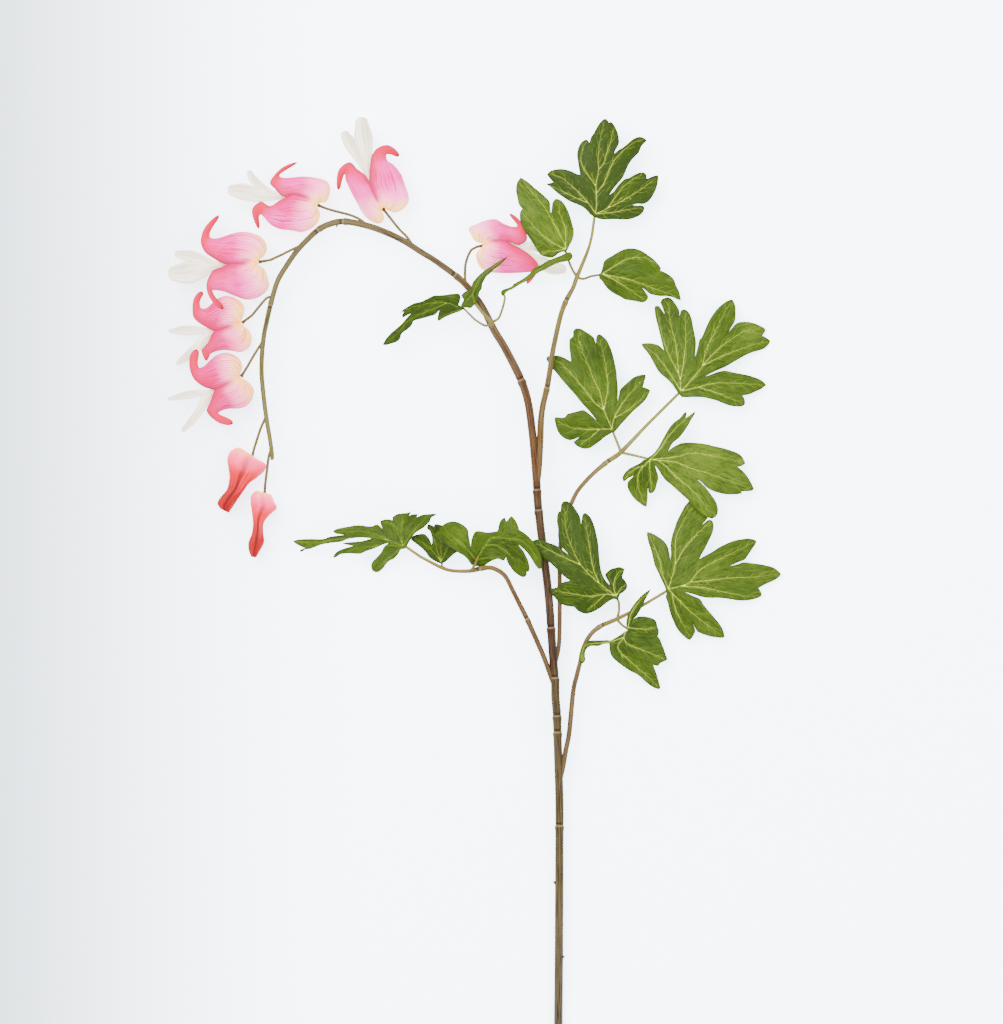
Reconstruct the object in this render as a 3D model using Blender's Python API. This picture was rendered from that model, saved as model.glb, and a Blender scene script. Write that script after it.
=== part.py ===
"""Bleeding heart: one cut flowering stem laid down on its side.

The spray lies along +Y with its cut end at -Y, the leaves toward +X and the flowers toward -X.
Positions along and across the spray are read off the photograph in pixels and turned to metres
by SCALE. Heights above the surface, diameters and thicknesses are real sizes in millimetres.
"""

import math

import bmesh
import bpy
import numpy as np
from mathutils import Vector
from mathutils.geometry import delaunay_2d_cdt

MM = 0.001
SCALE = 0.6 * MM            # metres for one pixel of the photograph
CENTRE_U = 475.5            # pixel column under the origin
CENTRE_V = 616.0            # pixel row under the origin

GAP = 0.3 * MM              # clearance between pieces
BLADE = 0.7 * MM            # thickness of a leaf blade
RIB_DEPTH = 0.45 * MM       # how far a vein sinks into the upper face of a leaf
PETAL = 0.75 * MM           # thickness of an outer petal
RECEPTACLE = 1.65 * MM      # radius of the little seat of a flower
OUTLINE_TOLERANCE = 0.55    # pixels a blade outline may be simplified by

# Main stem, from the cut end to the tip: column, row, height in mm, diameter in mm
STEM = [
    (558.5, 1114, 2.45, 5.3), (558.5, 1104, 2.45, 5.3), (558.5, 1060, 3.2, 5.3), (558.5, 1024, 3.9, 5.3),
    (559, 960, 5.2, 5.2), (559.3, 905, 6.3, 5.2), (559.5, 850, 7.4, 5.1), (559.5, 800, 8.5, 5.1),
    (558, 750, 9.5, 5.1), (557, 716, 10.2, 5.2), (555.5, 698, 10.6, 5.2), (555, 680, 11.0, 5.1),
    (552.5, 650, 11.6, 5.0), (549, 600, 12.6, 5.0), (544.5, 560, 13.3, 5.0), (538.5, 510, 14.0, 5.0),
    (536.5, 480, 14.3, 4.9), (534, 450, 14.6, 4.8), (532, 430, 14.7, 4.8), (528, 402, 14.9, 4.8),
    (521, 380, 15.0, 4.9), (506, 350, 15.1, 4.8), (494, 330, 15.2, 4.7), (484, 310, 15.2, 4.3),
    (477, 299, 15.2, 4.2), (462, 281, 15.2, 4.0), (437, 262, 15.1, 3.7), (421, 252, 15.0, 3.7),
    (402, 240, 15.0, 3.8), (380, 230, 14.9, 3.9), (360, 224, 14.8, 3.9), (343, 221.5, 14.6, 3.9),
    (330, 224, 14.5, 3.8), (318, 230, 14.4, 3.6), (305, 242, 14.2, 3.4), (296, 252, 14.1, 3.4),
    (287, 265, 14.0, 3.3), (278, 280, 13.9, 3.2), (272, 299, 13.7, 3.1), (267, 320, 13.6, 3.0),
    (263, 342, 13.5, 2.9), (261.5, 371, 13.4, 2.8), (264, 400, 13.3, 2.8), (267, 422, 13.2, 2.7),
    (270, 440, 13.1, 2.6), (272, 454, 13.0, 2.5), (272, 460, 13.0, 2.0),
]
# Slightly swollen joints of the stem, as rows down the straight part or points on the arch
STEM_JOINTS = [(559.5, 826), (557.5, 732), (557, 716), (554.8, 678), (551, 627), (538.5, 510), (537, 490),
               (521, 380), (455, 275), (343, 221.5), (318, 230), (271, 305)]
# Small bumps left by fallen stalks: base point and end point with heights in mm, diameter in mm
STEM_STUBS = [((558, 886, 6.8), (553.6, 882, 7.4), 1.6), ((560, 960, 5.3), (564.6, 957, 5.9), 1.5),
              ((338, 222, 14.6), (336.5, 227.5, 15.0), 1.2)]

# Flower stalks fused into the stem: points with heights in mm; the last one is the flower's seat
PEDICELS = {
    "flower_1": [(414.5, 247.8, 15.0), (407, 237, 14.8), (400, 230, 14.2), (393, 221.5, 13.4)],
    "flower_2": [(368, 226.2, 14.8), (360, 219.5, 14.2), (350, 215, 13.6), (335, 211, 12.9), (325, 208, 12.3)],
    "flower_3": [(302, 245.2, 14.2), (292, 249.5, 13.8), (283, 254, 13.4), (270, 260, 12.9)],
    "flower_4": [(273, 296, 13.7), (267, 298, 13.4), (262, 303, 12.9), (252, 315, 10.8)],
    "flower_5": [(263.5, 340, 13.5), (259, 347, 13.4), (254, 355, 13.0), (247, 367, 12.5)],
    "flower_6": [(468.5, 288.8, 15.2), (465.5, 281, 14.6), (465, 272, 13.6), (466, 262, 12.6),
                 (470.5, 251, 11.8), (477, 246.5, 11.2)],
    "bud_1": [(266.2, 416, 13.2), (263, 423, 12.6), (260, 430, 12.0), (254, 448, 9.6)],
    "bud_2": [(271.2, 449, 13.0), (268.8, 456, 13.6), (267, 470, 13.6), (265, 485, 11.6)],
}
PEDICEL_DIAMETER = 1.25
PEDICEL_KNOB = 1.8

# Leaf stalks: the main line first, then its side stalks. Points: column, row, height mm, diameter mm.
# The text at the end of a line names the leaf it runs under.
STALKS = {
    "top": {
        "lines": [
            ([(536.6, 486, 14.3, 3.2), (538.8, 466, 14.7, 3.2), (540.2, 440, 15.0, 3.2), (541, 420, 15.2, 3.0),
              (543, 405, 15.4, 2.9), (547, 388, 15.7, 2.8), (550, 370, 16.0, 2.6), (553, 350, 16.1, 2.5),
              (560, 318, 16.1, 2.4), (566, 301, 16.1, 2.5), (573, 288, 16.0, 2.1), (577, 277, 16.0, 2.1),
              (588, 250, 16.1, 1.5), (592, 235, 16.2, 1.4)], "leaf_top_end"),
            ([(577, 277, 16.0, 1.4), (572, 269, 15.9, 1.2), (568, 259, 15.8, 1.2)], "leaf_top_left"),
            ([(576.5, 277, 16.0, 1.4), (583, 279, 15.7, 1.2), (591, 276.3, 15.5, 1.2)], "leaf_top_right")],
        "joints": [(547, 388), (566, 301)]},
    "middle": {
        "lines": [
            ([(553.8, 668, 11.2, 2.1), (557.2, 655, 10.7, 2.1), (559.3, 640, 10.3, 2.1), (559.8, 600, 10.0, 2.1),
              (559.8, 560, 10.0, 2.1), (561.5, 535, 10.2, 2.1), (566, 515, 10.4, 2.2), (572, 502, 10.8, 2.2),
              (577, 492, 11.0, 2.1), (585, 482, 11.2, 2.1), (595, 472, 11.5, 2.1), (607, 462, 11.8, 2.4),
              (621, 452, 11.7, 2.2), (645, 427, 11.6, 1.6), (660, 412, 11.4, 1.5)], "leaf_middle_end"),
            ([(621, 452, 11.7, 1.5), (617.5, 443, 11.6, 1.3)], "leaf_middle_left"),
            ([(620.5, 452.3, 11.7, 1.5), (634, 455.3, 11.6, 1.3)], "leaf_middle_low")],
        "joints": [(607, 462)]},
    "lower": {
        "lines": [
            ([(559, 783, 8.9, 2.5), (562.8, 768, 9.3, 2.5), (566, 750, 9.8, 2.4), (569, 735, 10.1, 2.4),
              (571, 715, 10.5, 2.4), (573.5, 690, 11.0, 2.3), (577, 675, 11.3, 2.3), (580, 663, 11.5, 2.2),
              (583, 650, 11.8, 2.2), (587, 640, 12.0, 2.2), (593, 632, 12.2, 2.2), (601, 626, 12.5, 2.3),
              (610, 622, 12.6, 2.1), (617, 619, 12.6, 2.0), (630, 612.5, 12.1, 1.6), (647, 603, 11.5, 1.5)],
             "leaf_lower_end"),
            ([(617, 619.3, 12.6, 1.4), (619, 611, 12.9, 1.2), (619, 603, 13.2, 1.2)], "leaf_lower_left"),
            ([(616.5, 619, 12.6, 1.4), (622, 625, 12.4, 1.2)], "leaf_lower_right")],
        "joints": [(601, 626)]},
    "left": {
        "lines": [
            ([(554.6, 686, 10.9, 2.4), (550, 674, 11.2, 2.4), (545, 660, 11.6, 2.4), (540, 648, 11.9, 2.4),
              (527, 619, 12.4, 2.4), (520, 605, 12.6, 2.3), (513, 591, 12.8, 2.2), (505, 576, 12.9, 2.2),
              (495, 569, 13.0, 2.2), (488, 567.6, 13.0, 2.2), (480, 568.6, 13.0, 2.4), (470, 571, 12.9, 1.9),
              (455, 571, 12.7, 1.7), (445, 569, 12.5, 1.7), (436, 565, 12.3, 1.6), (420, 556.5, 12.0, 1.4)],
             "leaf_far_left"),
            ([(447, 569.4, 12.6, 1.3), (442, 566.5, 12.4, 1.1)], "leaf_left_dark"),
            ([(471, 570.8, 12.9, 1.6), (473, 568, 14.8, 1.4), (474.6, 565, 16.4, 1.3)], "leaf_left_fold")],
        "joints": [(527, 619), (480, 568.6)]},
    "arch": {
        "lines": [
            ([(492.6, 327.5, 15.6, 2.0), (491.6, 324.5, 18.0, 2.1), (489.5, 320.5, 19.2, 1.9),
              (482, 312.5, 19.5, 1.5)], "leaf_arch_end"),
            ([(491.6, 323.8, 18.7, 1.5), (485, 325.8, 18.6, 1.2), (475, 320, 18.2, 1.1)], "leaf_arch_left"),
            ([(490.8, 322.5, 18.7, 1.5), (498.5, 318.5, 18.8, 1.2), (503, 307, 18.6, 1.2), (505, 298, 18.3, 1.1)],
             "leaf_arch_right")],
        "joints": []},
}

# Leaves. outline: points round the blade, starting where the stalk meets it. ribs: main veins.
# heights: how high the blade stands at some of its points, in mm. under: where the stalk runs on
# along the first vein, seat -1 below the blade or +1 on top of it.
LEAVES = {
    "leaf_top_end": {
        "outline": [
            (594.5, 217.5), (590, 214.5), (586, 210), (582, 207), (578, 205), (573, 203), (568, 200.5), (563, 197),
            (558, 193.5), (553, 189), (549.5, 186), (546, 184), (550, 182.8), (553.3, 182.4), (550, 178.5),
            (547, 174.5), (549, 172), (552, 170.3), (557, 169.2), (562, 169), (567, 170), (571, 171.3),
            (575, 173.3), (580, 175.2), (579.3, 171), (578.5, 166), (577.5, 160), (577, 155), (578, 149),
            (580, 144.5), (583, 141), (586, 139.8), (588, 140.7), (589.4, 143), (590.2, 139.5), (591.5, 136.5),
            (594, 133), (596, 129), (599, 124), (602, 120.3), (605, 118.9), (607.5, 120), (609, 122.7),
            (611, 121.5), (614, 125), (616, 128.5), (618, 134), (619, 140), (619, 143), (617.5, 147),
            (615.5, 150), (614.2, 154), (618, 150.6), (623, 147.5), (628, 143.3), (632, 139.8), (636, 137.5),
            (640, 136.6), (644, 137.8), (646.8, 140), (645, 142.5), (642, 145.5), (640, 149.5), (638.5, 153),
            (635, 156.5), (631, 161), (628, 166), (625.5, 171.5), (623, 177), (620, 181), (616, 185.8),
            (612.5, 190), (609.3, 195.2), (613.5, 191.8), (617, 187), (621, 182.4), (625, 179.2), (629, 178),
            (633, 175.5), (637, 173.5), (641, 172.2), (644.5, 172.6), (646.5, 175), (646.9, 178.6), (650, 177.2),
            (654, 175.5), (658, 174.8), (658.5, 177), (658, 182), (656.5, 188), (654, 193.5), (650.5, 199),
            (647, 202.3), (643, 203.8), (638, 203.6), (632.5, 204.7), (637, 205.5), (641, 205), (644, 206.3),
            (644.5, 208.5), (643, 212), (640, 215), (635, 217.5), (629, 219.3), (622, 219.6), (614, 219.4),
            (607, 219.7), (601, 219.6), (597.5, 218.5)],
        "ribs": [
            [(595.5, 214), (596.5, 200), (596, 185), (598.5, 170), (598, 160), (600, 140), (604, 123)],
            [(595.5, 214), (588, 203), (576, 190), (562, 178), (550, 173.5)],
            [(588, 203), (578, 199), (562, 191), (550, 185)],
            [(596, 187), (583, 167), (581, 155), (585, 143)],
            [(598.5, 170), (604, 163), (606, 155), (611, 140), (613, 128)],
            [(596.8, 193), (604, 183), (608, 173), (614, 161), (622, 152), (635, 142), (643, 139)],
            [(595.5, 214), (606, 209), (614, 199), (622, 188), (632, 180), (642, 174.5)],
            [(606, 209), (618, 203), (627, 198), (638, 191), (648, 184), (656, 178)],
            [(596, 214), (612, 212.5), (625, 210), (641, 207.5)]],
        "heights": [(596, 217, 17.6), (599, 165, 19), (605, 120, 14), (585, 141, 16), (644, 139, 12),
                    (625, 160, 16.5), (645, 174, 12), (657, 178, 10), (642, 208, 11), (620, 212, 15),
                    (548, 173, 13), (547, 184, 12), (575, 190, 17)],
        "under": [(595, 213), (596, 206)], "seat": -1},
    "leaf_top_left": {
        "outline": [
            (565.5, 252.4), (562, 252), (558, 254), (555, 256.5), (551, 258), (546, 257.3), (541, 255.5),
            (538, 252), (535, 247), (532, 242), (529, 238), (525.5, 232), (522.5, 227), (520.5, 222),
            (519.8, 217), (520, 213), (521, 210.5), (522.3, 209), (520.5, 207), (518.5, 203.5), (517.5, 198.5),
            (516.3, 193), (516, 188), (517, 183), (519, 179.5), (521, 177.5), (524.5, 179.8), (529, 183),
            (534, 187.5), (539, 191.5), (544, 196), (548, 200), (549.8, 203), (550.2, 208), (551, 214),
            (551.8, 208), (552.2, 204), (553.5, 201), (556, 199), (559, 199.7), (562, 201.5), (565, 205.5),
            (568, 211), (570.5, 218), (572.5, 225), (573.8, 231), (573.5, 236), (572, 241), (569.5, 245.5),
            (567.8, 249.5)],
        "ribs": [
            [(565.6, 249), (564, 243), (557, 230), (550, 217), (541, 203), (530, 190), (521.5, 180)],
            [(565.6, 249), (558, 246), (547, 239), (538, 231), (530, 222), (522, 212.5)],
            [(565.6, 249), (565.5, 240), (565, 228), (560, 215), (556.5, 201.5)],
            [(565.6, 249), (557, 251), (548, 251.5), (542, 253)]],
        "heights": [(566, 252, 17.0), (521, 179, 15.5), (520, 215, 16.5), (545, 215, 19.3), (556, 201, 17),
                    (572, 232, 16), (545, 255, 17), (528, 235, 17.6)],
        "under": [(565.6, 250.5), (564.3, 244)], "seat": -1},
    "leaf_top_right": {
        "outline": [
            (599.5, 274.5), (601, 272), (602.5, 267), (603.5, 262.5), (606, 259.3), (610, 257), (615, 254),
            (620, 251), (625, 249), (631, 248.2), (637, 249), (643, 251.5), (648, 255), (654, 259.5), (659, 265),
            (661, 268.5), (660.3, 270.4), (665, 272.5), (670, 275.5), (674, 279.5), (676, 285), (679, 291),
            (680.5, 296), (681, 300.5), (677, 299), (672, 297), (666, 296), (660, 296), (654, 295),
            (649, 293.2), (642, 287.3), (647.7, 295), (648.3, 297), (647, 300), (644, 302), (640, 302),
            (635, 301), (630, 300.2), (625, 299.3), (620, 296.5), (614, 293.5), (609, 290), (604.5, 285),
            (601.5, 280.5), (599, 278.3)],
        "ribs": [
            [(602, 274), (613, 267), (628, 259), (645, 258), (657, 265)],
            [(602, 274), (612, 276), (625, 278.5), (640, 283), (655, 289), (670, 293.5), (679, 298.5)],
            [(602, 274), (613, 279), (623, 285), (632, 291), (644, 299)]],
        "heights": [(600, 274, 16.3), (630, 249, 12.5), (658, 266, 13.5), (640, 272, 17), (680, 300, 10.5),
                    (646, 299, 12), (620, 295, 12.5), (645, 284, 15.5), (665, 283, 14.5)],
        "under": [(601, 274.8), (609, 274.8)], "seat": -1},
    "leaf_middle_end": {
        "outline": [
            (679, 394), (677, 391.5), (674, 387), (671, 383), (667, 379), (661, 374), (657, 369), (653, 361.5),
            (650, 356), (646, 350.5), (643, 347), (641.5, 343.8), (644, 343), (649, 342.8), (655, 343.8),
            (660, 346), (664, 350), (662.4, 344.5), (661.5, 340), (660, 334), (658, 326), (656, 318),
            (655, 312), (655, 306.5), (657, 305.5), (659.5, 306), (661.5, 308.8), (665, 314), (662.6, 307),
            (661, 303), (661.5, 300), (664, 298), (668, 297), (672, 298.7), (675, 302.5), (678, 307),
            (679.6, 310.5), (679.8, 316), (681, 310.8), (684, 309), (687, 310), (690, 313.5), (692, 319),
            (693.5, 327), (695, 335), (696, 341), (696, 346), (695.5, 351), (695, 357), (697, 350.5),
            (698.5, 344), (699.5, 340), (702, 337), (705, 330), (709, 321), (714, 313), (719, 307), (725, 302),
            (730, 299.5), (733, 299.3), (735, 303), (736, 308), (736, 314), (735.5, 320), (733, 325),
            (729, 331.5), (732, 328), (735, 324.5), (739, 322), (745, 321.3), (751, 321.8), (757, 323.5),
            (762, 325.8), (766, 328.5), (765.5, 331.5), (763, 335), (766, 336.5), (770, 339), (771, 341),
            (769, 344.5), (765, 348), (760, 350), (753, 352), (746, 355), (739, 359), (732, 363), (726, 366.5),
            (718, 370), (711, 373.2), (705, 376.6), (712, 374), (718, 371.8), (725, 370.5), (733, 372),
            (741, 373.5), (749, 375), (757, 377.5), (763, 380.5), (767, 384.5), (763, 388), (757, 391),
            (750, 394), (743, 395.5), (745, 399), (745.5, 403.5), (743, 406), (738, 406.5), (732, 406),
            (725, 404), (718, 401), (711, 399), (704, 397.5), (696, 397), (688, 397.3), (682, 397)],
        "ribs": [
            [(681, 391), (679, 375), (668, 352), (661, 330), (657, 309)],
            [(679, 375), (676, 345), (671, 325), (668, 301)],
            [(680, 383), (684, 360), (686, 335), (685, 313)],
            [(681, 391), (669, 372), (657, 356), (645, 346)],
            [(681, 391), (693, 378), (702, 366), (706, 350), (716, 330), (725, 312), (731, 302)],
            [(702, 366), (715, 352), (730, 340), (745, 331), (761, 328)],
            [(702, 366), (720, 357), (740, 349), (755, 344), (768, 341)],
            [(681, 391), (698, 387), (715, 383), (735, 383), (763, 384.5)],
            [(698, 387), (715, 392), (730, 398), (742, 402.5)]],
        "heights": [(680, 393, 12.6), (642, 344, 9), (657, 308, 8), (668, 298, 7), (685, 310, 8),
                    (733, 300, 6), (765, 328, 2.6), (770.5, 341, 0.45), (766, 384, 3), (744, 404, 7),
                    (700, 365, 13.5), (675, 345, 11)],
        "under": [(679.3, 392.8), (685.5, 386)], "seat": -1},
    "leaf_middle_left": {
        "outline": [
            (612, 432.6), (610, 434), (605, 437), (599, 442), (594, 445.5), (590, 448), (585, 448.8),
            (580, 447.5), (576, 445), (573.3, 442), (579.5, 437), (573, 439.6), (569, 440), (564, 438),
            (560, 434.5), (557, 429.5), (555.5, 424), (554.5, 419), (556, 417), (560, 417.5), (564, 417.3),
            (566, 416), (567, 414), (572, 412.5), (578, 411), (583, 409.8), (587, 412), (592, 416), (597, 420.7),
            (590.5, 412.5), (584.5, 406), (580, 401), (575, 394.5), (569, 388), (562, 380), (556, 372.5),
            (551, 367), (547.5, 361.5), (546.3, 358.5), (547.5, 356.5), (550, 355.5), (555, 355.3), (560, 356),
            (565, 358), (571, 361.5), (570.3, 355), (569.5, 348), (569.3, 342), (570, 338.5), (573, 336),
            (573, 332), (574.5, 329), (578, 328), (582, 329), (586, 331.5), (590, 334), (594, 337.5),
            (596, 343.5), (596.3, 337.5), (598, 334.2), (600, 334), (603, 335.8), (607, 340), (610, 346),
            (612.5, 353), (614.5, 361), (616.5, 371), (617.3, 380), (618, 389), (617.6, 401), (619, 395),
            (620, 390), (624, 385.5), (629, 381), (634, 377), (640, 374.8), (645.5, 374.3), (646, 376),
            (644.5, 382), (643, 387), (647, 388), (650.5, 390), (649, 394), (645.5, 400), (640, 405.5),
            (633, 411.5), (627, 418), (621, 424.5), (617, 429.5), (614.5, 432)],
        "ribs": [
            [(612, 429), (604, 410), (600, 393), (594, 380), (588, 365), (580, 345), (577.5, 332)],
            [(604, 410), (606, 398), (608, 385), (605, 362), (600, 340)],
            [(604, 410), (595, 403), (585, 390), (575, 378), (562, 364), (550, 358.5)],
            [(612, 429), (600, 429), (585, 429), (570, 427), (558, 421)],
            [(600, 429), (591, 437), (581, 443.5)],
            [(612, 429), (614, 418), (622, 404), (632, 391), (643, 378)],
            [(614, 418), (628, 410), (640, 400), (648, 391.5)]],
        "heights": [(613, 431, 12.8), (577, 329, 8), (600, 335, 8), (547, 358, 11.5), (557, 366, 12),
                    (585, 380, 13.5), (645, 375, 9), (650, 390, 9), (555, 420, 10), (585, 447, 9),
                    (612, 380, 11)],
        "under": [(612.5, 431), (608.5, 421)], "seat": -1},
    "leaf_middle_low": {
        "outline": [
            (647, 459.5), (643.5, 459.8), (640, 463), (635, 465.5), (630, 468), (626, 471.5), (623.5, 475),
            (622.5, 478), (623.5, 481.5), (626, 480.5), (629, 478), (634, 475.5), (630, 479.5), (628, 482),
            (627.5, 486), (629, 490.5), (632, 495.5), (636, 500), (641, 504), (645, 506.5), (647, 506),
            (647.5, 502), (648, 497), (648, 487.5), (649, 492.5), (651, 493.3), (654, 492), (656, 488.5),
            (657, 484), (658.5, 479), (658, 474.5), (656.5, 470), (655.3, 465.5), (659, 470.5), (662, 475.5),
            (666, 480.5), (671, 484.5), (677, 490), (682, 494.5), (688, 500), (692, 505), (697, 510),
            (703, 515), (708, 517.5), (712, 518.5), (716, 516.5), (718, 512), (717.5, 506), (715, 500),
            (711, 494.5), (707, 489), (702, 483.8), (697, 479.3), (701.5, 482.4), (706, 487), (712, 490.5),
            (719, 493), (726, 494.3), (733, 494.5), (740, 494), (742, 493.5), (742, 491.5), (747, 491.3),
            (752, 490.8), (754.3, 488.5), (752, 483.5), (749, 478), (746, 474), (742, 470), (738, 466.8),
            (742, 466), (745.8, 463.5), (744, 459), (741, 455), (737, 452.5), (730, 450), (722, 447.8),
            (714, 446), (706, 444), (698, 443), (690, 442.5), (682, 443), (676, 445.5), (671, 448.5),
            (668.3, 451), (671, 446), (674, 442), (679, 438), (684, 432), (688, 426), (692, 419), (695, 414),
            (695.8, 411.8), (694, 412), (690, 415), (685.5, 418), (687, 415), (686.5, 411.8), (684, 413),
            (680, 418), (675, 421.5), (670, 427), (665, 435), (661, 442.5), (657, 449), (653, 454),
            (648, 457.3)],
        "ribs": [
            [(650, 459.5), (660, 449), (668, 437), (680, 424), (693, 414)],
            [(650, 459.5), (675, 457), (693, 453), (710, 455.5), (730, 459), (743, 462.5)],
            [(650, 459.5), (675, 462), (690, 468), (710, 474), (730, 481), (751, 488)],
            [(658, 460.3), (667, 467), (678, 478), (690, 488), (700, 499), (711, 514)],
            [(650, 459.5), (640, 471), (638, 485), (644.5, 503)],
            [(650, 459.5), (650, 470), (652, 490)],
            [(645.5, 465), (635, 469), (625, 478)]],
        "heights": [(649, 459, 12.7), (695, 413, 9), (684, 416, 9), (745, 463, 8), (753, 488, 6),
                    (690, 455, 14), (720, 470, 12.5), (713, 517, 12.5), (690, 492, 14), (645, 505, 6),
                    (652, 492, 8), (624, 480, 8)],
        "under": [(648.5, 459), (658, 460.3)], "seat": -1},
    "leaf_lower_end": {
        "outline": [
            (667, 592.5), (665.5, 589), (664, 585), (661, 579), (658, 572), (655, 566), (653, 558), (651, 550),
            (648.5, 542), (647, 535), (647.5, 532), (650, 532.3), (655, 534.5), (661, 538.5), (665, 542),
            (668, 547), (669.5, 553), (670.6, 560), (671, 553), (670.7, 546), (671.5, 539), (674, 530),
            (677, 521.5), (681, 513.5), (685, 506), (689, 501.5), (694, 498), (700, 497), (706, 500.5),
            (709, 507), (709.5, 513), (708, 518), (702, 525), (708, 520.3), (711, 519.8), (713, 521.5),
            (714, 526), (713, 532), (710, 539), (706, 547), (702, 554), (699.5, 559), (705, 555.8),
            (712, 552), (719, 547.5), (727, 543.5), (735, 540.5), (743, 539), (750, 538.5), (755, 539.8),
            (757.3, 541.8), (755, 546), (752, 550), (748, 556), (744.5, 560), (738, 562.6), (730, 566.2),
            (738, 564.2), (744, 562.3), (751, 563), (759, 564), (767, 565.5), (774, 567.5), (779, 571),
            (782, 574.3), (779, 578), (773, 581.5), (766, 584.5), (759, 588.3), (761, 591), (762.5, 595),
            (759, 598), (752, 600), (745, 600.8), (737, 600.5), (728, 599), (719, 598), (710, 598), (702, 597),
            (695, 594.8), (685, 592), (693, 595.8), (700, 599), (704, 605), (709, 611), (715, 618), (720, 624),
            (723.5, 630), (725, 636), (724, 638), (719, 638), (712, 637), (705, 635), (700, 633), (697, 631),
            (692, 621), (694.8, 627.5), (695.5, 632), (693, 637), (690.5, 640.5), (687, 639), (682, 634.5),
            (677, 628.5), (673, 620), (670, 612), (668, 604), (666, 598), (666, 595)],
        "ribs": [
            [(668.5, 589), (672, 577), (675, 565), (675.5, 550), (677, 535), (689, 512), (699, 500)],
            [(675, 565), (680, 556), (686, 546), (696, 535), (704, 528), (711, 522)],
            [(668.5, 589), (680, 586), (690, 582), (700, 570), (718, 560), (735, 552), (754, 542.5)],
            [(690, 582), (712, 580), (730, 578), (755, 577), (779, 574)],
            [(680, 586), (698, 587), (706, 588), (724, 592), (745, 596), (759, 595.5)],
            [(668.5, 589), (677, 598), (690, 611), (705, 623), (721, 635)],
            [(672, 594), (676, 610), (682, 622), (690, 637)],
            [(668.5, 589), (663, 575), (659, 558), (650, 536)]],
        "heights": [(667, 591, 12.2), (648, 533, 8), (693, 510, 8.2), (705, 500, 7.6), (712, 521, 7.8),
                    (756, 541, 5), (782, 574.3, 2.0), (761, 595, 3.2), (724, 637, 5), (690, 639, 7),
                    (700, 570, 13.5), (730, 577, 10), (690, 610, 11)],
        "under": [(666.5, 591.3), (675, 587.3)], "seat": -1},
    "leaf_lower_left": {
        "outline": [
            (617.5, 600), (614, 599), (610, 600.5), (605, 604), (600, 608), (595, 611), (590, 613),
            (586, 613.8), (581, 612.5), (577, 610), (574, 607), (570, 606.5), (565, 605.5), (560, 603),
            (556, 599), (552, 594.5), (550.3, 591), (550, 588.5), (554, 588), (557, 587), (558, 585),
            (562, 582.5), (566, 581.3), (570, 580.6), (565, 577), (559, 571.5), (554, 566.5), (549, 562),
            (543, 558.5), (538, 553.5), (533.5, 547), (531.5, 541.5), (536, 539.5), (542, 540), (548, 542.5),
            (554, 544.5), (559, 547), (563, 550.3), (568.5, 554.5), (563, 548.5), (560, 543.5), (558, 537),
            (558, 529), (556.8, 521), (557.5, 514), (559, 511.5), (560.5, 511), (561, 505), (563, 502),
            (566, 501), (570, 503), (574, 507), (577, 511.5), (580, 517), (581, 524), (581.8, 517.5),
            (583, 514), (585.5, 513), (589, 515.5), (592, 520), (594.5, 527), (596.5, 535), (598, 543),
            (598.8, 552), (599.5, 560), (600.5, 568), (602.5, 575), (606, 581), (610, 585), (607, 579),
            (605, 575), (607, 572), (611, 569), (616, 567.5), (620, 567), (624.8, 569), (623.5, 573),
            (622.5, 577.5), (625, 580.5), (627.3, 585), (626.5, 589), (623.5, 592), (620, 594.5),
            (618.8, 597.5)],
        "ribs": [
            [(616, 596), (605, 588), (592, 577), (581, 565), (573, 550), (566, 530), (564.5, 506)],
            [(599, 583), (593, 568), (589, 545), (585, 518)],
            [(581, 565), (570, 560), (555, 553), (536, 543)],
            [(616, 596), (605, 594), (590, 596), (575, 594), (554, 590)],
            [(605, 594), (598, 601), (588, 610)],
            [(616, 596), (613.5, 587), (615, 578), (621, 569.5)],
            [(616, 596), (621, 588), (625.5, 585.5)]],
        "heights": [(617, 598, 14.8), (565, 502, 17), (585, 514, 16.5), (598, 545, 18), (575, 550, 19),
                    (531, 541, 17.5), (545, 552, 17.9), (551, 590, 17), (585, 613, 12.5), (575, 595, 17),
                    (622, 568, 12), (626, 585, 12.5), (600, 580, 18)],
        "under": [(617.5, 598.3), (612.5, 593)], "seat": -1},
    "leaf_lower_right": {
        "outline": [
            (627.5, 630.5), (625, 631.5), (620, 635), (615, 638), (611, 640.3), (607, 640), (600, 640.3),
            (592, 640.3), (587.5, 641.5), (584, 645), (581, 648), (580, 651.5), (578.7, 656), (579.3, 659.5),
            (581, 663), (583.5, 662.8), (585.5, 660), (585, 656), (585.5, 651), (588, 647.5), (592, 645.9),
            (598, 646), (604, 644), (609, 643.5), (609.3, 646), (609.5, 650), (611, 655), (613, 658),
            (618, 662.5), (624, 667), (630, 671), (636, 674), (641, 677.5), (645, 681.5), (650, 685.5),
            (655, 688.5), (659, 689.5), (660.7, 688), (659.5, 683), (657.5, 676), (655, 669), (653.5, 665.3),
            (658, 666), (661, 663), (665, 661.5), (667.5, 659.5), (666.5, 656), (664.5, 650), (662, 644),
            (660, 639), (658, 636.5), (658.8, 634), (659, 631), (657.5, 626), (656, 621), (653, 618.5),
            (648, 617), (642, 616.3), (637, 617), (632.5, 619.5), (636.5, 615.8), (639.5, 611), (642.5, 606),
            (645, 600), (648, 594.5), (651, 589), (645, 592.5), (639, 598), (634, 604), (629.5, 611),
            (627, 618), (626.3, 625)],
        "ribs": [
            [(627.8, 627.5), (624, 637), (628, 644), (640, 649), (655, 655), (665, 659)],
            [(624, 637), (618, 648), (630, 661), (645, 674), (658, 687)],
            [(627.8, 627.5), (640, 629), (650, 629), (657, 627)],
            [(627.8, 627.5), (631, 613), (639, 601), (649, 591)],
            [(624, 637), (610, 641.8), (598, 643), (586, 644.5), (582, 652), (582, 661)]],
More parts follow.
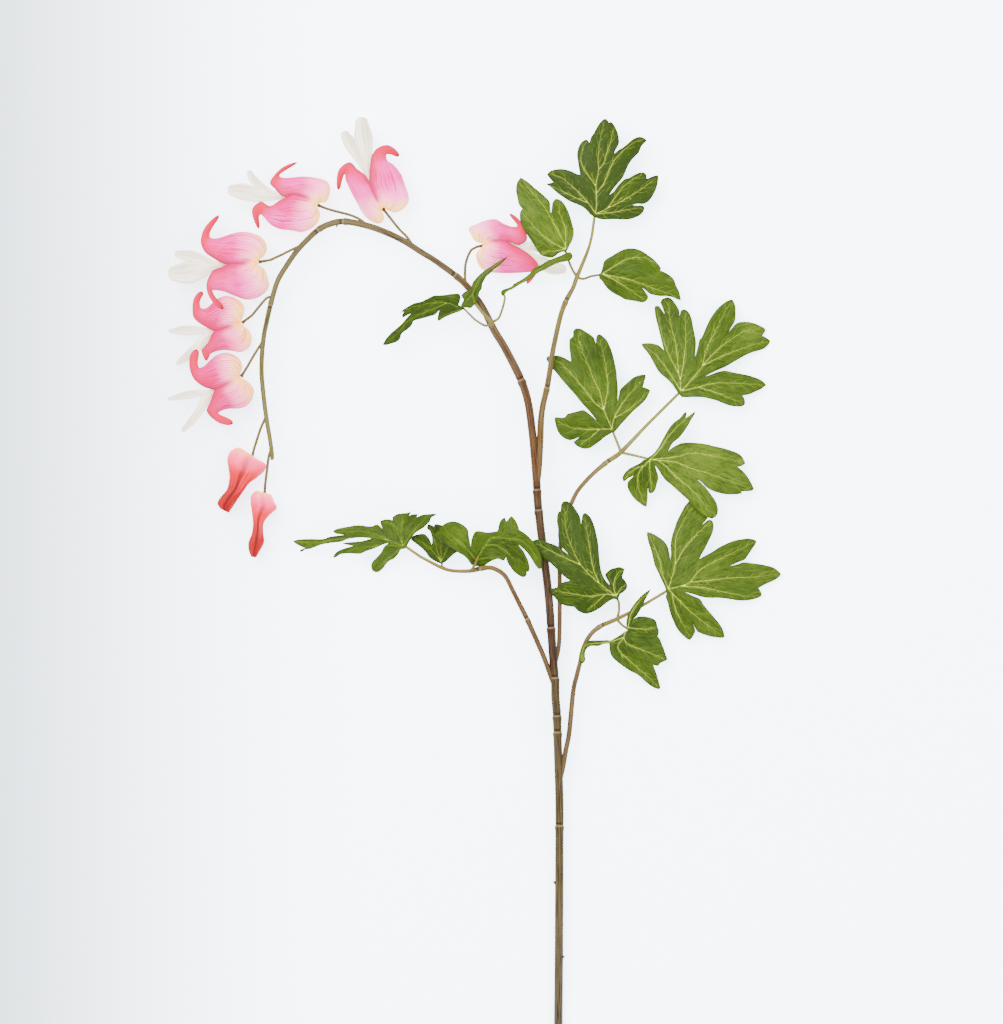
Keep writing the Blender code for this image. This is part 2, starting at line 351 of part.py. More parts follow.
        "heights": [(627, 629, 13.6), (642, 618, 11.5), (657, 630, 10), (666, 659, 8), (659, 688, 6),
                    (635, 665, 10), (611, 650, 13.5), (610, 641, 15), (597, 643, 15.7), (587, 645, 15.6),
                    (582, 660, 14.6), (651, 590, 18), (640, 600, 17), (632, 613, 15.2), (640, 645, 13)],
        "under": [(628, 629.2), (636, 631)], "seat": -1},
    "leaf_arch_end": {
        "outline": [
            (474.5, 305), (470.5, 308.5), (465.5, 307.8), (460, 309), (461.5, 304.5), (463.5, 300), (461.5, 296),
            (464, 292.8), (467.5, 291), (470.8, 289), (471.5, 286.5), (472.5, 283.5), (475, 280), (479, 275.6),
            (484.3, 271.2), (491, 267), (496.6, 263.3), (501.4, 260.3), (508.5, 256.2), (503.7, 261.9),
            (498.6, 266.6), (494.2, 269.8), (490.2, 274), (486.6, 277), (484, 281.5), (482.3, 284.5),
            (482.3, 287), (481.5, 290), (479.8, 292), (479, 295), (478, 298.5), (477, 302.5)],
        "ribs": [
            [(474.8, 303), (473, 294), (476.5, 285), (482.5, 275.5), (492, 268.3), (503.5, 260.3)],
            [(473, 294), (468, 300), (464.5, 305)]],
        "heights": [(475.5, 304, 20.9), (462, 307, 21.4), (463, 295, 21.4), (476, 288, 22.5), (481, 290, 23.2),
                    (474, 282, 22.2), (480, 277, 23.5), (492, 268, 23.6), (508, 257, 22)],
        "under": [(475, 304), (473.8, 299)], "seat": -1},
    "leaf_arch_left": {
        "outline": [
            (464.5, 308.8), (460, 311.5), (455, 313.3), (448, 316), (443, 318.5), (439.4, 321), (437.5, 319.5),
            (438, 315.5), (439.5, 310.5), (435, 314.8), (429.7, 316.5), (421.5, 318.8), (414, 321), (412, 325),
            (408, 329), (402, 333.5), (400, 338.5), (397, 341.5), (392, 343.3), (386, 345), (382.5, 344.5),
            (386, 338.5), (391, 333), (397, 328), (402, 323.5), (406, 318.8), (411, 313.6), (406, 316),
            (403, 318), (402, 315.5), (404, 311.6), (399.6, 313.5), (403, 310), (408, 306.8), (414.6, 303.5),
            (421.5, 302), (427, 299.3), (433.8, 296.2), (439.2, 295.8), (446, 295.2), (453, 294.2),
            (459, 294.2), (460.5, 297), (460, 301), (458.5, 305)],
        "ribs": [
            [(462, 309.5), (450, 313.5), (440, 319)],
            [(457.5, 307), (447, 303), (432, 303), (418, 306), (404.5, 310)],
            [(447, 303), (435, 308.5), (420, 314), (409, 320), (398, 332), (386, 343.5)]],
        "heights": [(464, 308.5, 18.8), (459, 303, 19.4), (453, 297, 22.0), (440, 296, 23), (415, 303, 21), (401, 312, 17),
                    (404, 317, 16), (439, 320, 15.5), (430, 315, 17), (412, 320, 15.5), (400, 330, 14.5),
                    (384, 344, 11), (392, 342, 12), (445, 305, 21)],
        "under": [(464, 309.3), (459, 307.6)], "seat": -1},
    "leaf_arch_right": {
        "outline": [
            (503.5, 296), (501.4, 295.4), (501, 291.9), (503.5, 289.9), (508.3, 288.3), (511.7, 286.8),
            (514.4, 284), (519.9, 281), (525.3, 277.6), (530.8, 273), (533.5, 269.2), (541.7, 265),
            (547.2, 261.6), (554, 258.8), (560.9, 256), (566.3, 253.5), (570.4, 253), (572.5, 256.4),
            (570.4, 260.2), (563.6, 262.2), (558.1, 263.3), (551.3, 266.3), (544.5, 270.1), (539, 272.6),
            (534.2, 276.3), (528.1, 280.8), (522.6, 283.3), (517.1, 286.5), (511.7, 289.8), (508.3, 291.2),
            (506.2, 293)],
        "ribs": [
            [(504.5, 293), (508.5, 289.8), (516, 285.2), (527, 279), (534.5, 272.8), (546, 265.8), (558, 259.8),
             (569, 256.5)]],
        "heights": [(504, 294.5, 19.6), (503, 290.5, 21), (520, 283, 21), (541, 265.5, 23.5), (541, 271.5, 20.5),
                    (560, 256.5, 23), (560, 262.5, 20.5), (571, 256, 21.5), (527, 281, 20.5)],
        "under": [(504, 294.5), (507.5, 290.3)], "seat": -1},
    "leaf_far_left": {
        "outline": [
            (404.5, 549), (401, 549.5), (398, 554), (394, 558.5), (389, 561), (386, 564), (383, 568),
            (379, 571.5), (376, 572.5), (372.5, 571), (371, 567.5), (371, 564.5), (373, 561), (377, 557),
            (381, 552.5), (384, 547), (389, 542.8), (383, 544.5), (378, 546.8), (372, 549.2), (366, 551.2),
            (360, 553.8), (353, 553.5), (345, 553.5), (340, 554.5), (337, 556.5), (334, 557.8), (332.8, 556.5),
            (336, 552.5), (340, 550), (346, 548), (353.5, 545.6), (348, 544.9), (342, 543.4), (348, 542.4),
            (356, 541.8), (364, 540.7), (372, 538.4), (363, 537.4), (355, 537.8), (348, 538.9), (343, 541),
            (340, 541.8), (334, 542.5), (327, 543.5), (320, 545), (315, 547), (310, 548.8), (305, 549.6),
            (302, 551.5), (299.3, 551.7), (300.5, 549.7), (305, 548.2), (301, 546.5), (297, 544.5),
            (293, 541.3), (296, 540), (302, 539.3), (310, 539), (318, 539.2), (324, 538.8), (329, 537),
            (335, 536), (345, 534.8), (341, 534.2), (336, 533.5), (333, 531), (337, 529), (343, 527.5),
            (350, 526.3), (356, 525.3), (362, 525.3), (368, 526.3), (373, 526), (376, 524.7), (379, 525.2),
            (383, 529), (381, 524.5), (380.5, 521), (384, 519.7), (389, 519.3), (393, 520.3), (392.7, 517.5),
            (395, 515.5), (398, 514), (403, 513.3), (408, 512.8), (411.7, 511.5), (409.2, 515.6),
            (413, 514.3), (418, 514.1), (417, 517.3), (422, 515), (428, 514.2), (434, 513.8), (437, 514.3),
            (433, 516.5), (431, 518.5), (430, 521.5), (427, 524.5), (423, 528), (418, 531), (414, 534.5),
            (411, 539), (408, 544)],
        "ribs": [
            [(403, 545.5), (390, 540.5), (378, 535), (360, 531), (338, 531)],
            [(390, 540.5), (372, 537), (358, 539.7)],
            [(352, 537.9), (335, 539.5), (318, 542.5), (297, 541.5)],
            [(400, 546), (388, 545.3), (370, 546.3), (353, 549.5), (336, 556)],
            [(402.5, 547.5), (391, 556), (376, 569)],
            [(403, 545.5), (398, 533), (393, 524), (384, 521.5)],
            [(403, 545.5), (401, 530), (404, 516)],
            [(403, 545.5), (413, 531), (425, 520), (433, 515.3)]],
        "heights": [(404, 548, 13.2), (434, 514.5, 27), (412, 512, 28.5), (383, 520, 26), (335, 531, 20),
                    (293, 541, 12), (300, 550, 9), (335, 557, 8.5), (375, 571, 4.5), (395, 556, 9.5),
                    (370, 538, 18)],
        "under": [(405.5, 547.5), (400.5, 545)], "seat": -1},
    "leaf_left_dark": {
        "outline": [
            (441.5, 563.8), (437.3, 562.3), (433, 560), (429, 557), (426, 552.5), (421, 547.5), (416, 543.5),
            (411.5, 540), (411.5, 537.5), (414, 535.5), (418, 534.3), (424, 533.8), (427.5, 536.5),
            (430, 540), (431.8, 545), (432.3, 540), (431.5, 535), (430, 531), (427.3, 528.7), (427.3, 526),
            (428.5, 524), (431.5, 525), (434, 526.5), (435, 524), (438.5, 524.3), (442, 525.5), (447, 529),
            (452, 536), (456, 544), (458, 550.5), (454, 554), (450, 557.5), (446, 561.5)],
        "ribs": [
            [(441, 562), (435, 553.5), (425, 544), (414, 537.5)],
            [(441, 562), (436.5, 548), (433.3, 535), (430, 526)],
            [(441, 562), (441, 545), (439.5, 527)],
            [(441, 562), (446, 551), (450.5, 539)]],
        "heights": [(442, 563, 13.6), (412, 539, 13.4), (428, 525, 19.5), (440, 525, 20), (452, 537, 18.5),
                    (457, 550, 16.5), (433, 550, 16)],
        "under": [(441.6, 562.5), (440.8, 557.5)], "seat": -1},
    "leaf_left_fold": {
        "outline": [
            (471, 564.5), (474.5, 566), (480, 566), (485, 565), (489, 562.3), (493, 560.3), (498, 558.8),
            (502, 560.2), (504.5, 560.2), (505.8, 557), (507.5, 562), (510.5, 567), (514, 571.5), (518, 574.7),
            (522, 577), (525, 576.8), (526.5, 574.8), (526.8, 571.5), (529, 571), (529.5, 567), (528.3, 561),
            (525.8, 555.5), (523, 550.3), (518, 544.3), (522.5, 548), (527, 552.6), (531, 558), (534.5, 564),
            (537.5, 567.8), (540, 569.3), (541.8, 567), (542, 562), (541.3, 556.5), (539, 550), (535, 543.5),
            (531, 539), (527, 535), (523, 532), (519.4, 529.8), (518.3, 526.5), (516.5, 522), (514, 518.3),
            (511.5, 516), (508.8, 518.5), (506.5, 521.5), (504.8, 517.5), (502.5, 518.5), (500, 521.5),
            (498.5, 526), (497.5, 530.6), (492, 531.8), (487, 532.3), (482, 531.3), (477.5, 531),
            (474.5, 532.5), (472.5, 536.5), (471.3, 541), (470.5, 546.5), (469.8, 541), (468.8, 535.5),
            (468.2, 530.5), (466, 527), (462, 524), (457, 521.8), (452, 521.3), (447, 522.6), (442.5, 525.5),
            (438.5, 530), (434.5, 534.5), (438, 538.5), (443, 542), (448, 545.5), (453, 548.5), (458, 552.3),
            (463, 555), (467, 558.5), (469.3, 562)],
        "ribs": [
            [(476, 559.5), (465, 547), (453, 536), (445, 529)],
            [(476, 559.5), (484, 547), (492, 537.5), (503, 534.5), (505, 522)],
            [(486, 545), (497, 545), (510, 555), (524, 573)],
            [(492, 537.5), (508, 538), (522, 541), (533, 552), (540, 566)],
            [(476, 559.5), (488, 557), (500, 558)]],
        "heights": [(472, 564.5, 12.8), (480, 566, 12.6), (488, 563, 13.6), (476, 557, 16.9), (460, 545, 22),
                    (436, 534, 24.5), (452, 522, 27.5), (467, 530, 25), (470, 544, 21), (458, 552, 20),
                    (478, 532, 24), (500, 531, 26), (520, 530, 25.2), (485, 550, 19.5), (503, 560, 18),
                    (541, 557, 21.5), (540, 568, 20), (535, 545, 23), (525, 575, 17.5), (518, 545, 23.5),
                    (504, 518, 21), (511, 517, 21)],
        "under": [(476.3, 560.5), (478, 555.5)], "seat": 1},
}

# Open flowers. groove: the line where the two outer petals meet, from the seat toward the mouth.
# petals: for each outer petal its outer edge, and its free lip from the mouth to the tip of the horn.
# inner: white inner petals as lines out of the mouth: column, row, width in mm. rise lifts the horn, in mm.
FLOWERS = {
    "flower_1": {
        "seat": (381.5, 206.6), "height": 12.4, "depth": 8.0,
        "groove": [(381, 206.3), (379.5, 204.3), (378, 201.5), (376, 197.5), (373, 191.2), (370.2, 184)],
        "petals": [
            ([(386, 207.3), (391.5, 212), (399, 211.5), (407, 205), (409, 197), (405.5, 186), (401, 174),
              (394, 165), (387.5, 160.3), (386.5, 154.5), (392, 155), (399, 158)],
             [(369.3, 176), (370, 166), (371.5, 156.5), (377, 148.3), (388, 145), (399.8, 152)], 0.0),
            ([(381.3, 210.8), (384.3, 218), (380, 223.5), (371, 221.2), (363, 213.8), (357, 203), (352, 194),
              (348, 185.5), (345.3, 179.5), (344.8, 174), (342.3, 180), (340, 191)],
             [(367.5, 179), (363.5, 173.5), (357.3, 169), (349.5, 162), (338.6, 170), (335.6, 188)], 0.0)],
        "inner": [[(367, 174, 3.2), (359, 159, 4.4), (350.5, 144, 6.6), (344.5, 134, 3.6)],
                  [(367.5, 168, 4.4), (366, 155, 6.6), (363.5, 138, 9.6), (361.5, 121.5, 5.4)]]},
    "flower_2": {
        "seat": (315.5, 204), "height": 12.2, "depth": 7.4,
        "groove": [(315.2, 203.6), (312.7, 201.5), (309.2, 199.4), (304.7, 197), (299.2, 195.5), (293, 194.3)],
        "petals": [
            ([(319, 202.3), (325.5, 202), (329.3, 196), (329.8, 186), (325, 180), (313, 177), (301, 176.3),
              (290, 177.5), (282, 177.3), (279.8, 174.6), (286.5, 169.8), (297.5, 163.4)],
             [(287, 195.6), (282.5, 196.3), (275, 189), (270, 181.5), (281, 168.2), (296.5, 160.8)], 0.0),
            ([(317.3, 208), (320, 213), (318.5, 221), (312, 228), (302, 232), (291, 230.3), (280, 229),
              (270.5, 224.5), (262.8, 216), (260.2, 214.6), (258.9, 218), (260.6, 228)],
             [(286.5, 197), (279, 200.6), (270, 206), (260.5, 201.6), (251.8, 210.5), (256.5, 229)], 0.0)],
        "inner": [[(274, 193.5, 3.0), (264, 188, 3.4), (254.5, 181, 4.4), (249, 172.5, 3.4)],
                  [(272, 196, 5.0), (258, 195, 7.2), (243, 191.5, 8.6), (231.5, 190, 5.0)]]},
    "flower_3": {
        "seat": (256.6, 262.3), "height": 12.8, "depth": 8.4,
        "groove": [(256, 262.3), (253, 262.6), (248, 263), (242, 263.4), (236, 263.8), (229.5, 264.3)],
        "petals": [
            ([(258.3, 258.8), (263.5, 256.5), (267, 248.5), (263, 238.5), (253, 233.2), (241, 231.6),
              (229, 234.3), (217.5, 238), (210.8, 237.5), (210, 232.5), (214.5, 224.5), (220.5, 216.5)],
             [(222.5, 263.2), (213, 258), (204, 251), (200.7, 240), (205, 227), (217, 214)], 0.0),
            ([(258.7, 265.6), (264.5, 269.5), (268, 278.5), (268.5, 288), (260, 296.5), (248, 299.7),
              (236, 296.5), (224.5, 291.8), (213.8, 290.2), (213.4, 293), (217.8, 299.5), (225.5, 307.3)],
             [(222.5, 267), (213, 270.7), (207.3, 281), (207, 290.5), (211.5, 300.5), (221.5, 311)], 6.4)],
        "inner": [[(215, 263.6, 3.0), (202, 259, 4.6), (190, 256, 6.0), (177, 254, 4.4)],
                  [(213, 266, 5.6), (200, 270, 9.6), (187, 272.5, 11.6), (173.5, 273.5, 6.4)]]},
    "flower_4": {
        "seat": (240.4, 323.5), "height": 7.7, "depth": 7.7,
        "groove": [(239.6, 323.8), (236.5, 324.6), (232, 325.9), (227, 327.1), (221.5, 328.8), (216, 330.5)],
        "petals": [
            ([(240.6, 319.8), (243.6, 314), (243.3, 305), (237, 299), (228, 295.6), (219.5, 297),
              (212, 302.5), (206, 307.5), (201, 307.8), (199.4, 303.5), (200.5, 298.5), (204.3, 292.8)],
             [(211.5, 330), (203, 325.5), (194, 318.5), (192, 310), (193.3, 298.5), (199.5, 289.5)], 0.0),
            ([(244, 326.2), (248.5, 330), (251.5, 338), (249, 346.5), (241.5, 351.6), (233.5, 351),
              (225, 349.9), (216.5, 351), (210.3, 353.6), (209.6, 355.2), (208.2, 357.8), (206.6, 361)],
             [(211.8, 333.5), (208.5, 340.5), (203.3, 347), (201, 350), (202.4, 355.4), (204.2, 360)], 0.0)],
        "inner": [[(206, 331, 3.6), (196, 330, 4.4), (184, 330, 5.2), (169.5, 331, 2.4)],
                  [(206, 337, 4.6), (198, 345.5, 5.0), (189, 354, 4.8), (177.5, 363, 3.0)]]},
    "flower_5": {
        "seat": (239.9, 378.4), "height": 12.2, "depth": 7.7,
        "groove": [(239.3, 378.6), (236, 379.9), (231.5, 381.9), (226.5, 384.1), (221.2, 386.7), (216.8, 389)],
        "petals": [
            ([(239.3, 374.6), (242, 368), (240.5, 360.5), (234, 354.8), (225, 352.6), (216.5, 355),
              (210.3, 359.7), (204.3, 365.5), (199.2, 367.5), (197.8, 362.5), (198.7, 356.5), (199.4, 351)],
             [(211, 389.1), (202, 386), (193.5, 378.5), (189.5, 368), (189.6, 357), (194.3, 348)], 0.0),
            ([(243.3, 379), (249, 382.5), (253.7, 390), (252, 399), (246.5, 406), (238.5, 408.5),
              (230, 408.7), (223.5, 410), (218.6, 412.6), (220.7, 414.8), (227, 417.5), (234.6, 421.6)],
             [(213.7, 392), (210.5, 401), (206.5, 410), (210.3, 416.6), (219, 423), (230.5, 426.3)], 0.0)],
        "inner": [[(207, 393, 3.4), (197, 393.3, 4.0), (185, 395.5, 4.2), (169, 399, 2.2)],
                  [(206, 399, 5.6), (199.5, 410, 4.6), (192.5, 420, 4.2), (183, 430, 3.0)]]},
    "flower_6": {
        "seat": (484.9, 245.3), "height": 10.9, "depth": 8.0,
        "groove": [(485.4, 245), (487.7, 243), (491.5, 241.5), (496, 240.5), (501, 240.2), (506, 240.8)],
        "petals": [
            ([(482, 242), (475.5, 241.3), (471, 234.5), (468.7, 228), (477, 223.5), (487, 219.7), (496, 219),
              (504, 223.3), (512, 226.3), (517, 225.6), (514, 220.7), (508, 213.8)],
             [(511, 242), (518, 245), (526.5, 240.5), (526, 230.5), (520.5, 220.7), (512, 212.8)], 0.0),
            ([(482, 248.6), (477.2, 251), (476, 257.5), (480, 267), (487, 271.5), (497, 272.8), (508, 273.1),
              (519, 272.8), (530, 272), (531.8, 273.6), (529, 278), (525.2, 283)],
             [(513, 244.6), (521.5, 248.8), (532, 256.5), (538.5, 265.5), (535.5, 275), (529, 284.2)], 0.0)],
        "inner": [[(520, 247.5, 3.4), (528, 246, 4.6), (538, 246, 6.0), (548, 247, 4.0)],
                  [(524, 251.5, 3.8), (538, 259.5, 5.0), (551, 267, 7.2), (563, 269, 4.0)]]},
}

# Closed buds: left and right edge at each station down the bud, half depth in mm, and where it hangs
BUDS = {
    "bud_1": {
        "seat": (251.2, 459.4), "height": 9.0,
        "stations": [((247.6, 457), (254.4, 460.6), 1.4), ((240, 447.6), (260.5, 461), 4.0),
                     ((230.5, 450.6), (265.8, 464.4), 5.6), ((226.8, 459), (264.3, 470.8), 6.0),
                     ((228, 468), (257, 477.5), 5.4), ((228.8, 478), (249, 483.5), 4.4),
                     ((226.5, 489), (243.5, 491), 3.7), ((220.5, 496.5), (237.5, 499.5), 3.2),
                     ((217, 503), (232.5, 507), 2.7), ((219.5, 508.5), (228.5, 513), 1.7)]},
    "bud_2": {
        "seat": (264.3, 495.6), "height": 9.4,
        "stations": [((261.2, 492.6), (266.8, 495.4), 1.2), ((256, 490.6), (271, 494.5), 3.2),
                     ((250.6, 495.5), (274, 501.5), 4.5), ((250.2, 503), (276.6, 508.3), 4.8),
                     ((251.5, 513), (269, 515.5), 4.2), ((252.5, 523), (263.5, 523.5), 3.2),
                     ((251.5, 533), (263.3, 534), 2.8), ((248, 543), (264, 542), 2.8),
                     ((248.5, 551), (260, 550.5), 2.4), ((251, 557), (256, 557.5), 1.5)]},
}

# Share of the flower's half depth reached at each station of an outer petal: at the lip, and midway
LIP_DEPTH = [0.17, 0.36, 0.50, 0.60, 0.60, 0.53, 0.42, 0.33, 0.26, 0.21, 0.19, 0.16]
BELLY_DEPTH = [0.20, 0.50, 0.80, 0.97, 1.00, 0.90, 0.72, 0.54, 0.38, 0.27, 0.22, 0.17]
HORN_RISE = [0, 0, 0, 0, 0, 0, 0.03, 0.10, 0.28, 0.50, 0.85, 1.0]

COLOURS = {
    "stem": ((0.20, 0.13, 0.045), 0.55), "stalk": ((0.24, 0.17, 0.05), 0.5),
    "leaf": ((0.12, 0.21, 0.025), 0.5), "petal": ((0.93, 0.33, 0.46), 0.45),
    "inner": ((0.88, 0.86, 0.82), 0.4), "bud": ((0.86, 0.12, 0.10), 0.45),
}


def clear_scene():
    """Start from an empty file."""
    for item in list(bpy.data.objects):
        bpy.data.objects.remove(item, do_unlink=True)


def seen_at(u, v, height=0.0):
    """Metres of a photograph pixel, standing a height in mm above the surface."""
    return Vector(((u - CENTRE_U) * SCALE, (CENTRE_V - v) * SCALE, height * MM))


def material(name, colour, roughness):
    """One plain Principled material for a sub-part."""
    mat = bpy.data.materials.new(name)
    mat.use_nodes = True
    shader = mat.node_tree.nodes["Principled BSDF"]
    shader.inputs["Base Color"].default_value = (*colour, 1.0)
    shader.inputs["Roughness"].default_value = roughness
    mat.diffuse_color = (*colour, 1.0)
    return mat


def add_piece(name, vertices, faces, kind=None, smooth=True):
    """Make a mesh object out of vertices and faces."""
    mesh = bpy.data.meshes.new(name)
    mesh.from_pydata([tuple(p) for p in vertices], [], faces)
    shape = bmesh.new()
    shape.from_mesh(mesh)
    bmesh.ops.recalc_face_normals(shape, faces=shape.faces)
    shape.to_mesh(mesh)
    shape.free()
    for polygon in mesh.polygons:
        polygon.use_smooth = smooth
    piece = bpy.data.objects.new(name, mesh)
    bpy.context.scene.collection.objects.link(piece)
    if kind:
        mesh.materials.append(material(name + "_material", *COLOURS[kind]))
    return piece


def combine(piece, others, operation, solver="EXACT"):
    """Join pieces to one body, or cut them out of it, with one Boolean."""
    group = bpy.data.collections.new(piece.name + "_parts")
    bpy.context.scene.collection.children.link(group)
    for other in others:
        group.objects.link(other)
    step = piece.modifiers.new("combine", "BOOLEAN")
    step.operation = operation
    step.solver = solver
    step.operand_type = "COLLECTION"
    step.collection = group
    result = bpy.data.meshes.new_from_object(piece.evaluated_get(bpy.context.evaluated_depsgraph_get()))
    piece.modifiers.clear()
    piece.data = result
    for other in others:
        bpy.data.objects.remove(other, do_unlink=True)
    bpy.data.collections.remove(group)
    return piece


def through(points, steps):
    """Catmull-Rom curve through points of any width, with the given number of steps a span."""
    rows = [np.array(p, dtype=float) for p in points]
    rows = [2 * rows[0] - rows[1]] + rows + [2 * rows[-1] - rows[-2]]
    curve = []
    for i in range(1, len(rows) - 2):
        a, b, c, d = rows[i - 1:i + 3]
        for k in range(steps):
            t = k / steps
            curve.append(0.5 * (2 * b + (c - a) * t + (2 * a - 5 * b + 4 * c - d) * t * t
                                + (3 * b - a - 3 * c + d) * t ** 3))
    curve.append(rows[-2])
    return curve


def tube_mesh(rows, sides):
    """Closed tube round rows of (centre, radius); the facet at the bottom lies level."""
    centres = [row[0] for row in rows]
    tangents = []
    for i in range(len(rows)):
        ahead = centres[min(i + 1, len(rows) - 1)]
        behind = centres[max(i - 1, 0)]
        tangents.append((ahead - behind).normalized())
    side = tangents[0].cross(Vector((0, 0, 1))).normalized()
    vertices, faces = [], []
    for i, (centre, radius) in enumerate(rows):
        if i:
            side = (side - tangents[i] * side.dot(tangents[i])).normalized()
        up = side.cross(tangents[i])
        for k in range(sides):
            angle = 2 * math.pi * (k + 0.5) / sides - math.pi / 2
            vertices.append(centre + side * (radius * math.cos(angle)) + up * (radius * math.sin(angle)))
    for i in range(len(rows) - 1):
        for k in range(sides):
            n = (k + 1) % sides
            faces.append((i * sides + k, i * sides + n, (i + 1) * sides + n, (i + 1) * sides + k))
    faces.append(tuple(reversed(range(sides))))
    faces.append(tuple(range((len(rows) - 1) * sides, len(rows) * sides)))
    return vertices, faces


def stem_rows(points, joints, steps, extra=0.0):
    """Rows of a tube along (column, row, height, diameter) points, swollen at its joints."""
    rows = []
    for u, v, height, diameter in through(points, steps):
        rows.append((seen_at(u, v, height), diameter * MM / 2))
    for joint in joints:
        place = seen_at(*joint)
        spans = [((place.xy - row[0].xy).length, i) for i, row in enumerate(rows)]
        near = min(spans)[1]
        near = min(max(near, 1), len(rows) - 2)
        centre, radius = rows[near]
        along = (rows[near + 1][0] - rows[near - 1][0]).normalized()
        knot = [(centre - along * radius * 1.1, radius), (centre, radius * 1.13),
                (centre + along * radius * 1.1, radius)]
        lo = (rows[near - 1][0] - centre).length
        hi = (rows[near + 1][0] - centre).length
        if lo < radius * 1.5:
            knot = knot[1:]
        if hi < radius * 1.5:
            knot = knot[:-1]
        rows[near:near + 1] = knot
    return [(centre, radius + extra) for centre, radius in rows]


def add_tube(name, rows, sides, kind=None):
    return add_piece(name, *tube_mesh(rows, sides), kind)


class Sheet:
    """The middle surface of a leaf: a smooth height over the photograph's plane."""

    def __init__(self, data):
        self.points = np.array([p[:2] for p in data["heights"]], dtype=float)
        values = np.array([p[2] for p in data["heights"]], dtype=float)
        n = len(values)
        system = np.zeros((n + 3, n + 3))
        system[:n, :n] = self.kernel(np.linalg.norm(self.points[:, None] - self.points[None], axis=2))
        system[:n, n:] = np.column_stack([np.ones(n), self.points])
        system[n:, :n] = system[:n, n:].T
        system[:n, :n] += np.eye(n) * 0.5
        self.weights = np.linalg.solve(system, np.concatenate([values, np.zeros(3)]))

    @staticmethod
    def kernel(distance):
        return distance ** 2 * np.log(np.maximum(distance, 1e-9))

    def height(self, u, v):
        spans = np.linalg.norm(self.points - np.array([u, v]), axis=1)
        n = len(spans)
        return float(self.kernel(spans) @ self.weights[:n] + self.weights[n:] @ np.array([1.0, u, v]))

    def point(self, u, v, sink=0.0):
        place = seen_at(u, v, self.height(u, v))
        place.z -= sink
        return place

    def normal(self, u, v):
        across = self.point(u + 1, v) - self.point(u - 1, v)
        along = self.point(u, v - 1) - self.point(u, v + 1)
        return across.cross(along).normalized()


def simplified(points, tolerance):
    """Drop outline points that lie on the line between their neighbours."""
    def keep(first, last):
        a, b = np.array(points[first]), np.array(points[last])
        line = b - a
        best, where = 0.0, None
        for i in range(first + 1, last):
            p = np.array(points[i]) - a
            t = min(max(p @ line / max(line @ line, 1e-9), 0.0), 1.0)
            gap = np.linalg.norm(p - t * line)
            if gap > best:
                best, where = gap, i
        if best <= tolerance:
            return [first]
        return keep(first, where) + keep(where, last)
    middle = len(points) // 2
    closed = points + [points[0]]
    points = closed
    return [points[i] for i in keep(0, middle) + keep(middle, len(closed) - 1)]


def inside(point, ring):
    """Whether a point lies in a closed outline."""
    u, v = point
    odd = False
    for (u0, v0), (u1, v1) in zip(ring, ring[1:] + ring[:1]):
        if (v0 > v) != (v1 > v) and u < u0 + (v - v0) * (u1 - u0) / (v1 - v0):
            odd = not odd
    return odd


def room(point, ring):
    """Distance from a point to a closed outline."""
    p = np.array(point)
    best = 1e9
    for a, b in zip(ring, ring[1:] + ring[:1]):
        a, b = np.array(a), np.array(b)
        t = min(max((p - a) @ (b - a) / max((b - a) @ (b - a), 1e-9), 0.0), 1.0)
        best = min(best, float(np.linalg.norm(p - a - t * (b - a))))
    return best


def leaf_mesh(data):
    """Blade with the same triangles on both faces, veins as creases, and a closed edge."""
    sheet = Sheet(data)
    ring = simplified(data["outline"], OUTLINE_TOLERANCE)
    spots = list(ring)
    edges = [(i, (i + 1) % len(ring)) for i in range(len(ring))]
    creased = set()
    for rib in data["ribs"]:
        last = None
        for spot in rib:
            if not inside(spot, ring) or room(spot, ring) < 0.9:
                last = None
                continue
            if spot in spots:
                index = spots.index(spot)
            else:
                index = len(spots)
                spots.append(spot)
            creased.add(spot)
            if last is not None:
                edges.append((last, index))
            last = index
    flat = [Vector((u, -v)) for u, v in spots]
    result = delaunay_2d_cdt(flat, edges, [], 1, 1e-4)
    places, triangles = result[0], result[2]
    upper, lower = [], []
    normals = [Vector() for _ in places]
    middle = []
    for place in places:
        u, v = place.x, -place.y
        nearest = min((abs(u - a) + abs(v - b) for a, b in creased), default=9)
        middle.append(sheet.point(u, v, RIB_DEPTH if nearest < 0.01 else 0.0))
    tidy = []
    for triangle in triangles:
        a, b, c = (middle[i] for i in triangle[:3])
        facing = (b - a).cross(c - a)
        if facing.z < 0:
            triangle = list(reversed(triangle))
            facing = -facing
        tidy.append(tuple(triangle))
        for i in triangle:
            normals[i] += facing.normalized()
    used = sorted({i for triangle in tidy for i in triangle})
    number = {old: new for new, old in enumerate(used)}
    for i in used:
        normal = normals[i].normalized()
        upper.append(middle[i] + normal * BLADE / 2)
        lower.append(middle[i] - normal * BLADE / 2)
    count = len(used)
    faces = [tuple(number[i] for i in triangle) for triangle in tidy]
    sides = {(f[k], f[(k + 1) % 3]) for f in faces for k in range(3)}
    rim = [(a, b) for a, b in sides if (b, a) not in sides]
    below = [tuple(reversed([i + count for i in face])) for face in faces]
    edge = []
    for a, b in rim:
        edge += [(b, a, a + count), (b, a + count, b + count)]
    return upper + lower, faces + below + edge


def add_leaf(name, data):
    return add_piece(name, *leaf_mesh(data), "leaf")


def under_leaf(data, radius):
    """Points that carry a stalk on along the first vein, just clear of the blade."""
    sheet = Sheet(data)
    rows = []
    for spot, thin in zip(data["under"], (1.0, 0.6)):
        clear = BLADE / 2 + RIB_DEPTH + GAP + radius * thin
        if data["seat"] > 0:
            clear -= RIB_DEPTH * 0.5
        place = sheet.point(*spot) + sheet.normal(*spot) * clear * data["seat"]
        rows.append((place, radius * thin))
    return rows


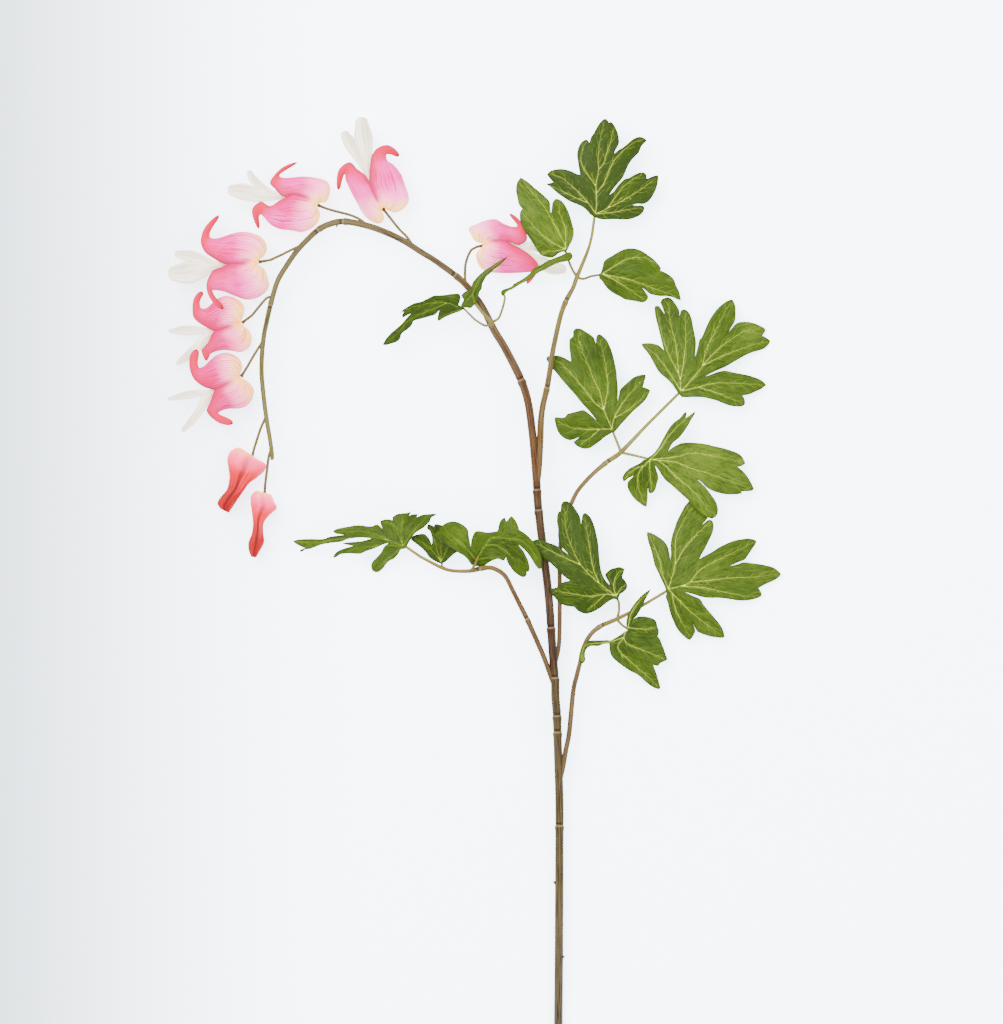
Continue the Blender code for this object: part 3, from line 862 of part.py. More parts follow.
def add_stem():
    """Main stem with its flower stalks and stubs grown into it."""
    rows = stem_rows(STEM, STEM_JOINTS, 1)
    vertices, faces = tube_mesh(rows, 10)
    for vertex in vertices:
        vertex.z = max(vertex.z, 0.0)
    stem = add_piece("stem", vertices, faces, "stem")
    grown = []
    for name, points in PEDICELS.items():
        flower = FLOWERS.get(name) or BUDS[name]
        seat = seen_at(*flower["seat"], flower["height"])
        radius = PEDICEL_DIAMETER * MM / 2
        centres = [seen_at(*p) for p in points]
        away = (centres[-1] - seat).normalized()
        stop = seat + away * ((RECEPTACLE if name in FLOWERS else 0.0011) + GAP)
        rows = [(centre, radius) for centre in centres]
        rows += [(stop + away * 2.2 * MM, radius), (stop + away * 1.0 * MM, PEDICEL_KNOB * MM / 2),
                 (stop, PEDICEL_KNOB * MM * 0.42)]
        grown.append(add_tube(name + "_stalk", rows, 6))
    for i, (start, end, diameter) in enumerate(STEM_STUBS):
        rows = [(seen_at(*start), diameter * MM * 0.55), (seen_at(*end), diameter * MM * 0.4)]
        grown.append(add_tube("stub_%d" % i, rows, 6))
    return combine(stem, grown, "UNION")


def add_stalk(name, data):
    """A leaf stalk with its forks, its foot kept just off the main stem."""
    lines = []
    for i, (points, leaf) in enumerate(data["lines"]):
        rows = stem_rows(points, data["joints"] if i == 0 else [], 1)
        rows += under_leaf(LEAVES[leaf], rows[-1][1] * 0.92)
        lines.append(add_tube("stalk_" + name if i == 0 else "side_%d" % i, rows, 8 if i == 0 else 6,
                              "stalk" if i == 0 else None))
    stalk = combine(lines[0], lines[1:], "UNION")
    wide = add_tube("wide_stem", stem_rows(STEM, STEM_JOINTS, 1, GAP), 10)
    return combine(stalk, [wide], "DIFFERENCE")


def petal_grid(flower, petal, steps):
    """Rows of points across one outer petal, from its front lip round its back to the other lip."""
    outer, lip, rise = petal
    groove = [np.array(p, dtype=float) for p in flower["groove"]]
    ahead = groove[-1] - groove[0]
    across = np.array([-ahead[1], ahead[0]]) / np.linalg.norm(ahead)
    if (np.array(outer[3]) - groove[3]) @ across < 0:
        across = -across
    lips = [p + across * 0.6 for p in groove] + [np.array(p, dtype=float) for p in lip]
    grid = []
    for k in range(len(outer)):
        edge, fold = lips[k], np.array(outer[k], dtype=float)
        belly = edge + (fold - edge) * 0.52
        level = flower["height"] + rise * HORN_RISE[k]
        near, far = LIP_DEPTH[k] * flower["depth"], BELLY_DEPTH[k] * flower["depth"]
        if k >= 9:
            near, far = max(near, 1.3), max(far, 1.5)
        grid.append([(*edge, level + near), (*belly, level + far), (*fold, level),
                     (*belly, level - far), (*edge, level - near)])
    columns = [through([row[c] for row in grid], steps) for c in range(5)]
    return [[columns[c][r] for c in range(5)] for r in range(len(columns[0]))]


def shell_mesh(grid, thickness):
    """Closed shell of even thickness inside a grid of points."""
    rows, columns = len(grid), len(grid[0])
    at = [[seen_at(*p) for p in row] for row in grid]
    outside, within = [], []
    for r in range(rows):
        for c in range(columns):
            down = at[min(r + 1, rows - 1)][c] - at[max(r - 1, 0)][c]
            over = at[r][min(c + 1, columns - 1)] - at[r][max(c - 1, 0)]
            normal = down.cross(over).normalized()
            outside.append(at[r][c])
            within.append(normal)
    centre = sum((p for row in at for p in row), Vector()) / (rows * columns)
    pointing = sum((outside[i] - centre).dot(within[i]) for i in range(len(outside)))
    turn = 1 if pointing > 0 else -1
    inner = [outside[i] - within[i] * turn * thickness for i in range(len(outside))]
    count = rows * columns
    faces = []
    for r in range(rows - 1):
        for c in range(columns - 1):
            a, b = r * columns + c, r * columns + c + 1
            quad = (a, a + columns, b + columns, b) if turn > 0 else (a, b, b + columns, a + columns)
            faces += [quad, tuple(i + count for i in reversed(quad))]
    ring = ([(0, c) for c in range(columns)] + [(r, columns - 1) for r in range(1, rows)]
            + [(rows - 1, c) for c in range(columns - 2, -1, -1)] + [(r, 0) for r in range(rows - 2, 0, -1)])
    ring = [r * columns + c for r, c in ring]
    for a, b in zip(ring, ring[1:] + ring[:1]):
        faces.append((b, b + count, a + count, a) if turn < 0 else (a, a + count, b + count, b))
    return outside + inner, faces


def rounded(grid, shares):
    """More columns round the back of a petal, along a smooth curve through its five points."""
    result = []
    for row in grid:
        fine = through(row, 5)
        result.append([fine[round(share * 5)] for share in shares])
    return result


def ball_mesh(centre, radius, rings=5, sides=6):
    rows = []
    for i in range(1, rings):
        angle = math.pi * i / rings
        rows.append((math.cos(angle), math.sin(angle)))
    vertices = [centre + Vector((0, 0, radius))]
    for up, out in rows:
        for k in range(sides):
            turn = 2 * math.pi * k / sides
            vertices.append(centre + Vector((math.cos(turn) * out, math.sin(turn) * out, up)) * radius)
    vertices.append(centre - Vector((0, 0, radius)))
    faces = [(0, 1 + k, 1 + (k + 1) % sides) for k in range(sides)]
    for i in range(rings - 2):
        for k in range(sides):
            a, b = 1 + i * sides + k, 1 + i * sides + (k + 1) % sides
            faces.append((a, a + sides, b + sides, b))
    last = len(vertices) - 1
    faces += [(last, last - sides + (k + 1) % sides, last - sides + k) for k in range(sides)]
    return vertices, faces


def add_outer_petals(name, flower):
    """The heart: two pouched outer petals with their horns, joined at the seat."""
    parts = []
    for i, petal in enumerate(flower["petals"]):
        grid = rounded(petal_grid(flower, petal, 1), (0, 1, 1.7, 2.3, 3, 4))
        parts.append(add_piece("petal_%d" % i, *shell_mesh(grid, PETAL)))
    seat = seen_at(*flower["seat"], flower["height"])
    heart = add_piece(name + "_petals", *ball_mesh(seat, RECEPTACLE), "petal")
    return combine(heart, parts, "UNION")


def tongue_mesh(rows, sides, width_axis):
    """Flattened tongue along rows of (centre, half width, half thickness)."""
    vertices, faces = [], []
    for i, (centre, wide, thick) in enumerate(rows):
        ahead = rows[min(i + 1, len(rows) - 1)][0] - rows[max(i - 1, 0)][0]
        side = ahead.cross(width_axis).normalized()
        up = side.cross(ahead).normalized()
        for k in range(sides):
            angle = 2 * math.pi * k / sides
            vertices.append(centre + side * wide * math.cos(angle) + up * thick * math.sin(angle))
    for i in range(len(rows) - 1):
        for k in range(sides):
            n = (k + 1) % sides
            faces.append((i * sides + k, i * sides + n, (i + 1) * sides + n, (i + 1) * sides + k))
    faces.append(tuple(reversed(range(sides))))
    faces.append(tuple(range((len(rows) - 1) * sides, len(rows) * sides)))
    return vertices, faces


def inner_rows(flower, path, first):
    """Rows of one white inner petal: a thin claw inside the heart, then its spoon."""
    height = flower["height"]
    groove = [np.array(p, dtype=float) for p in flower["groove"]]
    seat = np.array(flower["seat"], dtype=float)
    rows = []
    if first:
        ahead = (groove[3] - seat) / np.linalg.norm(groove[3] - seat)
        start = seat + ahead * (RECEPTACLE + GAP) / SCALE
        rows.append((seen_at(*start, height), 0.55 * MM, 0.55 * MM))
        rows.append((seen_at(*groove[4], height), 0.9 * MM, 0.8 * MM))
    else:
        rows.append((seen_at(*groove[4], height), 0.6 * MM, 0.5 * MM))
    for i, (u, v, width) in enumerate(path):
        thick = (0.8, 0.75, 0.7, 0.5)[i]
        rows.append((seen_at(u, v, height), width * MM / 2, thick * MM))
    return rows


def add_inner_petals(name, flower):
    parts = []
    for i, path in enumerate(flower["inner"]):
        rows = inner_rows(flower, path, i == 0)
        parts.append(add_piece(name + "_inner" if i == 0 else "spoon_%d" % i,
                               *tongue_mesh(rows, 8, Vector((0, 0, 1))), "inner" if i == 0 else None))
    return combine(parts[0], parts[1:], "UNION")


def add_bud(name, bud):
    """Closed bud: a pouch that narrows to a blunt snout, with a fold down its front and back."""
    vertices, faces = [], []
    sides = 10
    for left, right, deep in bud["stations"]:
        a, b = seen_at(*left, bud["height"]), seen_at(*right, bud["height"])
        centre, half = (a + b) / 2, (b - a) / 2
        for k in range(sides):
            angle = 2 * math.pi * k / sides
            fold = 0.86 if k in (2, 3, 7, 8) else 1.0
            lift = Vector((0, 0, deep * MM * math.sin(angle) * (1.0 if k in (2, 3, 7, 8) else 1.08)))
            vertices.append(centre + half * math.cos(angle) * fold + lift)
    count = len(bud["stations"])
    for i in range(count - 1):
        for k in range(sides):
            n = (k + 1) % sides
            faces.append((i * sides + k, (i + 1) * sides + k, (i + 1) * sides + n, i * sides + n))
    faces.append(tuple(range(sides)))
    faces.append(tuple(reversed(range((count - 1) * sides, count * sides))))
    return add_piece(name, vertices, faces, "bud")


def main():
    clear_scene()
    add_stem()
    for name, data in STALKS.items():
        add_stalk(name, data)
    for name, data in LEAVES.items():
        add_leaf(name, data)
    for name, flower in FLOWERS.items():
        add_outer_petals(name, flower)
        add_inner_petals(name, flower)
    for name, bud in BUDS.items():
        add_bud(name, bud)


main()
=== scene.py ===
"""Dress the cut bleeding heart stem: its skin, veined leaves, hearts, buds and the photo's stage."""

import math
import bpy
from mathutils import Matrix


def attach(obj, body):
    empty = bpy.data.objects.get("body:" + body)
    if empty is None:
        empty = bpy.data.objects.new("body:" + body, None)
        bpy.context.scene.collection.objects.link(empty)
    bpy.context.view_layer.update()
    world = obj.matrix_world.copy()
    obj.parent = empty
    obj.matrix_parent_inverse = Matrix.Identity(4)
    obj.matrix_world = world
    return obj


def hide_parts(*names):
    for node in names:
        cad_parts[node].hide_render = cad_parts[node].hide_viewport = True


bl_info = {
    "name": "Bleeding heart stem",
    "version": (1, 0, 0),
    "blender": (4, 5, 0),
    "location": "View3D > Sidebar > Bleeding Heart",
    "description": "Builds the finished stem, leaves and flowers of a cut bleeding heart",
    "category": "Object",
}

import bmesh
import bpy
import numpy as np
from mathutils import Vector
from mathutils.geometry import delaunay_2d_cdt

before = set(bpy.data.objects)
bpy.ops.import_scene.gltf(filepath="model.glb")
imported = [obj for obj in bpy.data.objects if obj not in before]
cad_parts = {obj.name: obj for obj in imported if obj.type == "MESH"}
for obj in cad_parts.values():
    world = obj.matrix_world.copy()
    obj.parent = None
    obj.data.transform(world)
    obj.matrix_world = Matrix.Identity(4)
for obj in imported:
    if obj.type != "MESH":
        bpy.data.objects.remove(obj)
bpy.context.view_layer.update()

MM = 0.001
SCALE = 0.6 * MM            # metres for one pixel of the photograph
CENTRE_U = 475.5            # pixel column under the frame's origin
CENTRE_V = 616.0            # pixel row under the frame's origin
PHOTO_SIZE = (1003, 1024)
GAP = 0.3 * MM              # clearance that the solids keep between pieces
RECEPTACLE = 1.65 * MM      # radius of the little seat of a flower

STALK_STEP = 1.3            # photo pixels between the rows of a stalk
COLLAR_SHARE, COLLAR_BEFORE, COLLAR_WIDTH = 0.13, 1.4, 1.5    # swelling before a joint, lengths in mm
NOTCH_SHARE, NOTCH_AFTER, NOTCH_WIDTH = 0.10, 0.6, 0.6        # narrowing after a joint, lengths in mm
PALE_WIDTH, DARK_AFTER, DARK_WIDTH = 0.6, 1.3, 0.8            # pale line and dark edge of a joint, in mm
FAINT_VEINS = 0.35          # how strongly veins show on the leaves that are seen edge-on
FAINT_LEAVES = ("arch", "far_left", "left_dark", "left_fold")
SIDE_STALK = 0.8            # least width of a side stalk beside that of a main one
PETAL_CLOSING = -0.5        # pixels that the petals of a heart reach over its groove

# Main stem, from the cut end to the tip: column, row, height in mm, diameter in mm
STEM = [
    (558.5, 1114, 2.45, 5.3), (558.5, 1104, 2.45, 5.3), (558.5, 1060, 3.2, 5.3), (558.5, 1024, 3.9, 5.3),
    (559, 960, 5.2, 5.2), (559.3, 905, 6.3, 5.2), (559.5, 850, 7.4, 5.1), (559.5, 800, 8.5, 5.1),
    (558, 750, 9.5, 5.1), (557, 716, 10.2, 5.2), (555.5, 698, 10.6, 5.2), (555, 680, 11.0, 5.1),
    (552.5, 650, 11.6, 5.0), (549, 600, 12.6, 5.0), (544.5, 560, 13.3, 5.0), (538.5, 510, 14.0, 5.0),
    (536.5, 480, 14.3, 4.9), (534, 450, 14.6, 4.8), (532, 430, 14.7, 4.8), (528, 402, 14.9, 4.8),
    (521, 380, 15.0, 4.9), (506, 350, 15.1, 4.8), (494, 330, 15.2, 4.7), (484, 310, 15.2, 4.3),
    (477, 299, 15.2, 4.2), (462, 281, 15.2, 4.0), (437, 262, 15.1, 3.7), (421, 252, 15.0, 3.7),
    (402, 240, 15.0, 3.8), (380, 230, 14.9, 3.9), (360, 224, 14.8, 3.9), (343, 221.5, 14.6, 3.9),
    (330, 224, 14.5, 3.8), (318, 230, 14.4, 3.6), (305, 242, 14.2, 3.4), (296, 252, 14.1, 3.4),
    (287, 265, 14.0, 3.3), (278, 280, 13.9, 3.2), (272, 299, 13.7, 3.1), (267, 320, 13.6, 3.0),
    (263, 342, 13.5, 2.9), (261.5, 371, 13.4, 2.8), (264, 400, 13.3, 2.8), (267, 422, 13.2, 2.7),
    (270, 440, 13.1, 2.6), (272, 454, 13.0, 2.5), (272, 460, 13.0, 2.0),
]
# Slightly swollen joints of the stem, as rows down the straight part or points on the arch
STEM_JOINTS = [(559.5, 826), (557.5, 732), (557, 716), (554.8, 678), (551, 627), (538.5, 510), (537, 490),
               (521, 380), (455, 275), (343, 221.5), (318, 230), (271, 305)]
# Small bumps left by fallen stalks: base point and end point with heights in mm, diameter in mm
STEM_STUBS = [((558, 886, 6.8), (553.6, 882, 7.4), 1.6), ((560, 960, 5.3), (564.6, 957, 5.9), 1.5),
              ((338, 222, 14.6), (336.5, 227.5, 15.0), 1.2)]

# Flower stalks fused into the stem: points with heights in mm; the last one is the flower's seat
PEDICELS = {
    "flower_1": [(414.5, 247.8, 15.0), (407, 237, 14.8), (400, 230, 14.2), (393, 221.5, 13.4)],
    "flower_2": [(368, 226.2, 14.8), (360, 219.5, 14.2), (350, 215, 13.6), (335, 211, 12.9),
                 (325, 208, 12.3)],
    "flower_3": [(302, 245.2, 14.2), (292, 249.5, 13.8), (283, 254, 13.4), (270, 260, 12.9)],
    "flower_4": [(273, 296, 13.7), (267, 298, 13.4), (262, 303, 12.9), (252, 315, 10.8)],
    "flower_5": [(263.5, 340, 13.5), (259, 347, 13.4), (254, 355, 13.0), (247, 367, 12.5)],
    "flower_6": [(468.5, 288.8, 15.2), (465.5, 281, 14.6), (465, 272, 13.6), (466, 262, 12.6),
                 (470.5, 251, 11.8), (477, 246.5, 11.2)],
    "bud_1": [(266.2, 416, 13.2), (263, 423, 12.6), (260, 430, 12.0), (254, 448, 9.6)],
    "bud_2": [(271.2, 449, 13.0), (268.8, 456, 13.6), (267, 470, 13.6), (265, 485, 11.6)],
}

# Leaf stalks: the main line first, then its side stalks. Points: column, row, height mm, diameter mm.
# The text at the end of a line names the leaf it runs under.
STALKS = {
    "top": {
        "lines": [
            ([(536.6, 486, 14.3, 3.2), (538.8, 466, 14.7, 3.2), (540.2, 440, 15.0, 3.2),
              (541, 420, 15.2, 3.0),
              (543, 405, 15.4, 2.9), (547, 388, 15.7, 2.8), (550, 370, 16.0, 2.6), (553, 350, 16.1, 2.5),
              (560, 318, 16.1, 2.4), (566, 301, 16.1, 2.5), (573, 288, 16.0, 2.1), (577, 277, 16.0, 2.1),
              (588, 250, 16.1, 1.5), (592, 235, 16.2, 1.4)], "leaf_top_end"),
            ([(577, 277, 16.0, 1.4), (572, 269, 15.9, 1.2), (568, 259, 15.8, 1.2)], "leaf_top_left"),
            ([(576.5, 277, 16.0, 1.4), (583, 279, 15.7, 1.2), (591, 276.3, 15.5, 1.2)], "leaf_top_right")],
        "joints": [(547, 388), (566, 301)]},
    "middle": {
        "lines": [
            ([(553.8, 668, 11.2, 2.1), (557.2, 655, 10.7, 2.1), (559.3, 640, 10.3, 2.1),
              (559.8, 600, 10.0, 2.1),
              (559.8, 560, 10.0, 2.1), (561.5, 535, 10.2, 2.1), (566, 515, 10.4, 2.2), (572, 502, 10.8, 2.2),
              (577, 492, 11.0, 2.1), (585, 482, 11.2, 2.1), (595, 472, 11.5, 2.1), (607, 462, 11.8, 2.4),
              (621, 452, 11.7, 2.2), (645, 427, 11.6, 1.6), (660, 412, 11.4, 1.5)], "leaf_middle_end"),
            ([(621, 452, 11.7, 1.5), (617.5, 443, 11.6, 1.3)], "leaf_middle_left"),
            ([(620.5, 452.3, 11.7, 1.5), (634, 455.3, 11.6, 1.3)], "leaf_middle_low")],
        "joints": [(607, 462)]},
    "lower": {
        "lines": [
            ([(559, 783, 8.9, 2.5), (562.8, 768, 9.3, 2.5), (566, 750, 9.8, 2.4), (569, 735, 10.1, 2.4),
              (571, 715, 10.5, 2.4), (573.5, 690, 11.0, 2.3), (577, 675, 11.3, 2.3), (580, 663, 11.5, 2.2),
              (583, 650, 11.8, 2.2), (587, 640, 12.0, 2.2), (593, 632, 12.2, 2.2), (601, 626, 12.5, 2.3),
              (610, 622, 12.6, 2.1), (617, 619, 12.6, 2.0), (630, 612.5, 12.1, 1.6), (647, 603, 11.5, 1.5)],
             "leaf_lower_end"),
            ([(617, 619.3, 12.6, 1.4), (619, 611, 12.9, 1.2), (619, 603, 13.2, 1.2)], "leaf_lower_left"),
            ([(616.5, 619, 12.6, 1.4), (622, 625, 12.4, 1.2)], "leaf_lower_right")],
        "joints": [(601, 626)]},
    "left": {
        "lines": [
            ([(554.6, 686, 10.9, 2.4), (550, 674, 11.2, 2.4), (545, 660, 11.6, 2.4), (540, 648, 11.9, 2.4),
              (527, 619, 12.4, 2.4), (520, 605, 12.6, 2.3), (513, 591, 12.8, 2.2), (505, 576, 12.9, 2.2),
              (495, 569, 13.0, 2.2), (488, 567.6, 13.0, 2.2), (480, 568.6, 13.0, 2.4), (470, 571, 12.9, 1.9),
              (455, 571, 12.7, 1.7), (445, 569, 12.5, 1.7), (436, 565, 12.3, 1.6), (420, 556.5, 12.0, 1.4)],
             "leaf_far_left"),
            ([(447, 569.4, 12.6, 1.3), (442, 566.5, 12.4, 1.1)], "leaf_left_dark"),
            ([(471, 570.8, 12.9, 1.6), (473, 568, 14.8, 1.4), (474.6, 565, 16.4, 1.3)], "leaf_left_fold")],
        "joints": [(527, 619), (480, 568.6)]},
    "arch": {
        "lines": [
            ([(492.6, 327.5, 15.6, 2.0), (491.6, 324.5, 18.0, 2.1), (489.5, 320.5, 19.2, 1.9),
              (482, 312.5, 19.5, 1.5)], "leaf_arch_end"),
            ([(491.6, 323.8, 18.7, 1.5), (485, 325.8, 18.6, 1.2), (475, 320, 18.2, 1.1)], "leaf_arch_left"),
            ([(490.8, 322.5, 18.7, 1.5), (498.5, 318.5, 18.8, 1.2), (503, 307, 18.6, 1.2),
              (505, 298, 18.3, 1.1)],
             "leaf_arch_right")],
        "joints": []},
}

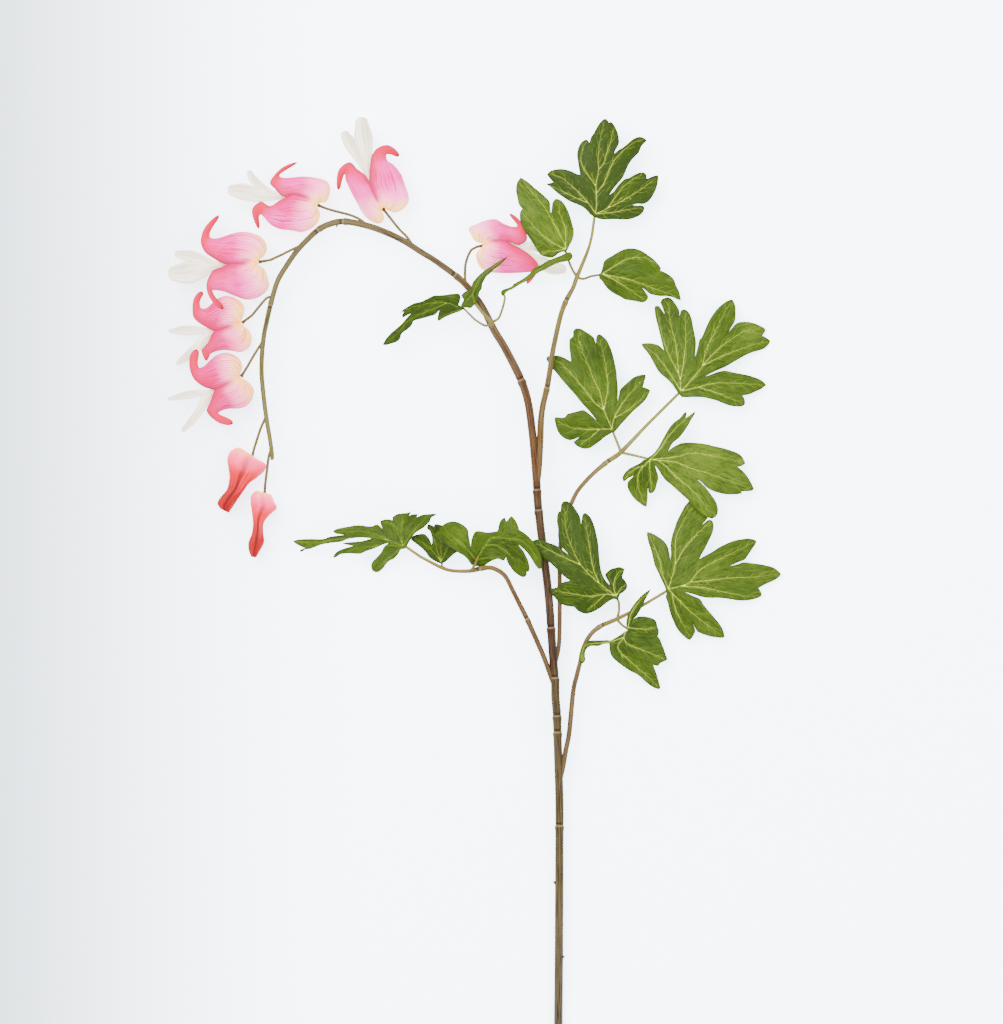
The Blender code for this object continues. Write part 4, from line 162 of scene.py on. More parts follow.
# Leaves. outline: points round the blade, starting where the stalk meets it. ribs: main veins.
# heights: how high the blade stands at some of its points, in mm. under: where the stalk runs on
# along the first vein, seat -1 below the blade or +1 on top of it.
LEAVES = {
    "leaf_top_end": {
        "outline": [
            (594.5, 217.5), (590, 214.5), (586, 210), (582, 207), (578, 205), (573, 203), (568, 200.5),
            (563, 197),
            (558, 193.5), (553, 189), (549.5, 186), (546, 184), (550, 182.8), (553.3, 182.4), (550, 178.5),
            (547, 174.5), (549, 172), (552, 170.3), (557, 169.2), (562, 169), (567, 170), (571, 171.3),
            (575, 173.3), (580, 175.2), (579.3, 171), (578.5, 166), (577.5, 160), (577, 155), (578, 149),
            (580, 144.5), (583, 141), (586, 139.8), (588, 140.7), (589.4, 143), (590.2, 139.5),
            (591.5, 136.5),
            (594, 133), (596, 129), (599, 124), (602, 120.3), (605, 118.9), (607.5, 120), (609, 122.7),
            (611, 121.5), (614, 125), (616, 128.5), (618, 134), (619, 140), (619, 143), (617.5, 147),
            (615.5, 150), (614.2, 154), (618, 150.6), (623, 147.5), (628, 143.3), (632, 139.8), (636, 137.5),
            (640, 136.6), (644, 137.8), (646.8, 140), (645, 142.5), (642, 145.5), (640, 149.5), (638.5, 153),
            (635, 156.5), (631, 161), (628, 166), (625.5, 171.5), (623, 177), (620, 181), (616, 185.8),
            (612.5, 190), (609.3, 195.2), (613.5, 191.8), (617, 187), (621, 182.4), (625, 179.2), (629, 178),
            (633, 175.5), (637, 173.5), (641, 172.2), (644.5, 172.6), (646.5, 175), (646.9, 178.6),
            (650, 177.2),
            (654, 175.5), (658, 174.8), (658.5, 177), (658, 182), (656.5, 188), (654, 193.5), (650.5, 199),
            (647, 202.3), (643, 203.8), (638, 203.6), (632.5, 204.7), (637, 205.5), (641, 205), (644, 206.3),
            (644.5, 208.5), (643, 212), (640, 215), (635, 217.5), (629, 219.3), (622, 219.6), (614, 219.4),
            (607, 219.7), (601, 219.6), (597.5, 218.5)],
        "ribs": [
            [(595.5, 214), (596.5, 200), (596, 185), (598.5, 170), (598, 160), (600, 140), (604, 123)],
            [(595.5, 214), (588, 203), (576, 190), (562, 178), (550, 173.5)],
            [(588, 203), (578, 199), (562, 191), (550, 185)],
            [(596, 187), (583, 167), (581, 155), (585, 143)],
            [(598.5, 170), (604, 163), (606, 155), (611, 140), (613, 128)],
            [(596.8, 193), (604, 183), (608, 173), (614, 161), (622, 152), (635, 142), (643, 139)],
            [(595.5, 214), (606, 209), (614, 199), (622, 188), (632, 180), (642, 174.5)],
            [(606, 209), (618, 203), (627, 198), (638, 191), (648, 184), (656, 178)],
            [(596, 214), (612, 212.5), (625, 210), (641, 207.5)]],
        "heights": [(596, 217, 17.6), (599, 165, 19), (605, 120, 14), (585, 141, 16), (644, 139, 12),
                    (625, 160, 16.5), (645, 174, 12), (657, 178, 10), (642, 208, 11), (620, 212, 15),
                    (548, 173, 13), (547, 184, 12), (575, 190, 17)],
        "under": [(595, 213), (596, 206)], "seat": -1},
    "leaf_top_left": {
        "outline": [
            (565.5, 252.4), (562, 252), (558, 254), (555, 256.5), (551, 258), (546, 257.3), (541, 255.5),
            (538, 252), (535, 247), (532, 242), (529, 238), (525.5, 232), (522.5, 227), (520.5, 222),
            (519.8, 217), (520, 213), (521, 210.5), (522.3, 209), (520.5, 207), (518.5, 203.5),
            (517.5, 198.5),
            (516.3, 193), (516, 188), (517, 183), (519, 179.5), (521, 177.5), (524.5, 179.8), (529, 183),
            (534, 187.5), (539, 191.5), (544, 196), (548, 200), (549.8, 203), (550.2, 208), (551, 214),
            (551.8, 208), (552.2, 204), (553.5, 201), (556, 199), (559, 199.7), (562, 201.5), (565, 205.5),
            (568, 211), (570.5, 218), (572.5, 225), (573.8, 231), (573.5, 236), (572, 241), (569.5, 245.5),
            (567.8, 249.5)],
        "ribs": [
            [(565.6, 249), (564, 243), (557, 230), (550, 217), (541, 203), (530, 190), (521.5, 180)],
            [(565.6, 249), (558, 246), (547, 239), (538, 231), (530, 222), (522, 212.5)],
            [(565.6, 249), (565.5, 240), (565, 228), (560, 215), (556.5, 201.5)],
            [(565.6, 249), (557, 251), (548, 251.5), (542, 253)]],
        "heights": [(566, 252, 17.0), (521, 179, 15.5), (520, 215, 16.5), (545, 215, 19.3), (556, 201, 17),
                    (572, 232, 16), (545, 255, 17), (528, 235, 17.6)],
        "under": [(565.6, 250.5), (564.3, 244)], "seat": -1},
    "leaf_top_right": {
        "outline": [
            (599.5, 274.5), (601, 272), (602.5, 267), (603.5, 262.5), (606, 259.3), (610, 257), (615, 254),
            (620, 251), (625, 249), (631, 248.2), (637, 249), (643, 251.5), (648, 255), (654, 259.5),
            (659, 265),
            (661, 268.5), (660.3, 270.4), (665, 272.5), (670, 275.5), (674, 279.5), (676, 285), (679, 291),
            (680.5, 296), (681, 300.5), (677, 299), (672, 297), (666, 296), (660, 296), (654, 295),
            (649, 293.2), (642, 287.3), (647.7, 295), (648.3, 297), (647, 300), (644, 302), (640, 302),
            (635, 301), (630, 300.2), (625, 299.3), (620, 296.5), (614, 293.5), (609, 290), (604.5, 285),
            (601.5, 280.5), (599, 278.3)],
        "ribs": [
            [(602, 274), (613, 267), (628, 259), (645, 258), (657, 265)],
            [(602, 274), (612, 276), (625, 278.5), (640, 283), (655, 289), (670, 293.5), (679, 298.5)],
            [(602, 274), (613, 279), (623, 285), (632, 291), (644, 299)]],
        "heights": [(600, 274, 16.3), (630, 249, 12.5), (658, 266, 13.5), (640, 272, 17), (680, 300, 10.5),
                    (646, 299, 12), (620, 295, 12.5), (645, 284, 15.5), (665, 283, 14.5)],
        "under": [(601, 274.8), (609, 274.8)], "seat": -1},
    "leaf_middle_end": {
        "outline": [
            (679, 394), (677, 391.5), (674, 387), (671, 383), (667, 379), (661, 374), (657, 369),
            (653, 361.5),
            (650, 356), (646, 350.5), (643, 347), (641.5, 343.8), (644, 343), (649, 342.8), (655, 343.8),
            (660, 346), (664, 350), (662.4, 344.5), (661.5, 340), (660, 334), (658, 326), (656, 318),
            (655, 312), (655, 306.5), (657, 305.5), (659.5, 306), (661.5, 308.8), (665, 314), (662.6, 307),
            (661, 303), (661.5, 300), (664, 298), (668, 297), (672, 298.7), (675, 302.5), (678, 307),
            (679.6, 310.5), (679.8, 316), (681, 310.8), (684, 309), (687, 310), (690, 313.5), (692, 319),
            (693.5, 327), (695, 335), (696, 341), (696, 346), (695.5, 351), (695, 357), (697, 350.5),
            (698.5, 344), (699.5, 340), (702, 337), (705, 330), (709, 321), (714, 313), (719, 307),
            (725, 302),
            (730, 299.5), (733, 299.3), (735, 303), (736, 308), (736, 314), (735.5, 320), (733, 325),
            (729, 331.5), (732, 328), (735, 324.5), (739, 322), (745, 321.3), (751, 321.8), (757, 323.5),
            (762, 325.8), (766, 328.5), (765.5, 331.5), (763, 335), (766, 336.5), (770, 339), (771, 341),
            (769, 344.5), (765, 348), (760, 350), (753, 352), (746, 355), (739, 359), (732, 363),
            (726, 366.5),
            (718, 370), (711, 373.2), (705, 376.6), (712, 374), (718, 371.8), (725, 370.5), (733, 372),
            (741, 373.5), (749, 375), (757, 377.5), (763, 380.5), (767, 384.5), (763, 388), (757, 391),
            (750, 394), (743, 395.5), (745, 399), (745.5, 403.5), (743, 406), (738, 406.5), (732, 406),
            (725, 404), (718, 401), (711, 399), (704, 397.5), (696, 397), (688, 397.3), (682, 397)],
        "ribs": [
            [(681, 391), (679, 375), (668, 352), (661, 330), (657, 309)],
            [(679, 375), (676, 345), (671, 325), (668, 301)],
            [(680, 383), (684, 360), (686, 335), (685, 313)],
            [(681, 391), (669, 372), (657, 356), (645, 346)],
            [(681, 391), (693, 378), (702, 366), (706, 350), (716, 330), (725, 312), (731, 302)],
            [(702, 366), (715, 352), (730, 340), (745, 331), (761, 328)],
            [(702, 366), (720, 357), (740, 349), (755, 344), (768, 341)],
            [(681, 391), (698, 387), (715, 383), (735, 383), (763, 384.5)],
            [(698, 387), (715, 392), (730, 398), (742, 402.5)]],
        "heights": [(680, 393, 12.6), (642, 344, 9), (657, 308, 8), (668, 298, 7), (685, 310, 8),
                    (733, 300, 6), (765, 328, 2.6), (770.5, 341, 0.45), (766, 384, 3), (744, 404, 7),
                    (700, 365, 13.5), (675, 345, 11)],
        "under": [(679.3, 392.8), (685.5, 386)], "seat": -1},
    "leaf_middle_left": {
        "outline": [
            (612, 432.6), (610, 434), (605, 437), (599, 442), (594, 445.5), (590, 448), (585, 448.8),
            (580, 447.5), (576, 445), (573.3, 442), (579.5, 437), (573, 439.6), (569, 440), (564, 438),
            (560, 434.5), (557, 429.5), (555.5, 424), (554.5, 419), (556, 417), (560, 417.5), (564, 417.3),
            (566, 416), (567, 414), (572, 412.5), (578, 411), (583, 409.8), (587, 412), (592, 416),
            (597, 420.7),
            (590.5, 412.5), (584.5, 406), (580, 401), (575, 394.5), (569, 388), (562, 380), (556, 372.5),
            (551, 367), (547.5, 361.5), (546.3, 358.5), (547.5, 356.5), (550, 355.5), (555, 355.3),
            (560, 356),
            (565, 358), (571, 361.5), (570.3, 355), (569.5, 348), (569.3, 342), (570, 338.5), (573, 336),
            (573, 332), (574.5, 329), (578, 328), (582, 329), (586, 331.5), (590, 334), (594, 337.5),
            (596, 343.5), (596.3, 337.5), (598, 334.2), (600, 334), (603, 335.8), (607, 340), (610, 346),
            (612.5, 353), (614.5, 361), (616.5, 371), (617.3, 380), (618, 389), (617.6, 401), (619, 395),
            (620, 390), (624, 385.5), (629, 381), (634, 377), (640, 374.8), (645.5, 374.3), (646, 376),
            (644.5, 382), (643, 387), (647, 388), (650.5, 390), (649, 394), (645.5, 400), (640, 405.5),
            (633, 411.5), (627, 418), (621, 424.5), (617, 429.5), (614.5, 432)],
        "ribs": [
            [(612, 429), (604, 410), (600, 393), (594, 380), (588, 365), (580, 345), (577.5, 332)],
            [(604, 410), (606, 398), (608, 385), (605, 362), (600, 340)],
            [(604, 410), (595, 403), (585, 390), (575, 378), (562, 364), (550, 358.5)],
            [(612, 429), (600, 429), (585, 429), (570, 427), (558, 421)],
            [(600, 429), (591, 437), (581, 443.5)],
            [(612, 429), (614, 418), (622, 404), (632, 391), (643, 378)],
            [(614, 418), (628, 410), (640, 400), (648, 391.5)]],
        "heights": [(613, 431, 12.8), (577, 329, 8), (600, 335, 8), (547, 358, 11.5), (557, 366, 12),
                    (585, 380, 13.5), (645, 375, 9), (650, 390, 9), (555, 420, 10), (585, 447, 9),
                    (612, 380, 11)],
        "under": [(612.5, 431), (608.5, 421)], "seat": -1},
    "leaf_middle_low": {
        "outline": [
            (647, 459.5), (643.5, 459.8), (640, 463), (635, 465.5), (630, 468), (626, 471.5), (623.5, 475),
            (622.5, 478), (623.5, 481.5), (626, 480.5), (629, 478), (634, 475.5), (630, 479.5), (628, 482),
            (627.5, 486), (629, 490.5), (632, 495.5), (636, 500), (641, 504), (645, 506.5), (647, 506),
            (647.5, 502), (648, 497), (648, 487.5), (649, 492.5), (651, 493.3), (654, 492), (656, 488.5),
            (657, 484), (658.5, 479), (658, 474.5), (656.5, 470), (655.3, 465.5), (659, 470.5), (662, 475.5),
            (666, 480.5), (671, 484.5), (677, 490), (682, 494.5), (688, 500), (692, 505), (697, 510),
            (703, 515), (708, 517.5), (712, 518.5), (716, 516.5), (718, 512), (717.5, 506), (715, 500),
            (711, 494.5), (707, 489), (702, 483.8), (697, 479.3), (701.5, 482.4), (706, 487), (712, 490.5),
            (719, 493), (726, 494.3), (733, 494.5), (740, 494), (742, 493.5), (742, 491.5), (747, 491.3),
            (752, 490.8), (754.3, 488.5), (752, 483.5), (749, 478), (746, 474), (742, 470), (738, 466.8),
            (742, 466), (745.8, 463.5), (744, 459), (741, 455), (737, 452.5), (730, 450), (722, 447.8),
            (714, 446), (706, 444), (698, 443), (690, 442.5), (682, 443), (676, 445.5), (671, 448.5),
            (668.3, 451), (671, 446), (674, 442), (679, 438), (684, 432), (688, 426), (692, 419), (695, 414),
            (695.8, 411.8), (694, 412), (690, 415), (685.5, 418), (687, 415), (686.5, 411.8), (684, 413),
            (680, 418), (675, 421.5), (670, 427), (665, 435), (661, 442.5), (657, 449), (653, 454),
            (648, 457.3)],
        "ribs": [
            [(650, 459.5), (660, 449), (668, 437), (680, 424), (693, 414)],
            [(650, 459.5), (675, 457), (693, 453), (710, 455.5), (730, 459), (743, 462.5)],
            [(650, 459.5), (675, 462), (690, 468), (710, 474), (730, 481), (751, 488)],
            [(658, 460.3), (667, 467), (678, 478), (690, 488), (700, 499), (711, 514)],
            [(650, 459.5), (640, 471), (638, 485), (644.5, 503)],
            [(650, 459.5), (650, 470), (652, 490)],
            [(645.5, 465), (635, 469), (625, 478)]],
        "heights": [(649, 459, 12.7), (695, 413, 9), (684, 416, 9), (745, 463, 8), (753, 488, 6),
                    (690, 455, 14), (720, 470, 12.5), (713, 517, 12.5), (690, 492, 14), (645, 505, 6),
                    (652, 492, 8), (624, 480, 8)],
        "under": [(648.5, 459), (658, 460.3)], "seat": -1},
    "leaf_lower_end": {
        "outline": [
            (667, 592.5), (665.5, 589), (664, 585), (661, 579), (658, 572), (655, 566), (653, 558),
            (651, 550),
            (648.5, 542), (647, 535), (647.5, 532), (650, 532.3), (655, 534.5), (661, 538.5), (665, 542),
            (668, 547), (669.5, 553), (670.6, 560), (671, 553), (670.7, 546), (671.5, 539), (674, 530),
            (677, 521.5), (681, 513.5), (685, 506), (689, 501.5), (694, 498), (700, 497), (706, 500.5),
            (709, 507), (709.5, 513), (708, 518), (702, 525), (708, 520.3), (711, 519.8), (713, 521.5),
            (714, 526), (713, 532), (710, 539), (706, 547), (702, 554), (699.5, 559), (705, 555.8),
            (712, 552), (719, 547.5), (727, 543.5), (735, 540.5), (743, 539), (750, 538.5), (755, 539.8),
            (757.3, 541.8), (755, 546), (752, 550), (748, 556), (744.5, 560), (738, 562.6), (730, 566.2),
            (738, 564.2), (744, 562.3), (751, 563), (759, 564), (767, 565.5), (774, 567.5), (779, 571),
            (782, 574.3), (779, 578), (773, 581.5), (766, 584.5), (759, 588.3), (761, 591), (762.5, 595),
            (759, 598), (752, 600), (745, 600.8), (737, 600.5), (728, 599), (719, 598), (710, 598),
            (702, 597),
            (695, 594.8), (685, 592), (693, 595.8), (700, 599), (704, 605), (709, 611), (715, 618),
            (720, 624),
            (723.5, 630), (725, 636), (724, 638), (719, 638), (712, 637), (705, 635), (700, 633), (697, 631),
            (692, 621), (694.8, 627.5), (695.5, 632), (693, 637), (690.5, 640.5), (687, 639), (682, 634.5),
            (677, 628.5), (673, 620), (670, 612), (668, 604), (666, 598), (666, 595)],
        "ribs": [
            [(668.5, 589), (672, 577), (675, 565), (675.5, 550), (677, 535), (689, 512), (699, 500)],
            [(675, 565), (680, 556), (686, 546), (696, 535), (704, 528), (711, 522)],
            [(668.5, 589), (680, 586), (690, 582), (700, 570), (718, 560), (735, 552), (754, 542.5)],
            [(690, 582), (712, 580), (730, 578), (755, 577), (779, 574)],
            [(680, 586), (698, 587), (706, 588), (724, 592), (745, 596), (759, 595.5)],
            [(668.5, 589), (677, 598), (690, 611), (705, 623), (721, 635)],
            [(672, 594), (676, 610), (682, 622), (690, 637)],
            [(668.5, 589), (663, 575), (659, 558), (650, 536)]],
        "heights": [(667, 591, 12.2), (648, 533, 8), (693, 510, 8.2), (705, 500, 7.6), (712, 521, 7.8),
                    (756, 541, 5), (782, 574.3, 2.0), (761, 595, 3.2), (724, 637, 5), (690, 639, 7),
                    (700, 570, 13.5), (730, 577, 10), (690, 610, 11)],
        "under": [(666.5, 591.3), (675, 587.3)], "seat": -1},
    "leaf_lower_left": {
        "outline": [
            (617.5, 600), (614, 599), (610, 600.5), (605, 604), (600, 608), (595, 611), (590, 613),
            (586, 613.8), (581, 612.5), (577, 610), (574, 607), (570, 606.5), (565, 605.5), (560, 603),
            (556, 599), (552, 594.5), (550.3, 591), (550, 588.5), (554, 588), (557, 587), (558, 585),
            (562, 582.5), (566, 581.3), (570, 580.6), (565, 577), (559, 571.5), (554, 566.5), (549, 562),
            (543, 558.5), (538, 553.5), (533.5, 547), (531.5, 541.5), (536, 539.5), (542, 540), (548, 542.5),
            (554, 544.5), (559, 547), (563, 550.3), (568.5, 554.5), (563, 548.5), (560, 543.5), (558, 537),
            (558, 529), (556.8, 521), (557.5, 514), (559, 511.5), (560.5, 511), (561, 505), (563, 502),
            (566, 501), (570, 503), (574, 507), (577, 511.5), (580, 517), (581, 524), (581.8, 517.5),
            (583, 514), (585.5, 513), (589, 515.5), (592, 520), (594.5, 527), (596.5, 535), (598, 543),
            (598.8, 552), (599.5, 560), (600.5, 568), (602.5, 575), (606, 581), (610, 585), (607, 579),
            (605, 575), (607, 572), (611, 569), (616, 567.5), (620, 567), (624.8, 569), (623.5, 573),
            (622.5, 577.5), (625, 580.5), (627.3, 585), (626.5, 589), (623.5, 592), (620, 594.5),
            (618.8, 597.5)],
        "ribs": [
            [(616, 596), (605, 588), (592, 577), (581, 565), (573, 550), (566, 530), (564.5, 506)],
            [(599, 583), (593, 568), (589, 545), (585, 518)],
            [(581, 565), (570, 560), (555, 553), (536, 543)],
            [(616, 596), (605, 594), (590, 596), (575, 594), (554, 590)],
            [(605, 594), (598, 601), (588, 610)],
            [(616, 596), (613.5, 587), (615, 578), (621, 569.5)],
            [(616, 596), (621, 588), (625.5, 585.5)]],
        "heights": [(617, 598, 14.8), (565, 502, 17), (585, 514, 16.5), (598, 545, 18), (575, 550, 19),
                    (531, 541, 17.5), (545, 552, 17.9), (551, 590, 17), (585, 613, 12.5), (575, 595, 17),
                    (622, 568, 12), (626, 585, 12.5), (600, 580, 18)],
        "under": [(617.5, 598.3), (612.5, 593)], "seat": -1},
    "leaf_lower_right": {
        "outline": [
            (627.5, 630.5), (625, 631.5), (620, 635), (615, 638), (611, 640.3), (607, 640), (600, 640.3),
            (592, 640.3), (587.5, 641.5), (584, 645), (581, 648), (580, 651.5), (578.7, 656), (579.3, 659.5),
            (581, 663), (583.5, 662.8), (585.5, 660), (585, 656), (585.5, 651), (588, 647.5), (592, 645.9),
            (598, 646), (604, 644), (609, 643.5), (609.3, 646), (609.5, 650), (611, 655), (613, 658),
            (618, 662.5), (624, 667), (630, 671), (636, 674), (641, 677.5), (645, 681.5), (650, 685.5),
            (655, 688.5), (659, 689.5), (660.7, 688), (659.5, 683), (657.5, 676), (655, 669), (653.5, 665.3),
            (658, 666), (661, 663), (665, 661.5), (667.5, 659.5), (666.5, 656), (664.5, 650), (662, 644),
            (660, 639), (658, 636.5), (658.8, 634), (659, 631), (657.5, 626), (656, 621), (653, 618.5),
            (648, 617), (642, 616.3), (637, 617), (632.5, 619.5), (636.5, 615.8), (639.5, 611), (642.5, 606),
            (645, 600), (648, 594.5), (651, 589), (645, 592.5), (639, 598), (634, 604), (629.5, 611),
            (627, 618), (626.3, 625)],
        "ribs": [
            [(627.8, 627.5), (624, 637), (628, 644), (640, 649), (655, 655), (665, 659)],
            [(624, 637), (618, 648), (630, 661), (645, 674), (658, 687)],
            [(627.8, 627.5), (640, 629), (650, 629), (657, 627)],
            [(627.8, 627.5), (631, 613), (639, 601), (649, 591)],
            [(624, 637), (610, 641.8), (598, 643), (586, 644.5), (582, 652), (582, 661)]],
        "heights": [(627, 629, 13.6), (642, 618, 11.5), (657, 630, 10), (666, 659, 8), (659, 688, 6),
                    (635, 665, 10), (611, 650, 13.5), (610, 641, 15), (597, 643, 15.7), (587, 645, 15.6),
                    (582, 660, 14.6), (651, 590, 18), (640, 600, 17), (632, 613, 15.2), (640, 645, 13)],
        "under": [(628, 629.2), (636, 631)], "seat": -1},
    "leaf_arch_end": {
        "outline": [
            (474.5, 305), (470.5, 308.5), (465.5, 307.8), (460, 309), (461.5, 304.5), (463.5, 300),
            (461.5, 296),
            (464, 292.8), (467.5, 291), (470.8, 289), (471.5, 286.5), (472.5, 283.5), (475, 280),
            (479, 275.6),
            (484.3, 271.2), (491, 267), (496.6, 263.3), (501.4, 260.3), (508.5, 256.2), (503.7, 261.9),
            (498.6, 266.6), (494.2, 269.8), (490.2, 274), (486.6, 277), (484, 281.5), (482.3, 284.5),
            (482.3, 287), (481.5, 290), (479.8, 292), (479, 295), (478, 298.5), (477, 302.5)],
        "ribs": [
            [(474.8, 303), (473, 294), (476.5, 285), (482.5, 275.5), (492, 268.3), (503.5, 260.3)],
            [(473, 294), (468, 300), (464.5, 305)]],
        "heights": [(475.5, 304, 20.9), (462, 307, 21.4), (463, 295, 21.4), (476, 288, 22.5),
                    (481, 290, 23.2),
                    (474, 282, 22.2), (480, 277, 23.5), (492, 268, 23.6), (508, 257, 22)],
        "under": [(475, 304), (473.8, 299)], "seat": -1},
    "leaf_arch_left": {
        "outline": [
            (464.5, 308.8), (460, 311.5), (455, 313.3), (448, 316), (443, 318.5), (439.4, 321),
            (437.5, 319.5),
            (438, 315.5), (439.5, 310.5), (435, 314.8), (429.7, 316.5), (421.5, 318.8), (414, 321),
            (412, 325),
            (408, 329), (402, 333.5), (400, 338.5), (397, 341.5), (392, 343.3), (386, 345), (382.5, 344.5),
            (386, 338.5), (391, 333), (397, 328), (402, 323.5), (406, 318.8), (411, 313.6), (406, 316),
            (403, 318), (402, 315.5), (404, 311.6), (399.6, 313.5), (403, 310), (408, 306.8), (414.6, 303.5),
            (421.5, 302), (427, 299.3), (433.8, 296.2), (439.2, 295.8), (446, 295.2), (453, 294.2),
            (459, 294.2), (460.5, 297), (460, 301), (458.5, 305)],
        "ribs": [
            [(462, 309.5), (450, 313.5), (440, 319)],
            [(457.5, 307), (447, 303), (432, 303), (418, 306), (404.5, 310)],
            [(447, 303), (435, 308.5), (420, 314), (409, 320), (398, 332), (386, 343.5)]],
        "heights": [(464, 308.5, 18.8), (459, 303, 19.4), (453, 297, 22.0), (440, 296, 23), (415, 303, 21),
                    (401, 312, 17),
                    (404, 317, 16), (439, 320, 15.5), (430, 315, 17), (412, 320, 15.5), (400, 330, 14.5),
                    (384, 344, 11), (392, 342, 12), (445, 305, 21)],
        "under": [(464, 309.3), (459, 307.6)], "seat": -1},
    "leaf_arch_right": {
        "outline": [
            (503.5, 296), (501.4, 295.4), (501, 291.9), (503.5, 289.9), (508.3, 288.3), (511.7, 286.8),
            (514.4, 284), (519.9, 281), (525.3, 277.6), (530.8, 273), (533.5, 269.2), (541.7, 265),
            (547.2, 261.6), (554, 258.8), (560.9, 256), (566.3, 253.5), (570.4, 253), (572.5, 256.4),
            (570.4, 260.2), (563.6, 262.2), (558.1, 263.3), (551.3, 266.3), (544.5, 270.1), (539, 272.6),
            (534.2, 276.3), (528.1, 280.8), (522.6, 283.3), (517.1, 286.5), (511.7, 289.8), (508.3, 291.2),
            (506.2, 293)],
        "ribs": [
            [(504.5, 293), (508.5, 289.8), (516, 285.2), (527, 279), (534.5, 272.8), (546, 265.8),
             (558, 259.8),
             (569, 256.5)]],
        "heights": [(504, 294.5, 19.6), (503, 290.5, 21), (520, 283, 21), (541, 265.5, 23.5),
                    (541, 271.5, 20.5),
                    (560, 256.5, 23), (560, 262.5, 20.5), (571, 256, 21.5), (527, 281, 20.5)],
        "under": [(504, 294.5), (507.5, 290.3)], "seat": -1},
    "leaf_far_left": {
        "outline": [
            (404.5, 549), (401, 549.5), (398, 554), (394, 558.5), (389, 561), (386, 564), (383, 568),
            (379, 571.5), (376, 572.5), (372.5, 571), (371, 567.5), (371, 564.5), (373, 561), (377, 557),
            (381, 552.5), (384, 547), (389, 542.8), (383, 544.5), (378, 546.8), (372, 549.2), (366, 551.2),
            (360, 553.8), (353, 553.5), (345, 553.5), (340, 554.5), (337, 556.5), (334, 557.8),
            (332.8, 556.5),
            (336, 552.5), (340, 550), (346, 548), (353.5, 545.6), (348, 544.9), (342, 543.4), (348, 542.4),
            (356, 541.8), (364, 540.7), (372, 538.4), (363, 537.4), (355, 537.8), (348, 538.9), (343, 541),
            (340, 541.8), (334, 542.5), (327, 543.5), (320, 545), (315, 547), (310, 548.8), (305, 549.6),
            (302, 551.5), (299.3, 551.7), (300.5, 549.7), (305, 548.2), (301, 546.5), (297, 544.5),
            (293, 541.3), (296, 540), (302, 539.3), (310, 539), (318, 539.2), (324, 538.8), (329, 537),
            (335, 536), (345, 534.8), (341, 534.2), (336, 533.5), (333, 531), (337, 529), (343, 527.5),
            (350, 526.3), (356, 525.3), (362, 525.3), (368, 526.3), (373, 526), (376, 524.7), (379, 525.2),
            (383, 529), (381, 524.5), (380.5, 521), (384, 519.7), (389, 519.3), (393, 520.3), (392.7, 517.5),
            (395, 515.5), (398, 514), (403, 513.3), (408, 512.8), (411.7, 511.5), (409.2, 515.6),
            (413, 514.3), (418, 514.1), (417, 517.3), (422, 515), (428, 514.2), (434, 513.8), (437, 514.3),
            (433, 516.5), (431, 518.5), (430, 521.5), (427, 524.5), (423, 528), (418, 531), (414, 534.5),
            (411, 539), (408, 544)],
        "ribs": [
            [(403, 545.5), (390, 540.5), (378, 535), (360, 531), (338, 531)],
            [(390, 540.5), (372, 537), (358, 539.7)],
            [(352, 537.9), (335, 539.5), (318, 542.5), (297, 541.5)],
            [(400, 546), (388, 545.3), (370, 546.3), (353, 549.5), (336, 556)],
            [(402.5, 547.5), (391, 556), (376, 569)],
            [(403, 545.5), (398, 533), (393, 524), (384, 521.5)],
            [(403, 545.5), (401, 530), (404, 516)],
            [(403, 545.5), (413, 531), (425, 520), (433, 515.3)]],
        "heights": [(404, 548, 13.2), (434, 514.5, 27), (412, 512, 28.5), (383, 520, 26), (335, 531, 20),
                    (293, 541, 12), (300, 550, 9), (335, 557, 8.5), (375, 571, 4.5), (395, 556, 9.5),
                    (370, 538, 18)],
        "under": [(405.5, 547.5), (400.5, 545)], "seat": -1},
    "leaf_left_dark": {
        "outline": [
            (441.5, 563.8), (437.3, 562.3), (433, 560), (429, 557), (426, 552.5), (421, 547.5), (416, 543.5),
            (411.5, 540), (411.5, 537.5), (414, 535.5), (418, 534.3), (424, 533.8), (427.5, 536.5),
            (430, 540), (431.8, 545), (432.3, 540), (431.5, 535), (430, 531), (427.3, 528.7), (427.3, 526),
            (428.5, 524), (431.5, 525), (434, 526.5), (435, 524), (438.5, 524.3), (442, 525.5), (447, 529),
            (452, 536), (456, 544), (458, 550.5), (454, 554), (450, 557.5), (446, 561.5)],
        "ribs": [
            [(441, 562), (435, 553.5), (425, 544), (414, 537.5)],
            [(441, 562), (436.5, 548), (433.3, 535), (430, 526)],
            [(441, 562), (441, 545), (439.5, 527)],
            [(441, 562), (446, 551), (450.5, 539)]],
        "heights": [(442, 563, 13.6), (412, 539, 13.4), (428, 525, 19.5), (440, 525, 20), (452, 537, 18.5),
                    (457, 550, 16.5), (433, 550, 16)],
        "under": [(441.6, 562.5), (440.8, 557.5)], "seat": -1},
    "leaf_left_fold": {
        "outline": [
            (471, 564.5), (474.5, 566), (480, 566), (485, 565), (489, 562.3), (493, 560.3), (498, 558.8),
            (502, 560.2), (504.5, 560.2), (505.8, 557), (507.5, 562), (510.5, 567), (514, 571.5),
            (518, 574.7),
            (522, 577), (525, 576.8), (526.5, 574.8), (526.8, 571.5), (529, 571), (529.5, 567), (528.3, 561),
            (525.8, 555.5), (523, 550.3), (518, 544.3), (522.5, 548), (527, 552.6), (531, 558), (534.5, 564),
            (537.5, 567.8), (540, 569.3), (541.8, 567), (542, 562), (541.3, 556.5), (539, 550), (535, 543.5),
            (531, 539), (527, 535), (523, 532), (519.4, 529.8), (518.3, 526.5), (516.5, 522), (514, 518.3),
